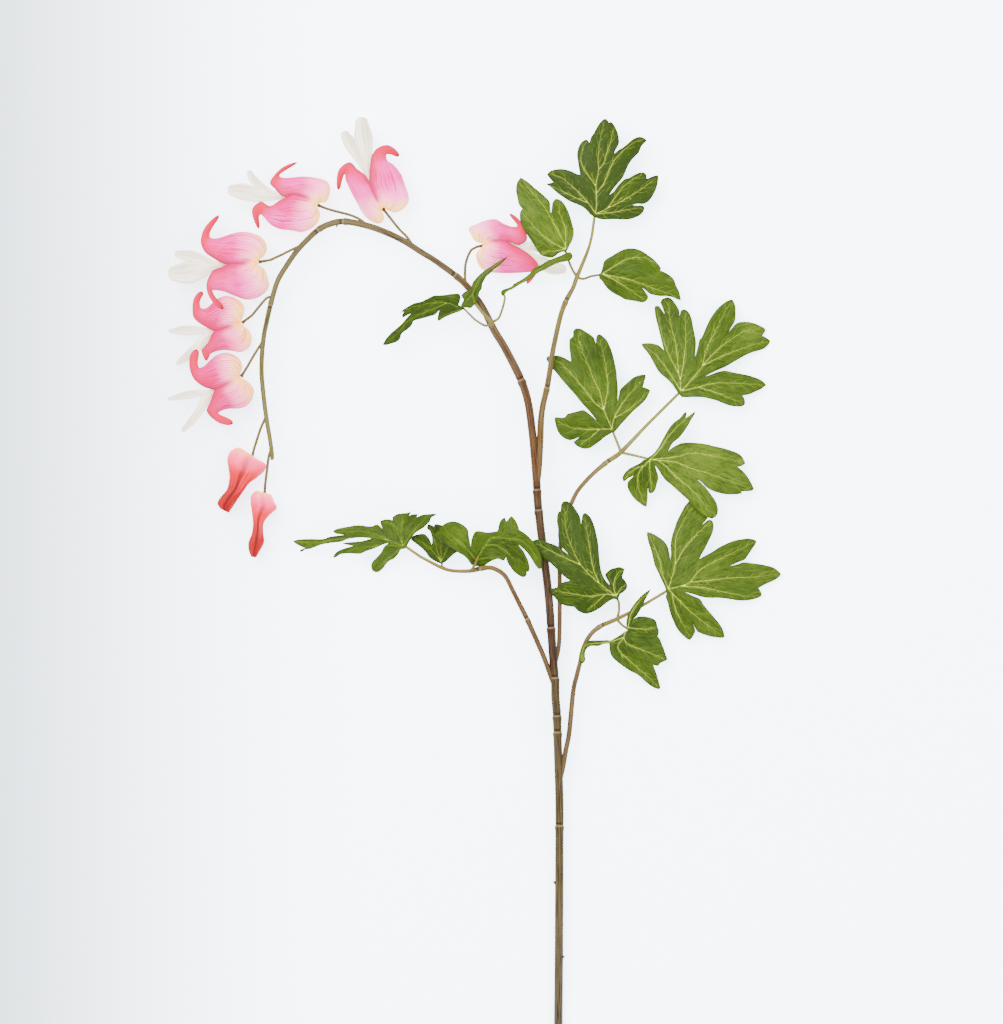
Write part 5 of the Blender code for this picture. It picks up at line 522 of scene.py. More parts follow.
            (511.5, 516), (508.8, 518.5), (506.5, 521.5), (504.8, 517.5), (502.5, 518.5), (500, 521.5),
            (498.5, 526), (497.5, 530.6), (492, 531.8), (487, 532.3), (482, 531.3), (477.5, 531),
            (474.5, 532.5), (472.5, 536.5), (471.3, 541), (470.5, 546.5), (469.8, 541), (468.8, 535.5),
            (468.2, 530.5), (466, 527), (462, 524), (457, 521.8), (452, 521.3), (447, 522.6), (442.5, 525.5),
            (438.5, 530), (434.5, 534.5), (438, 538.5), (443, 542), (448, 545.5), (453, 548.5), (458, 552.3),
            (463, 555), (467, 558.5), (469.3, 562)],
        "ribs": [
            [(476, 559.5), (465, 547), (453, 536), (445, 529)],
            [(476, 559.5), (484, 547), (492, 537.5), (503, 534.5), (505, 522)],
            [(486, 545), (497, 545), (510, 555), (524, 573)],
            [(492, 537.5), (508, 538), (522, 541), (533, 552), (540, 566)],
            [(476, 559.5), (488, 557), (500, 558)]],
        "heights": [(472, 564.5, 12.8), (480, 566, 12.6), (488, 563, 13.6), (476, 557, 16.9), (460, 545, 22),
                    (436, 534, 24.5), (452, 522, 27.5), (467, 530, 25), (470, 544, 21), (458, 552, 20),
                    (478, 532, 24), (500, 531, 26), (520, 530, 25.2), (485, 550, 19.5), (503, 560, 18),
                    (541, 557, 21.5), (540, 568, 20), (535, 545, 23), (525, 575, 17.5), (518, 545, 23.5),
                    (504, 518, 21), (511, 517, 21)],
        "under": [(476.3, 560.5), (478, 555.5)], "seat": 1},
}

# Open flowers. groove: the line where the two outer petals meet, from the seat toward the mouth.
# petals: for each outer petal its outer edge, and its free lip from the mouth to the tip of the horn.
# inner: white inner petals as lines out of the mouth: column, row, width in mm. rise lifts the horn, in mm.
FLOWERS = {
    "flower_1": {
        "seat": (381.5, 206.6), "height": 12.4, "depth": 8.0,
        "groove": [(381, 206.3), (379.5, 204.3), (378, 201.5), (376, 197.5), (373, 191.2), (370.2, 184)],
        "petals": [
            ([(386, 207.3), (391.5, 212), (399, 211.5), (407, 205), (409, 197), (405.5, 186), (401, 174),
              (394, 165), (387.5, 160.3), (386.5, 154.5), (392, 155), (399, 158)],
             [(369.3, 176), (370, 166), (371.5, 156.5), (377, 148.3), (388, 145), (399.8, 152)], 0.0),
            ([(381.3, 210.8), (384.3, 218), (380, 223.5), (371, 221.2), (363, 213.8), (357, 203), (352, 194),
              (348, 185.5), (345.3, 179.5), (344.8, 174), (342.3, 180), (340, 191)],
             [(367.5, 179), (363.5, 173.5), (357.3, 169), (349.5, 162), (338.6, 170), (335.6, 188)], 0.0)],
        "inner": [[(367, 174, 3.2), (359, 159, 4.4), (350.5, 144, 6.6), (344.5, 134, 3.6)],
                  [(367.5, 168, 4.4), (366, 155, 6.6), (363.5, 138, 9.6), (361.5, 121.5, 5.4)]]},
    "flower_2": {
        "seat": (315.5, 204), "height": 12.2, "depth": 7.4,
        "groove": [(315.2, 203.6), (312.7, 201.5), (309.2, 199.4), (304.7, 197), (299.2, 195.5),
                   (293, 194.3)],
        "petals": [
            ([(319, 202.3), (325.5, 202), (329.3, 196), (329.8, 186), (325, 180), (313, 177), (301, 176.3),
              (290, 177.5), (282, 177.3), (279.8, 174.6), (286.5, 169.8), (297.5, 163.4)],
             [(287, 195.6), (282.5, 196.3), (275, 189), (270, 181.5), (281, 168.2), (296.5, 160.8)], 0.0),
            ([(317.3, 208), (320, 213), (318.5, 221), (312, 228), (302, 232), (291, 230.3), (280, 229),
              (270.5, 224.5), (262.8, 216), (260.2, 214.6), (258.9, 218), (260.6, 228)],
             [(286.5, 197), (279, 200.6), (270, 206), (260.5, 201.6), (251.8, 210.5), (256.5, 229)], 0.0)],
        "inner": [[(274, 193.5, 3.0), (264, 188, 3.4), (254.5, 181, 4.4), (249, 172.5, 3.4)],
                  [(272, 196, 5.0), (258, 195, 7.2), (243, 191.5, 8.6), (231.5, 190, 5.0)]]},
    "flower_3": {
        "seat": (256.6, 262.3), "height": 12.8, "depth": 8.4,
        "groove": [(256, 262.3), (253, 262.6), (248, 263), (242, 263.4), (236, 263.8), (229.5, 264.3)],
        "petals": [
            ([(258.3, 258.8), (263.5, 256.5), (267, 248.5), (263, 238.5), (253, 233.2), (241, 231.6),
              (229, 234.3), (217.5, 238), (210.8, 237.5), (210, 232.5), (214.5, 224.5), (220.5, 216.5)],
             [(222.5, 263.2), (213, 258), (204, 251), (200.7, 240), (205, 227), (217, 214)], 0.0),
            ([(258.7, 265.6), (264.5, 269.5), (268, 278.5), (268.5, 288), (260, 296.5), (248, 299.7),
              (236, 296.5), (224.5, 291.8), (213.8, 290.2), (213.4, 293), (217.8, 299.5), (225.5, 307.3)],
             [(222.5, 267), (213, 270.7), (207.3, 281), (207, 290.5), (211.5, 300.5), (221.5, 311)], 6.4)],
        "inner": [[(215, 263.6, 3.0), (202, 259, 4.6), (190, 256, 6.0), (177, 254, 4.4)],
                  [(213, 266, 5.6), (200, 270, 9.6), (187, 272.5, 11.6), (173.5, 273.5, 6.4)]]},
    "flower_4": {
        "seat": (240.4, 323.5), "height": 7.7, "depth": 7.7,
        "groove": [(239.6, 323.8), (236.5, 324.6), (232, 325.9), (227, 327.1), (221.5, 328.8), (216, 330.5)],
        "petals": [
            ([(240.6, 319.8), (243.6, 314), (243.3, 305), (237, 299), (228, 295.6), (219.5, 297),
              (212, 302.5), (206, 307.5), (201, 307.8), (199.4, 303.5), (200.5, 298.5), (204.3, 292.8)],
             [(211.5, 330), (203, 325.5), (194, 318.5), (192, 310), (193.3, 298.5), (199.5, 289.5)], 0.0),
            ([(244, 326.2), (248.5, 330), (251.5, 338), (249, 346.5), (241.5, 351.6), (233.5, 351),
              (225, 349.9), (216.5, 351), (210.3, 353.6), (209.6, 355.2), (208.2, 357.8), (206.6, 361)],
             [(211.8, 333.5), (208.5, 340.5), (203.3, 347), (201, 350), (202.4, 355.4), (204.2, 360)], 0.0)],
        "inner": [[(206, 331, 3.6), (196, 330, 4.4), (184, 330, 5.2), (169.5, 331, 2.4)],
                  [(206, 337, 4.6), (198, 345.5, 5.0), (189, 354, 4.8), (177.5, 363, 3.0)]]},
    "flower_5": {
        "seat": (239.9, 378.4), "height": 12.2, "depth": 7.7,
        "groove": [(239.3, 378.6), (236, 379.9), (231.5, 381.9), (226.5, 384.1), (221.2, 386.7),
                   (216.8, 389)],
        "petals": [
            ([(239.3, 374.6), (242, 368), (240.5, 360.5), (234, 354.8), (225, 352.6), (216.5, 355),
              (210.3, 359.7), (204.3, 365.5), (199.2, 367.5), (197.8, 362.5), (198.7, 356.5), (199.4, 351)],
             [(211, 389.1), (202, 386), (193.5, 378.5), (189.5, 368), (189.6, 357), (194.3, 348)], 0.0),
            ([(243.3, 379), (249, 382.5), (253.7, 390), (252, 399), (246.5, 406), (238.5, 408.5),
              (230, 408.7), (223.5, 410), (218.6, 412.6), (220.7, 414.8), (227, 417.5), (234.6, 421.6)],
             [(213.7, 392), (210.5, 401), (206.5, 410), (210.3, 416.6), (219, 423), (230.5, 426.3)], 0.0)],
        "inner": [[(207, 393, 3.4), (197, 393.3, 4.0), (185, 395.5, 4.2), (169, 399, 2.2)],
                  [(206, 399, 5.6), (199.5, 410, 4.6), (192.5, 420, 4.2), (183, 430, 3.0)]]},
    "flower_6": {
        "seat": (484.9, 245.3), "height": 10.9, "depth": 8.0,
        "groove": [(485.4, 245), (487.7, 243), (491.5, 241.5), (496, 240.5), (501, 240.2), (506, 240.8)],
        "petals": [
            ([(482, 242), (475.5, 241.3), (471, 234.5), (468.7, 228), (477, 223.5), (487, 219.7), (496, 219),
              (504, 223.3), (512, 226.3), (517, 225.6), (514, 220.7), (508, 213.8)],
             [(511, 242), (518, 245), (526.5, 240.5), (526, 230.5), (520.5, 220.7), (512, 212.8)], 0.0),
            ([(482, 248.6), (477.2, 251), (476, 257.5), (480, 267), (487, 271.5), (497, 272.8), (508, 273.1),
              (519, 272.8), (530, 272), (531.8, 273.6), (529, 278), (525.2, 283)],
             [(513, 244.6), (521.5, 248.8), (532, 256.5), (538.5, 265.5), (535.5, 275), (529, 284.2)], 0.0)],
        "inner": [[(520, 247.5, 3.4), (528, 246, 4.6), (538, 246, 6.0), (548, 247, 4.0)],
                  [(524, 251.5, 3.8), (538, 259.5, 5.0), (551, 267, 7.2), (563, 269, 4.0)]]},
}

# Closed buds: left and right edge at each station down the bud, half depth in mm, and where it hangs
BUDS = {
    "bud_1": {
        "seat": (251.2, 459.4), "height": 9.0,
        "stations": [((247.6, 457), (254.4, 460.6), 1.4), ((240, 447.6), (260.5, 461), 4.0),
                     ((230.5, 450.6), (265.8, 464.4), 5.6), ((226.8, 459), (264.3, 470.8), 6.0),
                     ((228, 468), (257, 477.5), 5.4), ((228.8, 478), (249, 483.5), 4.4),
                     ((226.5, 489), (243.5, 491), 3.7), ((220.5, 496.5), (237.5, 499.5), 3.2),
                     ((217, 503), (232.5, 507), 2.7), ((219.5, 508.5), (228.5, 513), 1.7)]},
    "bud_2": {
        "seat": (264.3, 495.6), "height": 9.4,
        "stations": [((261.2, 492.6), (266.8, 495.4), 1.2), ((256, 490.6), (271, 494.5), 3.2),
                     ((250.6, 495.5), (274, 501.5), 4.5), ((250.2, 503), (276.6, 508.3), 4.8),
                     ((251.5, 513), (269, 515.5), 4.2), ((252.5, 523), (263.5, 523.5), 3.2),
                     ((251.5, 533), (263.3, 534), 2.8), ((248, 543), (264, 542), 2.8),
                     ((248.5, 551), (260, 550.5), 2.4), ((251, 557), (256, 557.5), 1.5)]},
}

# Share of the flower's half depth reached at each station of an outer petal: at the lip, and midway
LIP_DEPTH = [0.17, 0.36, 0.50, 0.60, 0.60, 0.53, 0.42, 0.33, 0.26, 0.21, 0.19, 0.16]
BELLY_DEPTH = [0.20, 0.50, 0.80, 0.97, 1.00, 0.90, 0.72, 0.54, 0.38, 0.27, 0.22, 0.17]
HORN_RISE = [0, 0, 0, 0, 0, 0, 0.03, 0.10, 0.28, 0.50, 0.85, 1.0]

# Colours along the stem, from the cut end to the tip, and along the other stalks
STEM_COLOURS = [(0.0, "3C3423"), (0.18, "3A301A"), (0.28, "382B14"), (0.33, "342A12"), (0.36, "2E1A0C"),
                (0.46, "2E1C0B"), (0.52, "42270E"),
                (0.60, "46301A"), (0.70, "483A20"), (0.76, "483C22"), (0.88, "4E4622"), (1.0, "545024")]
PEDICEL_COLOURS = [(0.0, "5A4C28"), (0.5, "564824"), (0.85, "564624"), (1.0, "362A14")]
SCAR_COLOURS = [(0.0, "3E301C"), (0.6, "4A3C22"), (1.0, "2C2010")]
STALK_COLOURS = {
    "top": [(0.0, "4A3418"), (0.4, "50401F"), (0.7, "5A5022"), (1.0, "6E6A22")],
    "middle": [(0.0, "40301A"), (0.45, "4C361C"), (0.62, "5A4A20"), (0.8, "6C6824"), (1.0, "70702A")],
    "lower": [(0.0, "44341C"), (0.45, "4E3A1F"), (0.75, "5E5222"), (1.0, "6E6A26")],
    "left": [(0.0, "44321A"), (0.4, "4A341C"), (0.7, "5A4A22"), (1.0, "6A6224")],
    "arch": [(0.0, "5A5026"), (1.0, "6A6426")]}

# How strongly the fine veins of a heart show
FLOWER_VEINS = {"flower_1": 0.35, "flower_2": 0.35, "flower_3": 0.55, "flower_4": 1.0, "flower_5": 1.0,
                "flower_6": 0.6}

# How light each leaf is: its own tone, part colour and part painted light, then soft patches of painted sheen
# and shade as (column, row, radius, amount)
LEAF_TONES_AND_SHEEN = {
    "leaf_top_end": (-0.95, (585, 205, 9, -0.4), (622, 190, 12, 0.3)),
    "leaf_top_left": (0.45, (548, 232, 9, 0.4), (556, 212, 8, -0.3)),
    "leaf_top_right": (0.05, (655, 265, 11, 0.3), (612, 285, 9, -0.4)),
    "leaf_middle_end": (0.15, (752, 332, 15, 0.4), (682, 382, 13, 0.5), (672, 318, 12, -0.4)),
    "leaf_middle_left": (0.0, (594, 352, 12, -0.6), (590, 388, 10, 0.5), (570, 372, 9, 0.4),
                         (575, 430, 10, -0.2)),
    "leaf_middle_low": (0.45, (704, 460, 20, 0.5), (640, 478, 13, -0.8), (674, 432, 11, -0.6)),
    "leaf_lower_end": (0.1, (700, 585, 14, 0.3)),
    "leaf_lower_left": (-0.75, (600, 590, 9, 0.3)),
    "leaf_lower_right": (-0.3, (640, 668, 10, 0.5), (598, 643, 10, -0.5), (582, 658, 5, 1.0)),
    "leaf_arch_end": (-0.2,), "leaf_arch_left": (-0.6,), "leaf_arch_right": (0.5,),
    "leaf_far_left": (0.2,), "leaf_left_dark": (-0.8,),
    "leaf_left_fold": (0.0, (460, 535, 12, 0.5), (515, 550, 14, -0.3))}


def tint(code):
    """A colour written as six hex digits, in linear light."""
    parts = [int(code[i:i + 2], 16) / 255 for i in (0, 2, 4)]
    return tuple(p / 12.92 if p <= 0.04045 else ((p + 0.055) / 1.055) ** 2.4 for p in parts)


def seen_at(u, v, height=0.0):
    """Metres of a photograph pixel, standing a height in mm above the surface."""
    return Vector(((u - CENTRE_U) * SCALE, (CENTRE_V - v) * SCALE, height * MM))


def places(points):
    """Metres of many (column, row, height in mm) points at once."""
    points = np.asarray(points, dtype=float)
    return np.stack([(points[..., 0] - CENTRE_U) * SCALE, (CENTRE_V - points[..., 1]) * SCALE,
                     points[..., 2] * MM], axis=-1)


def through(points, steps):
    """Catmull-Rom curve through points of any width, with a number of steps for each span."""
    rows = vectors(points)
    rows = [2 * rows[0] - rows[1]] + rows + [2 * rows[-1] - rows[-2]]
    counts = steps if isinstance(steps, list) else [steps] * (len(rows) - 3)
    curve = []
    for i, count in enumerate(counts):
        a, b, c, d = rows[i:i + 4]
        for k in range(count):
            t = k / count
            curve.append(0.5 * (2 * b + (c - a) * t + (2 * a - 5 * b + 4 * c - d) * t * t
                                + (3 * b - a - 3 * c + d) * t ** 3))
    curve.append(rows[-2])
    return np.array(curve)


def evenly(points, step):
    """The same curve with steps of about one length, measured in the first two values."""
    spans = [max(1, round(float(np.hypot(b[0] - a[0], b[1] - a[1])) / step))
             for a, b in zip(points, points[1:])]
    return through(points, spans)


def vectors(points):
    """Each point of a list as an array of its own."""
    return [np.array(p, dtype=float) for p in points]


def run_lengths(points):
    """Length along a line up to each of its points."""
    return np.concatenate([[0], np.cumsum(np.linalg.norm(np.diff(points, axis=0), axis=1))])


def bell(away, width):
    """1 in the middle of something, and softly down to 0 away from it."""
    return np.exp(-(away / width) ** 2)


def shown(name, data):
    """A new object at the origin, put in the scene."""
    piece = bpy.data.objects.new(name, data)
    bpy.context.scene.collection.objects.link(piece)
    return piece


def set_values(mesh, name, values, kind="FLOAT"):
    """Keep one value for each vertex under a name that a material can read."""
    layer = mesh.attributes.new(name, kind, "POINT")
    layer.data.foreach_set("value" if kind == "FLOAT" else "color", np.ravel(values).astype(np.float32))


def add_mesh(name, vertices, faces, tidy=True):
    """A smooth mesh object at the origin, with its faces turned outward."""
    mesh = bpy.data.meshes.new(name)
    mesh.from_pydata(np.asarray(vertices).tolist(), [], [tuple(int(i) for i in f) for f in faces])
    if tidy:
        shape = bmesh.new()
        shape.from_mesh(mesh)
        bmesh.ops.recalc_face_normals(shape, faces=shape.faces)
        shape.to_mesh(mesh)
        shape.free()
    mesh.shade_smooth()
    return shown(name, mesh)


def settle(piece, material, slot, *nodes):
    """Give a finished piece its material and its body, and hide the solids it stands for; the slot is not
    used.
    """
    if material is not None:
        piece.data.materials.clear()
        piece.data.materials.append(material)
    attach(piece, "root")
    if nodes:
        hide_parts(*nodes)


def joining(operation, turned=False):
    """A method that joins two values of a material with one maths node."""
    def method(self, other):
        first, second = (other, self) if turned else (self, other)
        return self.paint.maths(operation, first, second)
    return method


class Value:
    """A socket of a material that sums and products can be written with."""

    __add__, __radd__ = joining("ADD"), joining("ADD", True)
    __sub__, __rsub__ = joining("SUBTRACT"), joining("SUBTRACT", True)
    __mul__, __rmul__ = joining("MULTIPLY"), joining("MULTIPLY", True)

    def __init__(self, paint, socket):
        self.paint = paint
        self.socket = socket

    def held(self):
        """The same value, kept between 0 and 1."""
        return self.paint.add("ShaderNodeClamp", {}, {"Value": self})


class Paint:
    """A material whose nodes are added one by one and joined as expressions."""

    def __init__(self, name):
        self.material = bpy.data.materials.new(name)
        self.material.use_nodes = True
        self.tree = self.material.node_tree
        self.shader = self.tree.nodes["Principled BSDF"]

    def feed(self, socket, value):
        if isinstance(value, Value):
            self.tree.links.new(value.socket, socket)
        elif socket.type == "RGBA" and len(value) == 3:
            socket.default_value = (*value, 1.0)
        else:
            socket.default_value = value

    def add(self, kind, settings, sockets, output=0):
        """A node of a kind, with its settings made first and then its sockets filled."""
        node = self.tree.nodes.new(kind)
        for key, setting in settings.items():
            if key == "stops":
                stops = node.color_ramp.elements
                stops.remove(stops[-1])
                for i, (place, colour) in enumerate(setting):
                    stop = stops[0] if i == 0 else stops.new(place)
                    stop.position = place
                    stop.color = (*colour, 1.0)
            else:
                setattr(node, key, setting)
        for key, value in sockets.items():
            self.feed(node.inputs[key], value)
        return Value(self, node.outputs[output])

    def maths(self, operation, first, second):
        return self.add("ShaderNodeMath", {"operation": operation}, {0: first, 1: second})

    def mix(self, share, first, second, blend="MIX"):
        settings = {"data_type": "RGBA", "blend_type": blend}
        return self.add("ShaderNodeMix", settings, {0: share, 6: first, 7: second}, 2)

    def value(self, name):
        """The float kept on the vertices under a name."""
        return self.add("ShaderNodeAttribute", {"attribute_name": name}, {}, 2)

    def colour(self, name):
        return self.add("ShaderNodeAttribute", {"attribute_name": name}, {}, 0)

    def place(self):
        """Object coordinates in metres."""
        return self.add("ShaderNodeTexCoord", {}, {}, 3)

    def grain(self, vector, scale, detail=4.0, roughness=0.55):
        return self.add("ShaderNodeTexNoise", {}, {"Vector": vector, "Scale": scale, "Detail": detail,
                                                   "Roughness": roughness})

    def between(self, value, low, high):
        """0 at low and 1 at high, with soft ends."""
        settings = {"interpolation_type": "SMOOTHSTEP"}
        return self.add("ShaderNodeMapRange", settings, {"Value": value, "From Min": low, "From Max": high})

    def bump(self, height, distance, strength=1.0):
        return self.add("ShaderNodeBump", {}, {"Height": height, "Distance": distance, "Strength": strength})

    def done(self, **sockets):
        for key, value in sockets.items():
            self.feed(self.shader.inputs[key.replace("_", " ")], value)
        return self.material


def stalk_skin(look):
    """Smooth fresh stem: colour kept on the vertices, fine lengthwise lines and notched joints."""
    paint = Paint("stem_skin")
    around = paint.add("ShaderNodeAttribute", {"attribute_name": "round"}, {}, 1)
    long = paint.add("ShaderNodeVectorMath", {"operation": "MULTIPLY"}, {0: around, 1: (2.2, 2.2, 0.03)})
    streak = paint.grain(long, 2.0, 4.0)
    fleck = paint.grain(paint.place(), 2600.0, 3.0)
    mottle = paint.grain(paint.place(), 70.0, 3.0)
    skin = paint.colour("skin")
    light = paint.mix(1.0, skin, look.light_colour, "ADD")
    tone = paint.mix(paint.between(streak, 0.50, 0.60) * 0.85, skin, look.streak_colour, "MULTIPLY")
    tone = paint.mix((1.0 - paint.between(streak, 0.36, 0.47)) * 0.60, tone, light)
    tone = paint.mix(paint.between(mottle, 0.5, 0.72) * 0.30, tone, light)
    tone = paint.mix(paint.between(fleck, 0.60, 0.72) * 0.12, tone, light)
    ring = paint.value("ring")
    tone = paint.mix(paint.between(ring, 0.25, 0.9) * 0.60, tone, look.ring_colour)
    tone = paint.mix((1.0 - paint.between(ring, -0.8, -0.15)) * 0.85, tone, look.streak_colour, "MULTIPLY")
    rise = fleck * 0.05 - streak * 0.8
    return paint.done(Base_Color=tone, Roughness=paint.between(streak, 0.2, 0.9) * 0.15 + 0.46,
                      Normal=paint.bump(rise, 0.14 * MM, 0.8), Specular_IOR_Level=0.10)


def leaf_green(look):
    """Leaf blade: streaked green that darkens to its edge, thin bright veins and a paler underside, with
    painted light and shade on its creases and painted sheen and shade in soft patches.
    """
    paint = Paint("leaf_green")
    names = ("vein", "power", "side", "side_power", "edge", "tone", "beside", "reach", "lower")
    vein, power, side, side_power, edge, tone_and_sheen, beside, reach, lower = (paint.value(n) for n in names)
    spot = paint.place()
    cloud = paint.grain(spot, 60.0, 3.0)
    speck = paint.grain(spot, 700.0, 4.0)
    flow = paint.add("ShaderNodeCombineXYZ", {}, {"X": beside * 0.50, "Y": reach * 0.07, "Z": cloud * 2.0})
    crease = paint.grain(flow, 1.0, 4.5, 0.68)
    cells = paint.add("ShaderNodeTexVoronoi", {"feature": "DISTANCE_TO_EDGE"},
                      {"Vector": spot, "Scale": 560.0})
    net = 1.0 - paint.between(cells, 0.0, 0.16)
    # The leaf's tone with its painted sheen and shade, random clouds, the painted light and shade of the
    # creases and fine specks set how light the green is.
    bright = (tone_and_sheen + (cloud - 0.5) * 1.8 + (crease - 0.5) * 3.0 + (speck - 0.5) * 0.8)
    green = paint.mix(paint.between(bright, -0.9, 0.1), look.deep_colour, look.mid_colour)
    green = paint.mix(paint.between(bright, 0.0, 1.3), green, look.light_colour)
    # Painted light and shade: each crease is lighter where the bump raises it and darker in its valley.
    green = paint.mix(paint.between(crease, 0.57, 0.66) * 0.40, green, look.light_colour)
    green = paint.mix((1.0 - paint.between(crease, 0.36, 0.45)) * 0.60, green, look.crease_shade_and_edge_colour)
    green = paint.mix(net * 0.10, green, look.light_colour)
    green = paint.mix((1.0 - paint.between(edge, 0.2, 1.5)) * 0.40, green, look.crease_shade_and_edge_colour)
    broken = paint.between(speck, 0.30, 0.55) * 0.5 + 0.5
    thread = (1.0 - paint.between(side, 0.0, 0.28)) * side_power * broken
    main = (1.0 - paint.between(vein, 0.0, power * 0.20 + 0.16)) * paint.between(power, -0.15, 0.85)
    halo = (1.0 - paint.between(vein, 0.2, 2.4)) * power
    green = paint.mix((halo * 0.06).held(), green, look.vein_colour)
    green = paint.mix((thread * 0.36).held(), green, look.vein_colour)
    green = paint.mix((main * broken).held(), green, look.vein_colour)
    under = paint.mix((main * 0.8 + thread * 0.4 + net * 0.15).held(), look.under_colour, look.vein_colour)
    tone = paint.mix(lower, green, under)
    rise = crease * 1.1 + speck * 0.25 + cells * 0.3 - halo * 0.3
    return paint.done(Base_Color=tone, Roughness=paint.between(speck, 0.3, 0.8) * 0.12 + 0.50,
                      Normal=paint.bump(rise, 0.22 * MM, 0.6), Specular_IOR_Level=0.07)


def petal_pink(look):
    """Outer petal: cream shoulder, pink pouch with fine streaks, coral neck and dark red tip; a painted
    highlight over the middle of the pouch, painted shade down the groove where the petals meet, and a painted
    glow of its own colour.
    """
    paint = Paint("petal_pink")
    along, across, inside, lined = (paint.value(n) for n in ("along", "across", "inside", "lined"))
    sway = paint.grain(paint.place(), 120.0, 2.0)
    lines = paint.add("ShaderNodeCombineXYZ", {}, {"X": across * 62.0 + sway * 3.0, "Y": along * 3.0,
                                                   "Z": paint.value("turn")})
    streak = paint.grain(lines, 1.0, 4.0, 0.65)
    shade = paint.grain(paint.place(), 300.0, 3.0)
    lip = 1.0 - paint.between(paint.value("lip"), 0.0, 0.12)
    fold = paint.between(paint.value("lip"), 0.18, 0.50)
    reach = along + (sway - 0.5) * 0.14 + (streak - 0.5) * 0.16 - fold * 0.17 * (1.0 - along) + lip * 0.06
    reach = reach - lined * 0.03 - 0.025
    body = paint.add("ShaderNodeValToRGB", {"stops": look.stops()}, {"Fac": reach.held()})
    pouch = paint.between(along, 0.12, 0.3) * (1.0 - paint.between(along, 0.62, 0.8))
    # Painted highlight: lighter pink over the middle of the pouch's face, half of it random mottling.
    middle = fold * (1.0 - paint.between(across, 0.30, 0.46))
    painted_glow = (paint.between(sway, 0.40, 0.62) * 0.5 + middle * 0.5) * pouch
    plain = 1.0 - lined * 0.6
    tone = paint.mix(painted_glow * 0.60 * plain, body, look.streak_colour)
    tone = paint.mix(paint.between(streak, 0.52, 0.66) * 0.55 * pouch * plain, tone, look.streak_colour)
    tone = paint.mix((1.0 - paint.between(streak, 0.36, 0.48)) * 0.85, tone, look.line_colour, "MULTIPLY")
    wave = paint.maths("SINE", across * 195.0 + sway * 14.0, 0.0) * 0.5 + streak
    vein = paint.between(wave, 0.42, 0.85) * lined * (1.0 - paint.between(along, 0.7, 0.85))
    tone = paint.mix(paint.between(along, 0.40, 0.62) * lined * 0.50, tone, look.neck_colour)
    tone = paint.mix(vein * 0.66, tone, look.vein_colour, "MULTIPLY")
    # Painted shade: darker coral and deep pink down the groove where the two petals meet, over the middle of
    # the petal's length.
    deep = (1.0 - paint.between(paint.value("lip"), 0.0, 0.34)) * paint.between(along, 0.30, 0.60)
    tone = paint.mix(deep * 0.60, tone, look.neck_colour)
    tone = paint.mix(deep * lined * 0.60, tone, look.deep_lip_and_shade_colour)
    # Deeper pink toward the outer fold of the pouch.
    shoulder = paint.between(across, 0.40, 0.50) * pouch
    tone = paint.mix(shoulder * 0.30, tone, look.deep_lip_and_shade_colour)
    # Deep pink along the lips near the seat, partly their own colour and partly painted shade in the groove.
    tone = paint.mix(lip * 0.85 * paint.between(along, 0.1, 0.3), tone, look.deep_lip_and_shade_colour)
    tone = paint.mix(paint.between(along, 0.965, 1.0) * 0.6, tone, look.tip_colour)
    tone = paint.mix(inside * 0.85, tone, look.inside_colour)
    rise = streak + shade * 0.3
    # The petal emits its own colour: a painted glow, though it is no lamp.
    return paint.done(Base_Color=tone, Roughness=paint.between(shade, 0.3, 0.8) * 0.15 + 0.42,
                      Normal=paint.bump(rise, 0.10 * MM, 0.6), Specular_IOR_Level=0.03,
                      Emission_Color=tone, Emission_Strength=look.painted_glow)


def inner_white(look):
    """Inner petal: warm white with soft grey streaks, greener to its tip and blushed at its foot; painted
    shade inside its hood and along its rim, and a painted glow of its own colour.
    """
    paint = Paint("inner_white")
    along, across = (paint.value(n) for n in ("along", "across"))
    sway = paint.grain(paint.place(), 150.0, 2.0)
    lines = paint.add("ShaderNodeCombineXYZ", {}, {"X": across * 16.0 + sway * 2.0, "Y": along * 2.2,
                                                   "Z": 0.0})
    streak = paint.grain(lines, 1.0, 3.0)
    body = paint.add("ShaderNodeValToRGB", {"stops": look.stops()}, {"Fac": along})
    tone = paint.mix(paint.between(streak, 0.46, 0.62) * 0.55, body, look.beige_streak_and_shade_colour)
    keel = 1.0 - paint.between(paint.value("keel"), 0.0, 0.30)
    tone = paint.mix(keel * 0.18, tone, look.keel_and_rim_shade_colour)
    # Painted shade: beige shade inside the hood, on one side of the inner petal, over the middle of its
    # length.
    hood_shade = paint.between(across, 0.55, 0.80) * (1.0 - paint.between(across, 0.86, 0.97))
    tone = paint.mix(hood_shade * 0.65 * paint.between(along, 0.3, 0.7), tone, look.beige_streak_and_shade_colour)
    # Painted shade: greenish grey along the rim of the inner petal, where it turns away.
    rim = paint.between(paint.value("keel"), 0.80, 1.0)
    tone = paint.mix(rim * 0.40, tone, look.keel_and_rim_shade_colour)
    # The inner petal emits its own colour: a painted glow, though it is no lamp.
    return paint.done(Base_Color=tone, Roughness=0.40, Normal=paint.bump(streak, 0.12 * MM, 0.7),
                      Specular_IOR_Level=0.15, Emission_Color=tone, Emission_Strength=look.painted_glow)


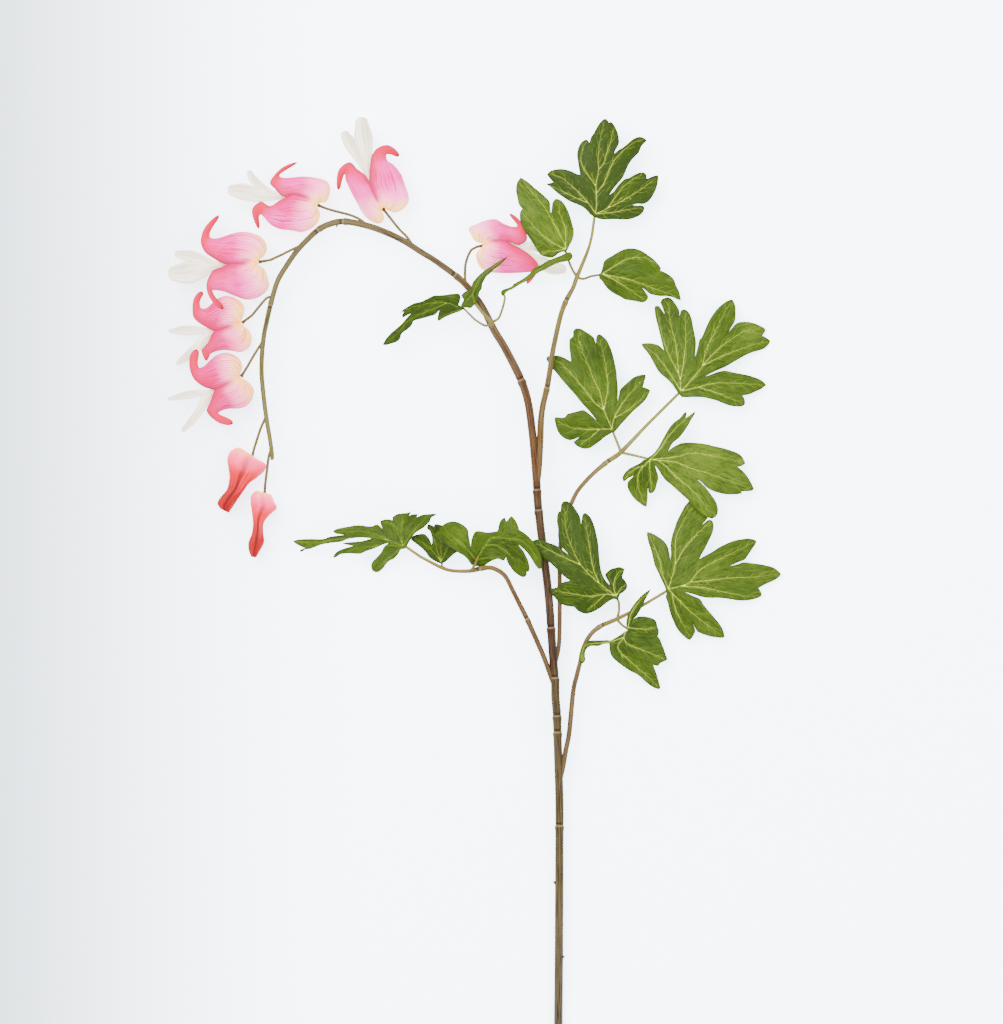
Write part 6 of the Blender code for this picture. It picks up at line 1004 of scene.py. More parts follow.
def bud_red(look):
    """Closed bud: peach crown running through pink to deep red, with dark streaks, dark folds that are
    painted shade, and a painted glow of its own colour.
    """
    paint = Paint("bud_red")
    along, fold, across = (paint.value(n) for n in ("along", "fold", "across"))
    sway = paint.grain(paint.place(), 160.0, 2.0)
    lines = paint.add("ShaderNodeCombineXYZ", {}, {"X": across * 52.0 + sway * 3.0, "Y": along * 2.6,
                                                   "Z": 0.0})
    streak = paint.grain(lines, 1.0, 4.0, 0.62)
    reach = (along + (sway - 0.5) * 0.16 + (streak - 0.5) * 0.12).held()
    body = paint.add("ShaderNodeValToRGB", {"stops": look.stops()}, {"Fac": reach})
    tone = paint.mix(paint.between(streak, 0.52, 0.68) * 0.45, body, look.streak_colour)
    tone = paint.mix((1.0 - paint.between(streak, 0.32, 0.44)) * 0.6, tone, look.streak_and_fold_shade_colour)
    # Painted shade: nearly black red down the creases at the front and back of the bud.
    tone = paint.mix((fold * 0.9).held(), tone, look.streak_and_fold_shade_colour)
    # The bud emits its own colour: a painted glow, though it is no lamp.
    return paint.done(Base_Color=tone, Roughness=0.45, Normal=paint.bump(streak, 0.14 * MM, 0.7),
                      Specular_IOR_Level=0.08, Emission_Color=tone, Emission_Strength=look.painted_glow)


def floor_paint(look):
    """Pale floor, greyer to the left as painted shade where the light falls off, that glows so that shadows
    stay faint.
    """
    paint = Paint("pale_floor")
    sides = paint.add("ShaderNodeSeparateXYZ", {}, {"Vector": paint.place()})
    # Painted shade: greyer toward the left, where the light falls off.
    bright = paint.between(sides, look.shade_falloff_at, look.pale_side)
    return paint.done(Base_Color=paint.mix(bright, look.shade_falloff_colour, look.floor_colour), Roughness=0.9,
                      Specular_IOR_Level=0.1, Emission_Strength=look.floor_glow,
                      Emission_Color=paint.mix(bright, look.shade_falloff_colour, look.glow_colour))


def tube_tree():
    """Geometry nodes: a closed stalk round a path, with shallow flutes along it."""
    tree = bpy.data.node_groups.new("stalk_on_path", "GeometryNodeTree")
    tree.interface.new_socket("Path", in_out="INPUT", socket_type="NodeSocketGeometry")
    for label, kind, default in (("Sides", "NodeSocketInt", 24), ("Flutes", "NodeSocketFloat", 9.0),
                                 ("Flute Depth", "NodeSocketFloat", 0.02),
                                 ("Skin", "NodeSocketMaterial", None)):
        socket = tree.interface.new_socket(label, in_out="INPUT", socket_type=kind)
        if default is not None:
            socket.default_value = default
    tree.interface.new_socket("Stalk", in_out="OUTPUT", socket_type="NodeSocketGeometry")
    nodes = tree.nodes

    def feed(socket, value):
        if isinstance(value, bpy.types.NodeSocket):
            tree.links.new(value, socket)
        else:
            socket.default_value = value

    def add(kind, settings=None, **sockets):
        node = nodes.new(kind)
        for key, setting in (settings or {}).items():
            setattr(node, key, setting)
        for key, value in sockets.items():
            feed(next(s for s in node.inputs if s.name == key.replace("_", " ") and s.enabled), value)
        return node

    def maths(operation, first, second=0.0):
        node = nodes.new("ShaderNodeMath")
        node.operation = operation
        for socket, value in zip(node.inputs, (first, second)):
            feed(socket, value)
        return node.outputs[0]

    start = add("NodeGroupInput")
    path = start.outputs["Path"]
    along = add("GeometryNodeSplineParameter").outputs["Length"]
    kept = add("GeometryNodeCaptureAttribute", Geometry=path)
    kept.capture_items.new("FLOAT", "Length")
    tree.links.new(along, kept.inputs["Length"])
    circle = add("GeometryNodeCurvePrimitiveCircle", Radius=1.0, Resolution=start.outputs["Sides"])
    turned = add("GeometryNodeCaptureAttribute", Geometry=circle.outputs["Curve"])
    turned.capture_items.new("FLOAT", "Share")
    tree.links.new(add("GeometryNodeSplineParameter").outputs["Factor"], turned.inputs["Share"])
    angle = maths("MULTIPLY", turned.outputs["Share"], 2 * math.pi)
    tube = add("GeometryNodeCurveToMesh", Curve=kept.outputs["Geometry"],
               Profile_Curve=turned.outputs["Geometry"], Fill_Caps=True)
    width = add("GeometryNodeInputRadius").outputs[0]
    if "Scale" in tube.inputs:
        tree.links.new(width, tube.inputs["Scale"])
    wave = maths("SINE", maths("MULTIPLY", angle, start.outputs["Flutes"]))
    depth = maths("MULTIPLY", wave, start.outputs["Flute Depth"])
    push = add("ShaderNodeVectorMath", {"operation": "SCALE"},
               Vector=add("GeometryNodeInputNormal").outputs["Normal"], Scale=depth)
    fluted = add("GeometryNodeSetPosition", Geometry=tube.outputs["Mesh"], Offset=push.outputs["Vector"])
    spot = add("ShaderNodeCombineXYZ", X=maths("COSINE", angle), Y=maths("SINE", angle),
               Z=maths("MULTIPLY", kept.outputs["Length"], 1000.0))
    stored = add("GeometryNodeStoreNamedAttribute", {"data_type": "FLOAT_VECTOR"},
                 Geometry=fluted.outputs["Geometry"], Name="round", Value=spot.outputs["Vector"])
    smooth = add("GeometryNodeSetShadeSmooth", Geometry=stored.outputs["Geometry"])
    real = add("GeometryNodeRealizeInstances", Geometry=smooth.outputs["Geometry"])
    dressed = add("GeometryNodeSetMaterial", Geometry=real.outputs["Geometry"],
                  Material=start.outputs["Skin"])
    end = add("NodeGroupOutput")
    tree.links.new(dressed.outputs["Geometry"], end.inputs["Stalk"])
    return tree


def add_stalk(name, tree, rows, sides, flutes, depth, skin, colours, rings=()):
    """One stalk grown along rows of (x, y, z, radius) by geometry nodes, then made a plain mesh.

    colours are (share of the length, colour) stops; rings are places of joints, which show as
    a pale line with a dark edge behind it.
    """
    rows = np.asarray(rows)
    curve = bpy.data.curves.new(name + "_path", "CURVE")
    curve.dimensions = "3D"
    spline = curve.splines.new("POLY")
    spline.points.add(len(rows) - 1)
    spline.points.foreach_set("co", np.column_stack([rows[:, :3], np.ones(len(rows))]).ravel())
    spline.points.foreach_set("radius", rows[:, 3])
    path = shown(name + "_path", curve)
    grow = path.modifiers.new("grow", "NODES")
    grow.node_group = tree
    wanted = {"Sides": sides, "Flutes": float(flutes), "Flute Depth": depth, "Skin": skin}
    for socket in tree.interface.items_tree:
        if socket.in_out == "INPUT" and socket.name in wanted:
            grow[socket.identifier] = wanted[socket.name]
    bpy.context.view_layer.update()
    mesh = bpy.data.meshes.new_from_object(path.evaluated_get(bpy.context.evaluated_depsgraph_get()))
    bpy.data.objects.remove(path, do_unlink=True)
    bpy.data.curves.remove(curve)
    mesh.name = name
    spots = np.empty(len(mesh.vertices) * 3)
    mesh.vertices.foreach_get("co", spots)
    spots = spots.reshape(-1, 3)
    nearest = np.array([int(np.argmin(((rows[:, :3] - spot) ** 2).sum(axis=1))) for spot in spots])
    length = run_lengths(rows[:, :3])
    share = length[nearest] / length[-1]
    stops = np.array([stop for stop, _ in colours])
    channels = [np.interp(share, stops, [tint(code)[k] for _, code in colours]) for k in range(3)]
    set_values(mesh, "skin", np.column_stack([*channels, np.ones(len(share))]), "FLOAT_COLOR")
    ring = np.zeros(len(spots))
    for joint in rings:
        gap = (from_joint(rows, joint) / MM)[nearest]
        ring += bell(gap, PALE_WIDTH) - bell(gap - DARK_AFTER, DARK_WIDTH)
    set_values(mesh, "ring", ring)
    return shown(name, mesh)


def from_joint(rows, joint):
    """Length along the rows from the row nearest to a joint, in metres; positive towards the tip."""
    length = run_lengths(rows[:, :3])
    return length - length[np.argmin(np.linalg.norm(rows[:, :2] - np.array(seen_at(*joint)[:2]), axis=1))]


def stalk_rows(points, joints):
    """Fine rows (x, y, z, radius) along (column, row, height, diameter) points.

    Each joint is a swollen collar with a notch on the side of the tip.
    """
    fine = evenly(vectors(points), STALK_STEP)
    rows = np.column_stack([places(fine[:, :3]), fine[:, 3] * MM / 2])
    for joint in joints:
        gap = from_joint(rows, joint) / MM
        rows[:, 3] *= (1 + COLLAR_SHARE * bell(gap + COLLAR_BEFORE, COLLAR_WIDTH)
                       - NOTCH_SHARE * bell(gap - NOTCH_AFTER, NOTCH_WIDTH))
    return rows


class Sheet:
    """The middle surface of a leaf: a smooth height over the photograph's plane."""

    def __init__(self, heights):
        self.points = np.array([p[:2] for p in heights], dtype=float)
        values = np.array([p[2] for p in heights], dtype=float)
        n = len(values)
        system = np.zeros((n + 3, n + 3))
        system[:n, :n] = self.kernel(np.linalg.norm(self.points[:, None] - self.points[None], axis=2))
        system[:n, n:] = np.column_stack([np.ones(n), self.points])
        system[n:, :n] = system[:n, n:].T
        system[:n, :n] += np.eye(n) * 0.5
        self.weights = np.linalg.solve(system, np.concatenate([values, np.zeros(3)]))

    @staticmethod
    def kernel(distance):
        return distance ** 2 * np.log(np.maximum(distance, 1e-9))

    def heights(self, spots):
        spans = np.linalg.norm(spots[:, None] - self.points[None], axis=2)
        n = len(self.points)
        return self.kernel(spans) @ self.weights[:n] + self.weights[n] + spots @ self.weights[n + 1:]


def smooth_ring(outline, step):
    """A closed outline as a fine curve that keeps its sharp tips and slits."""
    points = vectors(outline)
    count = len(points)
    corners = []
    for i, point in enumerate(points):
        before, after = point - points[i - 1], points[(i + 1) % count] - point
        turn = abs(math.atan2(before[0] * after[1] - before[1] * after[0], float(before @ after)))
        if turn > math.radians(72) or i == 0:
            corners.append(i)
    ring = []
    for first, last in zip(corners, corners[1:] + [corners[0] + count]):
        stretch = [points[i % count] for i in range(first, last + 1)]
        ring += list(evenly(stretch, step)[:-1])
    return np.array(ring)


def inside(spots, ring):
    """Which spots lie in a closed outline."""
    odd = np.zeros(len(spots), dtype=bool)
    for a, b in zip(ring, np.roll(ring, -1, axis=0)):
        cross = (a[1] > spots[:, 1]) != (b[1] > spots[:, 1])
        if cross.any():
            odd ^= cross & (spots[:, 0] < a[0] + (spots[:,
                                                        1] - a[1]) * (b[0] - a[0]) / (b[1] - a[1] + 1e-12))
    return odd


def distances(spots, starts, ends):
    """Distance from every spot to every segment."""
    line = ends - starts
    square = np.maximum((line ** 2).sum(axis=1), 1e-9)
    result = np.empty((len(spots), len(starts)))
    for i in range(0, len(spots), 2000):
        away = spots[i:i + 2000, None] - starts[None]
        share = np.clip((away * line[None]).sum(axis=2) / square[None], 0, 1)
        result[i:i + 2000] = np.linalg.norm(away - share[..., None] * line[None], axis=2)
    return result


def side_veins(ribs, ring, spacing):
    """Short fine veins that leave the main ones at a slant, unevenly to the left and the right."""
    chance = np.random.default_rng(len(ring))
    veins = []
    for rib in ribs:
        length = run_lengths(rib)
        side = 1
        reach = spacing * 0.6
        while reach < length[-1] - 2:
            k = min(max(int(np.searchsorted(length, reach)), 1), len(rib) - 1)
            ahead = rib[k] - rib[k - 1]
            turn = math.atan2(ahead[1], ahead[0]) + side * math.radians(chance.uniform(24, 42))
            spot = rib[k]
            vein = [spot]
            for _ in range(int(chance.integers(4, 10))):
                spot = spot + np.array([math.cos(turn), math.sin(turn)]) * 1.5
                turn += math.radians(chance.uniform(-14, 9)) * side
                others = [np.linalg.norm(other - spot, axis=1).min() for other in ribs if other is not rib]
                if not inside(spot[None], ring)[0] or min(others, default=9.0) < 1.6:
                    break
                vein.append(spot)
            if len(vein) > 2:
                veins.append(np.array(vein))
            side = -side
            reach += spacing * chance.uniform(0.35, 0.85)
    return veins


def leaf_mesh(data, look, shades, veined):
    """Fine blade with the same triangles on both faces; returns vertices, faces and vertex values."""
    step = look.mesh_step
    sheet = Sheet(data["heights"])
    ring = smooth_ring(data["outline"], step)
    ribs = [evenly(vectors(rib), step) for rib in data["ribs"]]
    edge_a, edge_b = ring, np.roll(ring, -1, axis=0)
    low, high = ring.min(axis=0), ring.max(axis=0)
    rows = np.arange(low[1], high[1], step * 0.87)
    grid = np.array([(u + (i % 2) * step / 2, v) for i, v in enumerate(rows)
                     for u in np.arange(low[0], high[0], step)])
    grid = grid[inside(grid, ring)]
    grid = grid[distances(grid, edge_a, edge_b).min(axis=1) > step * 0.55]
    spots = [tuple(p) for p in ring]
    edges = [(i, (i + 1) % len(ring)) for i in range(len(ring))]
    main_segments = []
    kept_ribs = []
    for rib in ribs:
        clear = distances(rib, edge_a, edge_b).min(axis=1) > 0.8
        rib = rib[inside(rib, ring) & clear]
        if len(rib) < 2:
            continue
        kept_ribs.append(rib)
        first = len(spots)
        spots += [tuple(p) for p in rib]
        edges += [(first + i, first + i + 1) for i in range(len(rib) - 1)
                  if np.linalg.norm(rib[i + 1] - rib[i]) < 3 * step]
        length = run_lengths(rib)
        main_segments += [(a, b, 1 - 0.85 * i / len(rib), length[i])
                          for i, (a, b) in enumerate(zip(rib, rib[1:]))]
    side_segments = []
    for vein in side_veins(kept_ribs, ring, look.vein_spacing):
        first = len(spots)
        spots += [tuple(p) for p in vein[1:]]
        edges += [(first + i, first + i + 1) for i in range(len(vein) - 2)]
        side_segments += [(a, b, 1 - 0.85 * i / len(vein), 0.0) for i,
                          (a, b) in enumerate(zip(vein, vein[1:]))]
    near = np.array(spots[len(ring):])
    grid = grid[[float(((near - p) ** 2).sum(axis=1).min()) > (0.5 * step) ** 2 for p in grid]]
    spots += [tuple(p) for p in grid]
    flat = [Vector((u, -v)) for u, v in spots]
    result = delaunay_2d_cdt(flat, edges, [], 1, 1e-5)
    plane = np.array([(p.x, -p.y) for p in result[0]])
    triangles = np.array([t[:3] for t in result[2]])
    a, b, c = (plane[triangles[:, k]] for k in range(3))
    facing = (b[:, 0] - a[:, 0]) * -(c[:, 1] - a[:, 1]) + (b[:, 1] - a[:, 1]) * (c[:, 0] - a[:, 0])
    triangles[facing < 0] = triangles[facing < 0][:, ::-1]
    used = np.unique(triangles)
    number = np.zeros(len(plane), dtype=int)
    number[used] = np.arange(len(used))
    plane, triangles = plane[used], number[triangles]

    def nearest(segments):
        """Gap, power, side and length along the vein of the nearest segment, for every point."""
        starts, ends = (np.array([s[k] for s in segments]) for k in range(2))
        gaps = distances(plane, starts, ends)
        best = gaps.argmin(axis=1)
        gap = gaps[np.arange(len(plane)), best]
        way, away = (ends - starts)[best], plane - starts[best]
        turn = np.sign(way[:, 0] * away[:, 1] - way[:, 1] * away[:, 0])
        along = (way * away).sum(axis=1) / np.maximum(np.linalg.norm(way, axis=1), 1e-6)
        power, reach = (np.array([s[k] for s in segments])[best] for k in (2, 3))
        return gap, power, turn, reach + along

    gap, power, turn, reach = nearest(main_segments)
    side_gap, side_power, _, _ = nearest(side_segments or main_segments[:1])
    vein = power * bell(gap, 0.85)
    broad = power * bell(gap, 4.5)
    fine = side_power * bell(side_gap, 0.62)
    margin = distances(plane, edge_a, edge_b).min(axis=1)
    quilt = 1 - bell(np.minimum(gap, side_gap), 2.4)
    rim = np.clip(margin / 3.0, 0, 1)
    level = sheet.heights(plane) - look.vein_depth / MM * (0.55 * vein + 0.45 * broad) * rim
    level += (0.30 * quilt - 0.10 * fine) * rim
    middle = places(np.column_stack([plane, level]))
    a, b, c = (middle[triangles[:, k]] for k in range(3))
    normals = np.zeros_like(middle)
    for k in range(3):
        np.add.at(normals, triangles[:, k], np.cross(b - a, c - a))
    normals /= np.linalg.norm(normals, axis=1)[:, None]
    thick = look.rim_thickness + (look.thickness - look.rim_thickness) * np.clip(margin / 2.5, 0, 1)
    upper = middle + normals * (thick / 2)[:, None]
    lower = middle - normals * (thick / 2 + look.rib_rise * (vein + 0.3 * fine) * rim)[:, None]
    count = len(middle)
    pairs = {(int(t[k]), int(t[(k + 1) % 3])) for t in triangles for k in range(3)}
    sides = [(p, q) for p, q in pairs if (q, p) not in pairs]
    faces = triangles.tolist() + (triangles[:, ::-1] + count).tolist()
    faces += [(q, p, p + count, q + count) for p, q in sides]
    # Each leaf's tone, then its soft patches of painted sheen and shade.
    tone = np.full(count, float(shades[0]))
    for u, v, radius, amount in shades[1:]:
        tone += 1.4 * amount * np.exp(-((plane[:, 0] - u) ** 2 + (plane[:, 1] - v) ** 2) / radius ** 2)
    values = {"vein": gap, "power": power, "side": side_gap, "side_power": side_power, "edge": margin,
              "tone": tone, "beside": gap * turn, "reach": reach}
    for key in ("power", "side_power"):
        values[key] = values[key] * veined
    values = {name: np.concatenate([value, value]) for name, value in values.items()}
    values["lower"] = np.concatenate([np.zeros(count), np.ones(count)])
    return np.concatenate([upper, lower]), faces, values


def grid_faces(rows, columns, offset=0, closed=False):
    """Quads of a grid of points; closed joins the last column to the first."""
    faces = []
    for r in range(rows - 1):
        for c in range(columns if closed else columns - 1):
            n = (c + 1) % columns
            faces.append((offset + r * columns + c, offset + r * columns + n,
                          offset + (r + 1) * columns + n, offset + (r + 1) * columns + c))
    return faces


def tube_faces(rows, sides):
    """Faces of a closed tube of points, with a cap at each end."""
    caps = [tuple(reversed(range(sides))), tuple(range((rows - 1) * sides, rows * sides))]
    return grid_faces(rows, sides, 0, True) + caps


def petal_points(flower, petal, spread):
    """Rows of points across one outer petal, from its front lip round its back to the other lip."""
    outer, lip, rise = petal
    groove = vectors(flower["groove"])
    ahead = groove[-1] - groove[0]
    across = np.array([-ahead[1], ahead[0]]) / np.linalg.norm(ahead)
    if (np.array(outer[3]) - groove[3]) @ across < 0:
        across = -across
    lips = [p + across * spread for p in groove] + vectors(lip)
    grid = []
    for k, fold in enumerate(outer):
        edge, fold = lips[k], np.array(fold, dtype=float)
        belly = edge + (fold - edge) * 0.52
        level = flower["height"] + rise * HORN_RISE[k]
        near, far = LIP_DEPTH[k] * flower["depth"], BELLY_DEPTH[k] * flower["depth"]
        if k >= 9:
            near, far = max(near, 1.3), max(far, 1.5)
        grid.append([(*edge, level + near), (*belly, level + far), (*fold, level),
                     (*belly, level - far), (*edge, level - near)])
    return np.array(grid)


def petal_mesh(flower, petal, look, turn, lined):
    """One outer petal as a thin closed shell with lengthwise ridges, and its vertex values."""
    coarse = petal_points(flower, petal, PETAL_CLOSING)
    long = np.stack([through(coarse[:, c], look.steps) for c in range(5)], axis=1)
    fine = np.stack([through(row, look.steps) for row in long])
    rows, columns = fine.shape[:2]
    closing = np.clip((np.linspace(0, 1, rows) - 0.955) / 0.045, 0, 1)
    axis = fine.mean(axis=1, keepdims=True)
    fine = axis + (fine - axis) * np.sqrt(1 - 0.94 * closing ** 2)[:, None, None]
    spots = places(fine)
    down = np.gradient(spots, axis=0)
    over = np.gradient(spots, axis=1)
    normals = np.cross(down, over)
    normals /= np.maximum(np.linalg.norm(normals, axis=2), 1e-12)[..., None]
    centre = spots.mean(axis=(0, 1))
    if ((spots - centre) * normals).sum() < 0:
        normals = -normals
    along = np.repeat(np.linspace(0, 1, rows)[:, None], columns, axis=1)
    across = np.repeat(np.linspace(0, 1, columns)[None], rows, axis=0)
    ridges = np.sin(across * 2 * math.pi * look.ridges) * np.sin(along * math.pi) ** 0.7
    outside = spots + normals * (ridges * look.ridge_height)[..., None]
    thick = look.thickness * (0.55 + 0.45 * np.sin(across * math.pi) ** 0.5)
    within = outside - normals * thick[..., None]
    count = rows * columns
    faces = grid_faces(rows, columns)
    faces += [tuple(i + count for i in reversed(face)) for face in faces]
    ring = ([(0, c) for c in range(columns)] + [(r, columns - 1) for r in range(1, rows)]
            + [(rows - 1, c) for c in range(columns - 2, -1, -1)] + [(r, 0) for r in range(rows - 2, 0, -1)])
    ring = [r * columns + c for r, c in ring]
    faces += [(b, a, a + count, b + count) for a, b in zip(ring, ring[1:] + ring[:1])]
    lip = np.minimum(across, 1 - across)
    values = {"along": along, "across": across, "lip": lip, "turn": np.full_like(along, turn),
              "lined": np.full_like(along, lined)}
    values = {name: np.concatenate([value.ravel(), value.ravel()]) for name, value in values.items()}
    values["inside"] = np.concatenate([np.zeros(count), np.ones(count)])
    return np.concatenate([outside.reshape(-1, 3), within.reshape(-1, 3)]), faces, values


def ball(centre, radius, rings=14, sides=20):
    """Closed ball as vertices and faces."""
    vertices = [centre + Vector((0, 0, radius))]
    for i in range(1, rings):
        angle = math.pi * i / rings
        for k in range(sides):
            turn = 2 * math.pi * k / sides
            way = Vector((math.cos(turn) * math.sin(angle), math.sin(turn) * math.sin(angle),
                          math.cos(angle)))
            vertices.append(centre + way * radius)
    vertices.append(centre - Vector((0, 0, radius)))
    last = len(vertices) - 1
    faces = [(0, 1 + k, 1 + (k + 1) % sides) for k in range(sides)]
    faces += grid_faces(rings - 1, sides, 1, True)
    faces += [(last, last - sides + (k + 1) % sides, last - sides + k) for k in range(sides)]
    return np.array(vertices), faces


def joined(name, parts):
    """One object out of several (vertices, faces, values) parts, none of it below the surface."""
    vertices, faces, values = [], [], {}
    offset = 0
    names = {key for part in parts for key in part[2]}
    for spots, part_faces, part_values in parts:
        vertices.append(np.asarray(spots))
        faces += [tuple(i + offset for i in face) for face in part_faces]
        for key in names:
            values.setdefault(key, []).append(part_values.get(key, np.zeros(len(spots))))
        offset += len(spots)
    spots = np.concatenate(vertices)
    spots[:, 2] = np.maximum(spots[:, 2], 0.0)
    piece = add_mesh(name, spots, faces)
    for key in sorted(names):
        set_values(piece.data, key, np.concatenate(values[key]))
    return piece


def tongue_mesh(path, look):
    """One inner petal with a keel and a round tip.

    path holds (column, row, height, half width, half depth) rows.
    """
    fine = through(path, look.steps)
    span = fine[-1, :2] - fine[-2, :2]
    tip = []
    for share in (0.25, 0.5, 0.7, 0.85, 0.95, 0.995):
        wide = math.sqrt(1 - share ** 2)
        row = fine[-1].copy()
        row[:2] += span / np.linalg.norm(span) * share * fine[-1, 3] * 1.25
        row[3:] *= wide
        tip.append(row)
    fine = np.vstack([fine, tip])
    spots = places(fine[:, :3])
    ahead = np.gradient(spots, axis=0)
    side = np.cross(ahead, np.array([0, 0, 1.0]))
    side /= np.linalg.norm(side, axis=1)[:, None]
    up = np.cross(side, ahead)
    up /= np.linalg.norm(up, axis=1)[:, None]
    sides = look.sides
    angle = np.arange(sides) / sides * 2 * math.pi
    wide = (fine[:, 3] * MM)[:, None, None] * np.cos(angle)[None, :, None]
    keel = 1 + 0.55 * bell(np.cos(angle), 0.28)
    cup = 1 - 0.35 * bell(np.abs(np.cos(angle)) - 0.55, 0.22)
    deep = (fine[:, 4] * MM)[:, None, None] * (np.sin(angle) * keel * cup * 0.8)[None, :, None]
    vertices = spots[:, None] + side[:, None] * wide + up[:, None] * deep
    rows = len(spots)
    faces = tube_faces(rows, sides)
    along = np.repeat(np.linspace(0, 1, rows)[:, None], sides, axis=1)
    across = np.repeat(((np.cos(angle) + 1) / 2)[None], rows, axis=0)
    values = {"along": along.ravel(), "across": across.ravel(), "keel": np.abs(across - 0.5).ravel() * 2}
    return vertices.reshape(-1, 3), faces, values


def inner_paths(flower):
    """Rows of the white inner petals: a thin claw inside the heart, then the spoon of each."""
    groove = vectors(flower["groove"])
    seat = np.array(flower["seat"], dtype=float)
    ahead = (groove[3] - seat) / np.linalg.norm(groove[3] - seat)
    start = seat + ahead * (RECEPTACLE + GAP) / SCALE
    height = flower["height"]
    paths = []
    for i, path in enumerate(flower["inner"]):
        rows = [(*start, height, 0.55, 0.55)] if i == 0 else []
        rows.append((*groove[4], height, 0.8, 0.7))
        full = path[2][2]
        blunt = full * 0.78 if full > 6 else path[3][2]
        widths = [path[0][2], path[1][2] * 1.1, full * 1.15, max(path[3][2], blunt)]
        rows += [(u, v, height, width / 2, deep)
                 for (u, v, _), width, deep in zip(path, widths, (0.9, 1.0, 0.95, 0.75))]
        paths.append(rows)
    return paths


def bud_mesh(bud, look):
    """Closed bud: a pouch that narrows to a blunt snout, creased down its front and back."""
    rows = np.array([(*left, *right, deep) for left, right, deep in bud["stations"]], dtype=float)
    fine = through(rows, look.steps)
    left = places(np.column_stack([fine[:, :2], np.full(len(fine), bud["height"])]))
    right = places(np.column_stack([fine[:, 2:4], np.full(len(fine), bud["height"])]))
    centre, half = (left + right) / 2, (right - left) / 2
    sides = look.sides
    angle = (np.arange(sides) + 0.5) / sides * 2 * math.pi
    crease = bell(np.cos(angle), 0.13)
    share = np.linspace(0, 1, len(fine))[:, None]
    strong = 0.10 + 0.22 * np.sin(share * math.pi)
    depth = (fine[:, 4] * MM)[:, None] * np.sin(angle)[None] * (1.05 - strong * crease[None])
    vertices = centre[:, None] + half[:, None] * np.cos(angle)[None, :, None]
    vertices[..., 2] += depth
    count = len(fine)
    faces = tube_faces(count, sides)
    along = np.repeat(share, sides, axis=1)
    across = np.repeat((angle / (2 * math.pi))[None], count, axis=0)
    # Where the creases are, for the painted shade in them.
    fold = np.repeat(bell(np.cos(angle), 0.16)[None], count, axis=0) * np.clip(along * 1.6, 0, 1)
    values = {"along": along.ravel(), "across": across.ravel(), "fold": fold.ravel()}
    return vertices.reshape(-1, 3), faces, values


def tinted(label, words, code):
    """A colour property with its default written as hex digits."""
    return bpy.props.FloatVectorProperty(name=label, description=words, subtype="COLOR", size=3,
                                         min=0.0, max=1.0, default=tint(code))


def metres(label, words, default):
    """A length property, shown finely enough for parts of a millimetre."""
    return bpy.props.FloatProperty(name=label, description=words, default=default, unit="LENGTH",
                                   precision=5)


class HeartStemLook(bpy.types.PropertyGroup):
    """Sizes and colours of the stem, the leaf stalks and the flower stalks."""

    sides: bpy.props.IntProperty(name="Sides", description="Facets round the main stem", default=32, min=8)
    flutes: bpy.props.IntProperty(name="Flutes", description="Shallow grooves round the main stem",
                                  default=9)
    flute_depth: metres("Flute depth", "Depth of the grooves", 0.06 * MM)
    pedicel: metres("Flower stalk", "Diameter of a flower stalk", 1.7 * MM)
    swell: bpy.props.FloatProperty(name="Leaf stalk width", description="Leaf stalk width over the solid's",
                                   default=1.3)
    thinnest: metres("Thinnest", "Least radius of a leaf stalk", 0.92 * MM)
    knob: metres("Knob", "Diameter of the swelling under a flower", 2.3 * MM)
    streak_colour: tinted("Streaks", "Dark lengthwise streaks, as a multiplier", "7A6858")
    light_colour: tinted("Flecks", "What a light fleck adds to the skin", "2E281A")
    ring_colour: tinted("Joints", "Pale line at a joint", "7C6A46")


class HeartLeafLook(bpy.types.PropertyGroup):
    """Sizes and colours of the leaf blades."""

    mesh_step: bpy.props.FloatProperty(name="Mesh step", description="Photo pixels between blade points",
                                       default=1.1, min=0.4)
    vein_spacing: bpy.props.FloatProperty(name="Vein spacing", description="Photo pixels between side veins",
                                          default=9.0, min=2.0)
    vein_depth: metres("Vein depth", "How far a main vein sinks", 0.5 * MM)
    rib_rise: metres("Rib rise", "How far a vein stands out below", 0.22 * MM)
    thickness: metres("Thickness", "Thickness of the blade", 0.6 * MM)
    rim_thickness: metres("Rim thickness", "Thickness of the blade's edge", 0.3 * MM)
    # Painted shade in the creases, and the darker edge of a blade.
    crease_shade_and_edge_colour: tinted("Dark green", "Creases and the edge of a blade", "162403")
    deep_colour: tinted("Deep green", "Darker patches of a blade", "1D2B03")
    mid_colour: tinted("Mid green", "Main colour of a blade", "2B3C04")
    # Light streaks, and the painted light on the raised side of the creases.
    light_colour: tinted("Light green", "Light streaks of a blade", "455612")
    vein_colour: tinted("Veins", "Bright yellow-green of the veins", "AABA38")
    under_colour: tinted("Underside", "Paler green of the lower face", "45531B")


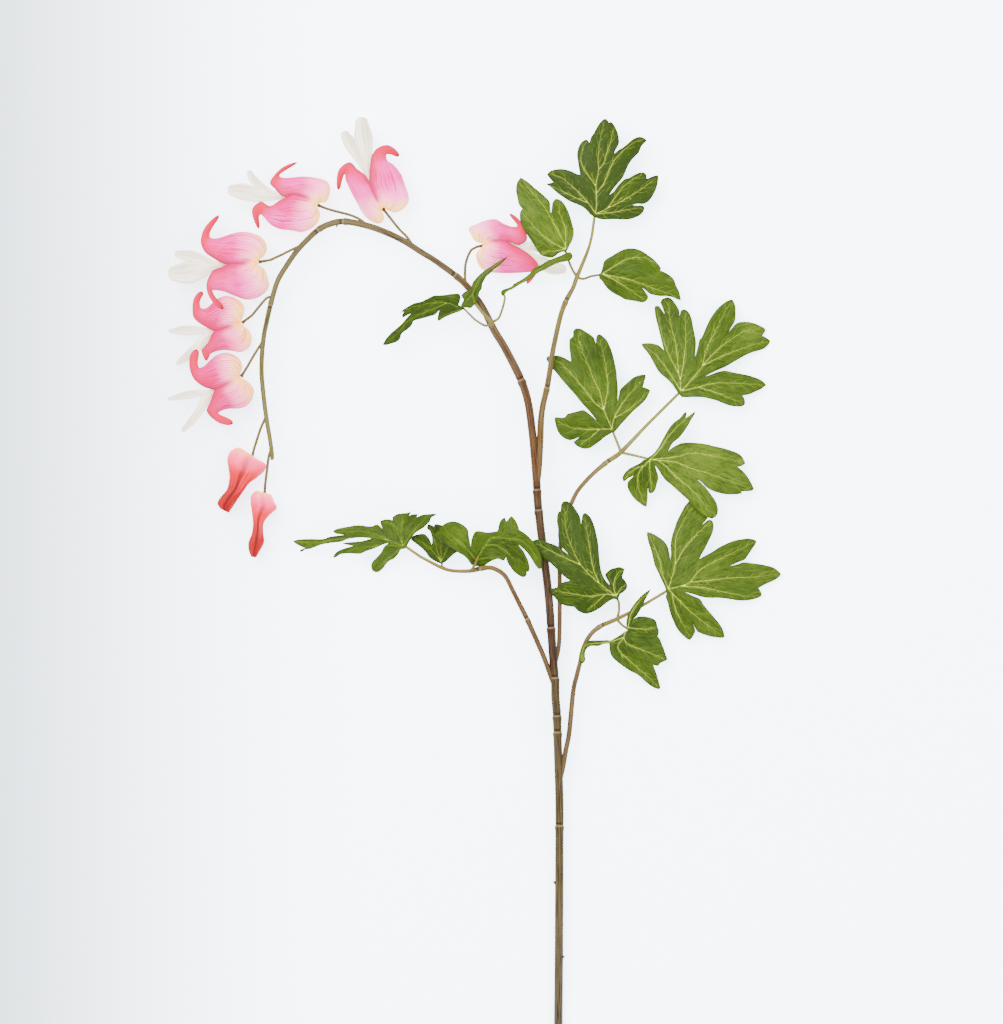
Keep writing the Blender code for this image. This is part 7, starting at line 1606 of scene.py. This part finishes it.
class HeartPetalLook(bpy.types.PropertyGroup):
    """Sizes and colours of the outer petals."""

    steps: bpy.props.IntProperty(name="Steps", description="Mesh steps between two stations", default=6,
                                 min=2)
    ridges: bpy.props.IntProperty(name="Ridges", description="Lengthwise ridges round a petal", default=9)
    ridge_height: metres("Ridge height", "Height of the lengthwise ridges", 0.05 * MM)
    thickness: metres("Thickness", "Thickness of a petal", 0.6 * MM)
    # Strength of the petal's painted glow, light it gives off in its own colour.
    painted_glow: bpy.props.FloatProperty(name="Glow", description="Light that comes through a petal", default=0.9)
    base_colour: tinted("Seat", "Cream at the seat of a petal", "FFC86C")
    blush_colour: tinted("Blush", "Pale pink below the seat", "FB8FA8")
    body_colour: tinted("Pouch", "Pink of the pouch", "CC0E7C")
    neck_colour: tinted("Neck", "Coral of the neck", "B40A34")
    horn_colour: tinted("Horn", "Red of the curled tip", "8A0A10")
    tip_colour: tinted("Tip", "Dark end of the curled tip", "4A0808")
    streak_colour: tinted("Light streaks", "Light lengthwise streaks", "FC68C4")
    line_colour: tinted("Dark lines", "Dark lengthwise lines, as a multiplier", "BC4C88")
    vein_colour: tinted("Fine veins", "Fine dark veins, as a multiplier", "B85C84")
    # Deep pink of the lips, also used as painted shade down the groove where the petals meet.
    deep_lip_and_shade_colour: tinted("Lip", "Deep pink where the petals meet", "98063C")
    inside_colour: tinted("Inside", "Inner face of a petal", "8A0826")

    def stops(self):
        return [(0.0, self.base_colour), (0.10, self.base_colour), (0.22, self.blush_colour),
                (0.40, self.body_colour), (0.60, self.body_colour), (0.74, self.neck_colour),
                (1.0, self.horn_colour)]


class HeartInnerLook(bpy.types.PropertyGroup):
    """Sizes and colours of the white inner petals."""

    steps: bpy.props.IntProperty(name="Steps", description="Mesh steps between two stations", default=7,
                                 min=2)
    sides: bpy.props.IntProperty(name="Sides", description="Points round an inner petal", default=28, min=8)
    # Strength of the inner petal's painted glow, light it gives off in its own colour.
    painted_glow: bpy.props.FloatProperty(name="Glow", description="Light that comes through a petal", default=0.3)
    foot_colour: tinted("Foot", "Blushed foot of an inner petal", "E8A8A0")
    body_colour: tinted("White", "Warm white of an inner petal", "EBE0CC")
    tip_colour: tinted("Tip", "Tip of an inner petal", "D8D2B4")
    # Beige streaks, and the painted shade inside the hood.
    beige_streak_and_shade_colour: tinted("Streaks", "Beige streaks", "B8A48C")
    # Greenish grey of the keel, and the painted shade along the rim.
    keel_and_rim_shade_colour: tinted("Keel", "Greenish grey of the middle and the rim", "8A8A68")

    def stops(self):
        return [(0.0, self.foot_colour), (0.30, self.body_colour), (0.85, self.body_colour),
                (1.0, self.tip_colour)]


class HeartBudLook(bpy.types.PropertyGroup):
    """Sizes and colours of the closed buds."""

    steps: bpy.props.IntProperty(name="Steps", description="Mesh steps between two stations", default=7,
                                 min=2)
    sides: bpy.props.IntProperty(name="Sides", description="Points round a bud", default=44, min=8)
    # Strength of the bud's painted glow, light it gives off in its own colour.
    painted_glow: bpy.props.FloatProperty(name="Glow", description="Light that comes through a bud", default=0.6)
    crown_colour: tinted("Crown", "Peach crown", "F0A458")
    blush_colour: tinted("Blush", "Pink below the crown", "EE4070")
    body_colour: tinted("Body", "Red of the pouch", "B4101C")
    neck_colour: tinted("Neck", "Deep red of the snout", "7C0808")
    streak_colour: tinted("Streaks", "Light streaks", "E83A50")
    # Dark red of the streaks, and the painted shade down the folds.
    streak_and_fold_shade_colour: tinted("Folds", "Dark red of the folds", "3A0404")

    def stops(self):
        return [(0.0, self.crown_colour), (0.10, self.crown_colour), (0.24, self.blush_colour),
                (0.44, self.body_colour), (0.72, self.neck_colour), (1.0, self.neck_colour)]


class HeartStageLook(bpy.types.PropertyGroup):
    """Floor, lights and camera."""

    camera_height: bpy.props.FloatProperty(name="Camera height",
                                           description="Camera above the plant's middle",
                                           default=4.0, unit="LENGTH")
    sharp_height: bpy.props.FloatProperty(name="Framed height",
                                          description="Level at which the photo is framed",
                                          default=14 * MM, unit="LENGTH", precision=4)
    floor_side: bpy.props.FloatProperty(name="Floor", description="Side of the floor", default=12.0,
                                        unit="LENGTH")
    floor_glow: bpy.props.FloatProperty(name="Floor glow", description="Light given by the floor itself",
                                        default=4.4)
    key_power: bpy.props.FloatProperty(name="Key light", description="Power of the main soft light in watts",
                                       default=178.0)
    sky: bpy.props.FloatProperty(name="Sky", description="Strength of the even surrounding light",
                                 default=1.57)
    floor_colour: tinted("Floor", "Pale, slightly blue white", "EAF4FF")
    glow_colour: tinted("Glow", "Colour of the floor's own light", "DFEEFF")
    # Painted shade where the light falls off: the floor and its glow turn grey toward the left, between the
    # two places set below.
    shade_falloff_colour: tinted("Grey side", "Floor and glow at the left", "848C90")
    shade_falloff_at: bpy.props.FloatProperty(name="Grey at", description="Where the floor is greyest",
                                       default=-0.34, unit="LENGTH")
    pale_side: bpy.props.FloatProperty(name="Pale from", description="Where the floor is fully pale",
                                       default=-0.06, unit="LENGTH")


class HEART_OT_stem(bpy.types.Operator):
    """Grow the main stem, its scars and the flower stalks"""

    bl_idname = "object.heart_stem"
    bl_label = "Stem and flower stalks"

    def execute(self, context):
        look = context.scene.heart_stem
        skin, tree = stalk_skin(look), tube_tree()
        rows = stalk_rows(STEM, STEM_JOINTS)
        rows[:, 2] = np.maximum(rows[:, 2], rows[:, 3] + look.flute_depth)
        stem = add_stalk("main_stem", tree, rows, look.sides, look.flutes, look.flute_depth, skin,
                         STEM_COLOURS, STEM_JOINTS)
        settle(stem, None, "stem", "stem")
        for name, points in PEDICELS.items():
            flower = FLOWERS.get(name) or BUDS[name]
            seat = seen_at(*flower["seat"], flower["height"])
            radius = RECEPTACLE if name in FLOWERS else 1.1 * MM
            last = seen_at(*points[-1])
            away = (last - seat).normalized()
            stop = seat + away * (radius * 0.7)
            fine = through(points, 6)
            path = [(*p, look.pedicel / 2) for p in places(fine)]
            path += [(*(stop + away * 2.2 * MM), look.pedicel / 2),
                     (*(stop + away * 1.1 * MM), look.knob * 0.46),
                     (*(stop + away * 0.5 * MM), look.knob * 0.5), (*stop, look.knob * 0.42)]
            path[0] = (*path[0][:3], look.pedicel * 0.9)
            path[1] = (*path[1][:3], look.pedicel * 0.72)
            stalk = add_stalk(name + "_stalk", tree, path, 14, 5, look.flute_depth * 0.3, skin,
                              PEDICEL_COLOURS)
            settle(stalk, None, "stem")
        for i, (start, end, diameter) in enumerate(STEM_STUBS):
            a, b = seen_at(*start), seen_at(*end)
            path = [(*a.lerp(b, t), diameter * MM * wide)
                    for t, wide in ((0, 0.62), (0.4, 0.56), (0.7, 0.5), (0.9, 0.4), (1, 0.22))]
            stub = add_stalk("scar_%d" % (i + 1), tree, path, 16, 5, look.flute_depth * 0.3, skin,
                             SCAR_COLOURS)
            settle(stub, None, "stem")
        return {"FINISHED"}


class HEART_OT_stalks(bpy.types.Operator):
    """Grow the five forked leaf stalks"""

    bl_idname = "object.heart_stalks"
    bl_label = "Leaf stalks"

    def execute(self, context):
        look = context.scene.heart_stem
        skin, tree = bpy.data.materials["stem_skin"], bpy.data.node_groups["stalk_on_path"]
        for name, data in STALKS.items():
            for i, (points, leaf) in enumerate(data["lines"]):
                rows = stalk_rows(points, data["joints"] if i == 0 else [])
                rows[:, 3] = np.maximum(rows[:, 3] * look.swell,
                                        look.thinnest * (1.0 if i == 0 else SIDE_STALK))
                rows = np.vstack([rows, self.under_leaf(LEAVES[leaf], rows[-1, 3] * 0.92)])
                stalk = add_stalk("stalk_%s_%d" % (name, i + 1), tree, rows, 18, 7, look.flute_depth * 0.4,
                                  skin,
                                  STALK_COLOURS[name][0 if i == 0 else -2:], data["joints"] if i == 0 else ())
                settle(stalk, None, "stalk", *(["stalk_" + name] if i == 0 else []))
        return {"FINISHED"}

    @staticmethod
    def under_leaf(data, radius):
        """Rows that carry a stalk on along the first vein, just clear of the blade."""
        sheet = Sheet(data["heights"])
        rows = []
        path = vectors(data["under"])
        for share, thin in ((0.0, 1.0), (0.35, 0.9), (0.7, 0.72), (1.0, 0.45)):
            spot = path[0] + (path[1] - path[0]) * share
            around = spot + np.array([(0, 0), (1, 0), (-1, 0), (0, -1), (0, 1)])
            z = sheet.heights(around)
            at = places(np.column_stack([around, z]))
            normal = np.cross(at[1] - at[2], at[3] - at[4])
            normal /= np.linalg.norm(normal)
            clear = 0.35 * MM + radius * thin * 0.8
            rows.append((*(at[0] + normal * clear * data["seat"]), radius * thin))
        return np.array(rows)


class HEART_OT_leaves(bpy.types.Operator):
    """Spread the leaf blades with their lobes, veins and waves"""

    bl_idname = "object.heart_leaves"
    bl_label = "Leaf blades"

    def execute(self, context):
        look = context.scene.heart_leaf
        green = leaf_green(look)
        for name, data in LEAVES.items():
            veined = FAINT_VEINS if any(word in name for word in FAINT_LEAVES) else 1.0
            vertices, faces, values = leaf_mesh(data, look, LEAF_TONES_AND_SHEEN[name], veined)
            blade = add_mesh(name + "_blade", vertices, faces, tidy=False)
            for key, value in values.items():
                set_values(blade.data, key, value)
            settle(blade, green, "leaf", name)
        return {"FINISHED"}


class HEART_OT_petals(bpy.types.Operator):
    """Shape the two pouched outer petals of every heart"""

    bl_idname = "object.heart_petals"
    bl_label = "Outer petals"

    def execute(self, context):
        look = context.scene.heart_petal
        pink = petal_pink(look)
        for i, (name, flower) in enumerate(FLOWERS.items()):
            parts = [petal_mesh(flower, petal, look, i * 2.7 + k, FLOWER_VEINS[name])
                     for k, petal in enumerate(flower["petals"])]
            vertices, faces = ball(seen_at(*flower["seat"], flower["height"]), RECEPTACLE)
            parts.append((vertices, faces, {"lip": np.ones(len(vertices))}))
            settle(joined(name + "_heart", parts), pink, "outer_petal", name + "_petals")
        return {"FINISHED"}


class HEART_OT_inner(bpy.types.Operator):
    """Shape the white inner petals that hang out of every heart"""

    bl_idname = "object.heart_inner"
    bl_label = "Inner petals"

    def execute(self, context):
        look = context.scene.heart_inner
        white = inner_white(look)
        for name, flower in FLOWERS.items():
            parts = [tongue_mesh(path, look) for path in inner_paths(flower)]
            settle(joined(name + "_drop", parts), white, "inner_petal", name + "_inner")
        return {"FINISHED"}


class HEART_OT_buds(bpy.types.Operator):
    """Shape the closed buds"""

    bl_idname = "object.heart_buds"
    bl_label = "Buds"

    def execute(self, context):
        look = context.scene.heart_bud
        red = bud_red(look)
        for name, bud in BUDS.items():
            settle(joined(name + "_closed", [bud_mesh(bud, look)]), red, "bud", name)
        return {"FINISHED"}


class HEART_OT_stage(bpy.types.Operator):
    """Set the pale floor, the soft lights and the camera that looks down"""

    bl_idname = "object.heart_stage"
    bl_label = "Stage"

    def execute(self, context):
        look = context.scene.heart_stage
        half = look.floor_side / 2
        floor = add_mesh("floor", [(-half, -half, 0), (half, -half, 0), (half, half, 0), (-half, half, 0)],
                         [(0, 1, 2, 3)], tidy=False)
        floor.data.materials.append(floor_paint(look))
        floor.location.z = -0.05 * MM
        middle = seen_at(PHOTO_SIZE[0] / 2, PHOTO_SIZE[1] / 2)
        for name, place, side, share in (("key_light", (-0.9, 0.9, 1.9), 1.8, 1.0),
                                         ("fill_light", (1.2, -0.5, 1.8), 2.0, 0.45)):
            lamp = bpy.data.lights.new(name, "AREA")
            lamp.size = side
            lamp.energy = look.key_power * share
            light = shown(name, lamp)
            light.location = middle + Vector(place)
            light.rotation_euler = (middle - light.location).to_track_quat("-Z", "Y").to_euler()
        world = bpy.data.worlds.new("even_light")
        world.use_nodes = True
        world.node_tree.nodes["Background"].inputs["Color"].default_value = (0.95, 0.97, 1.0, 1.0)
        world.node_tree.nodes["Background"].inputs["Strength"].default_value = look.sky
        context.scene.world = world
        lens = bpy.data.cameras.new("camera")
        camera = shown("camera", lens)
        camera.location = middle + Vector((0, 0, look.camera_height + look.sharp_height))
        lens.sensor_width = 36.0
        lens.lens = lens.sensor_width * look.camera_height / (max(PHOTO_SIZE) * SCALE)
        lens.clip_end = 100.0
        context.scene.camera = camera
        return {"FINISHED"}


class HEART_PT_panel(bpy.types.Panel):
    """Lists the steps that build the plant"""

    bl_label = "Bleeding heart"
    bl_idname = "HEART_PT_panel"
    bl_space_type = "VIEW_3D"
    bl_region_type = "UI"
    bl_category = "Bleeding Heart"

    def draw(self, context):
        for operator in OPERATORS:
            self.layout.operator(operator.bl_idname)
        for look in LOOKS:
            group = getattr(context.scene, look)
            box = self.layout.box()
            for key in group.__annotations__:
                box.prop(group, key)


LOOKS = {"heart_stem": HeartStemLook, "heart_leaf": HeartLeafLook, "heart_petal": HeartPetalLook,
         "heart_inner": HeartInnerLook, "heart_bud": HeartBudLook, "heart_stage": HeartStageLook}
OPERATORS = (HEART_OT_stem, HEART_OT_stalks, HEART_OT_leaves, HEART_OT_petals, HEART_OT_inner,
             HEART_OT_buds, HEART_OT_stage)


def register():
    for group in (*LOOKS.values(), *OPERATORS, HEART_PT_panel):
        bpy.utils.register_class(group)
    for name, group in LOOKS.items():
        setattr(bpy.types.Scene, name, bpy.props.PointerProperty(type=group))


def unregister():
    for name in LOOKS:
        delattr(bpy.types.Scene, name)
    for group in reversed((*LOOKS.values(), *OPERATORS, HEART_PT_panel)):
        bpy.utils.unregister_class(group)


def main():
    register()
    bpy.ops.object.heart_stem()
    bpy.ops.object.heart_stalks()
    bpy.ops.object.heart_leaves()
    bpy.ops.object.heart_petals()
    bpy.ops.object.heart_inner()
    bpy.ops.object.heart_buds()
    bpy.ops.object.heart_stage()
    bpy.context.view_layer.update()


if __name__ == "__main__":
    main()
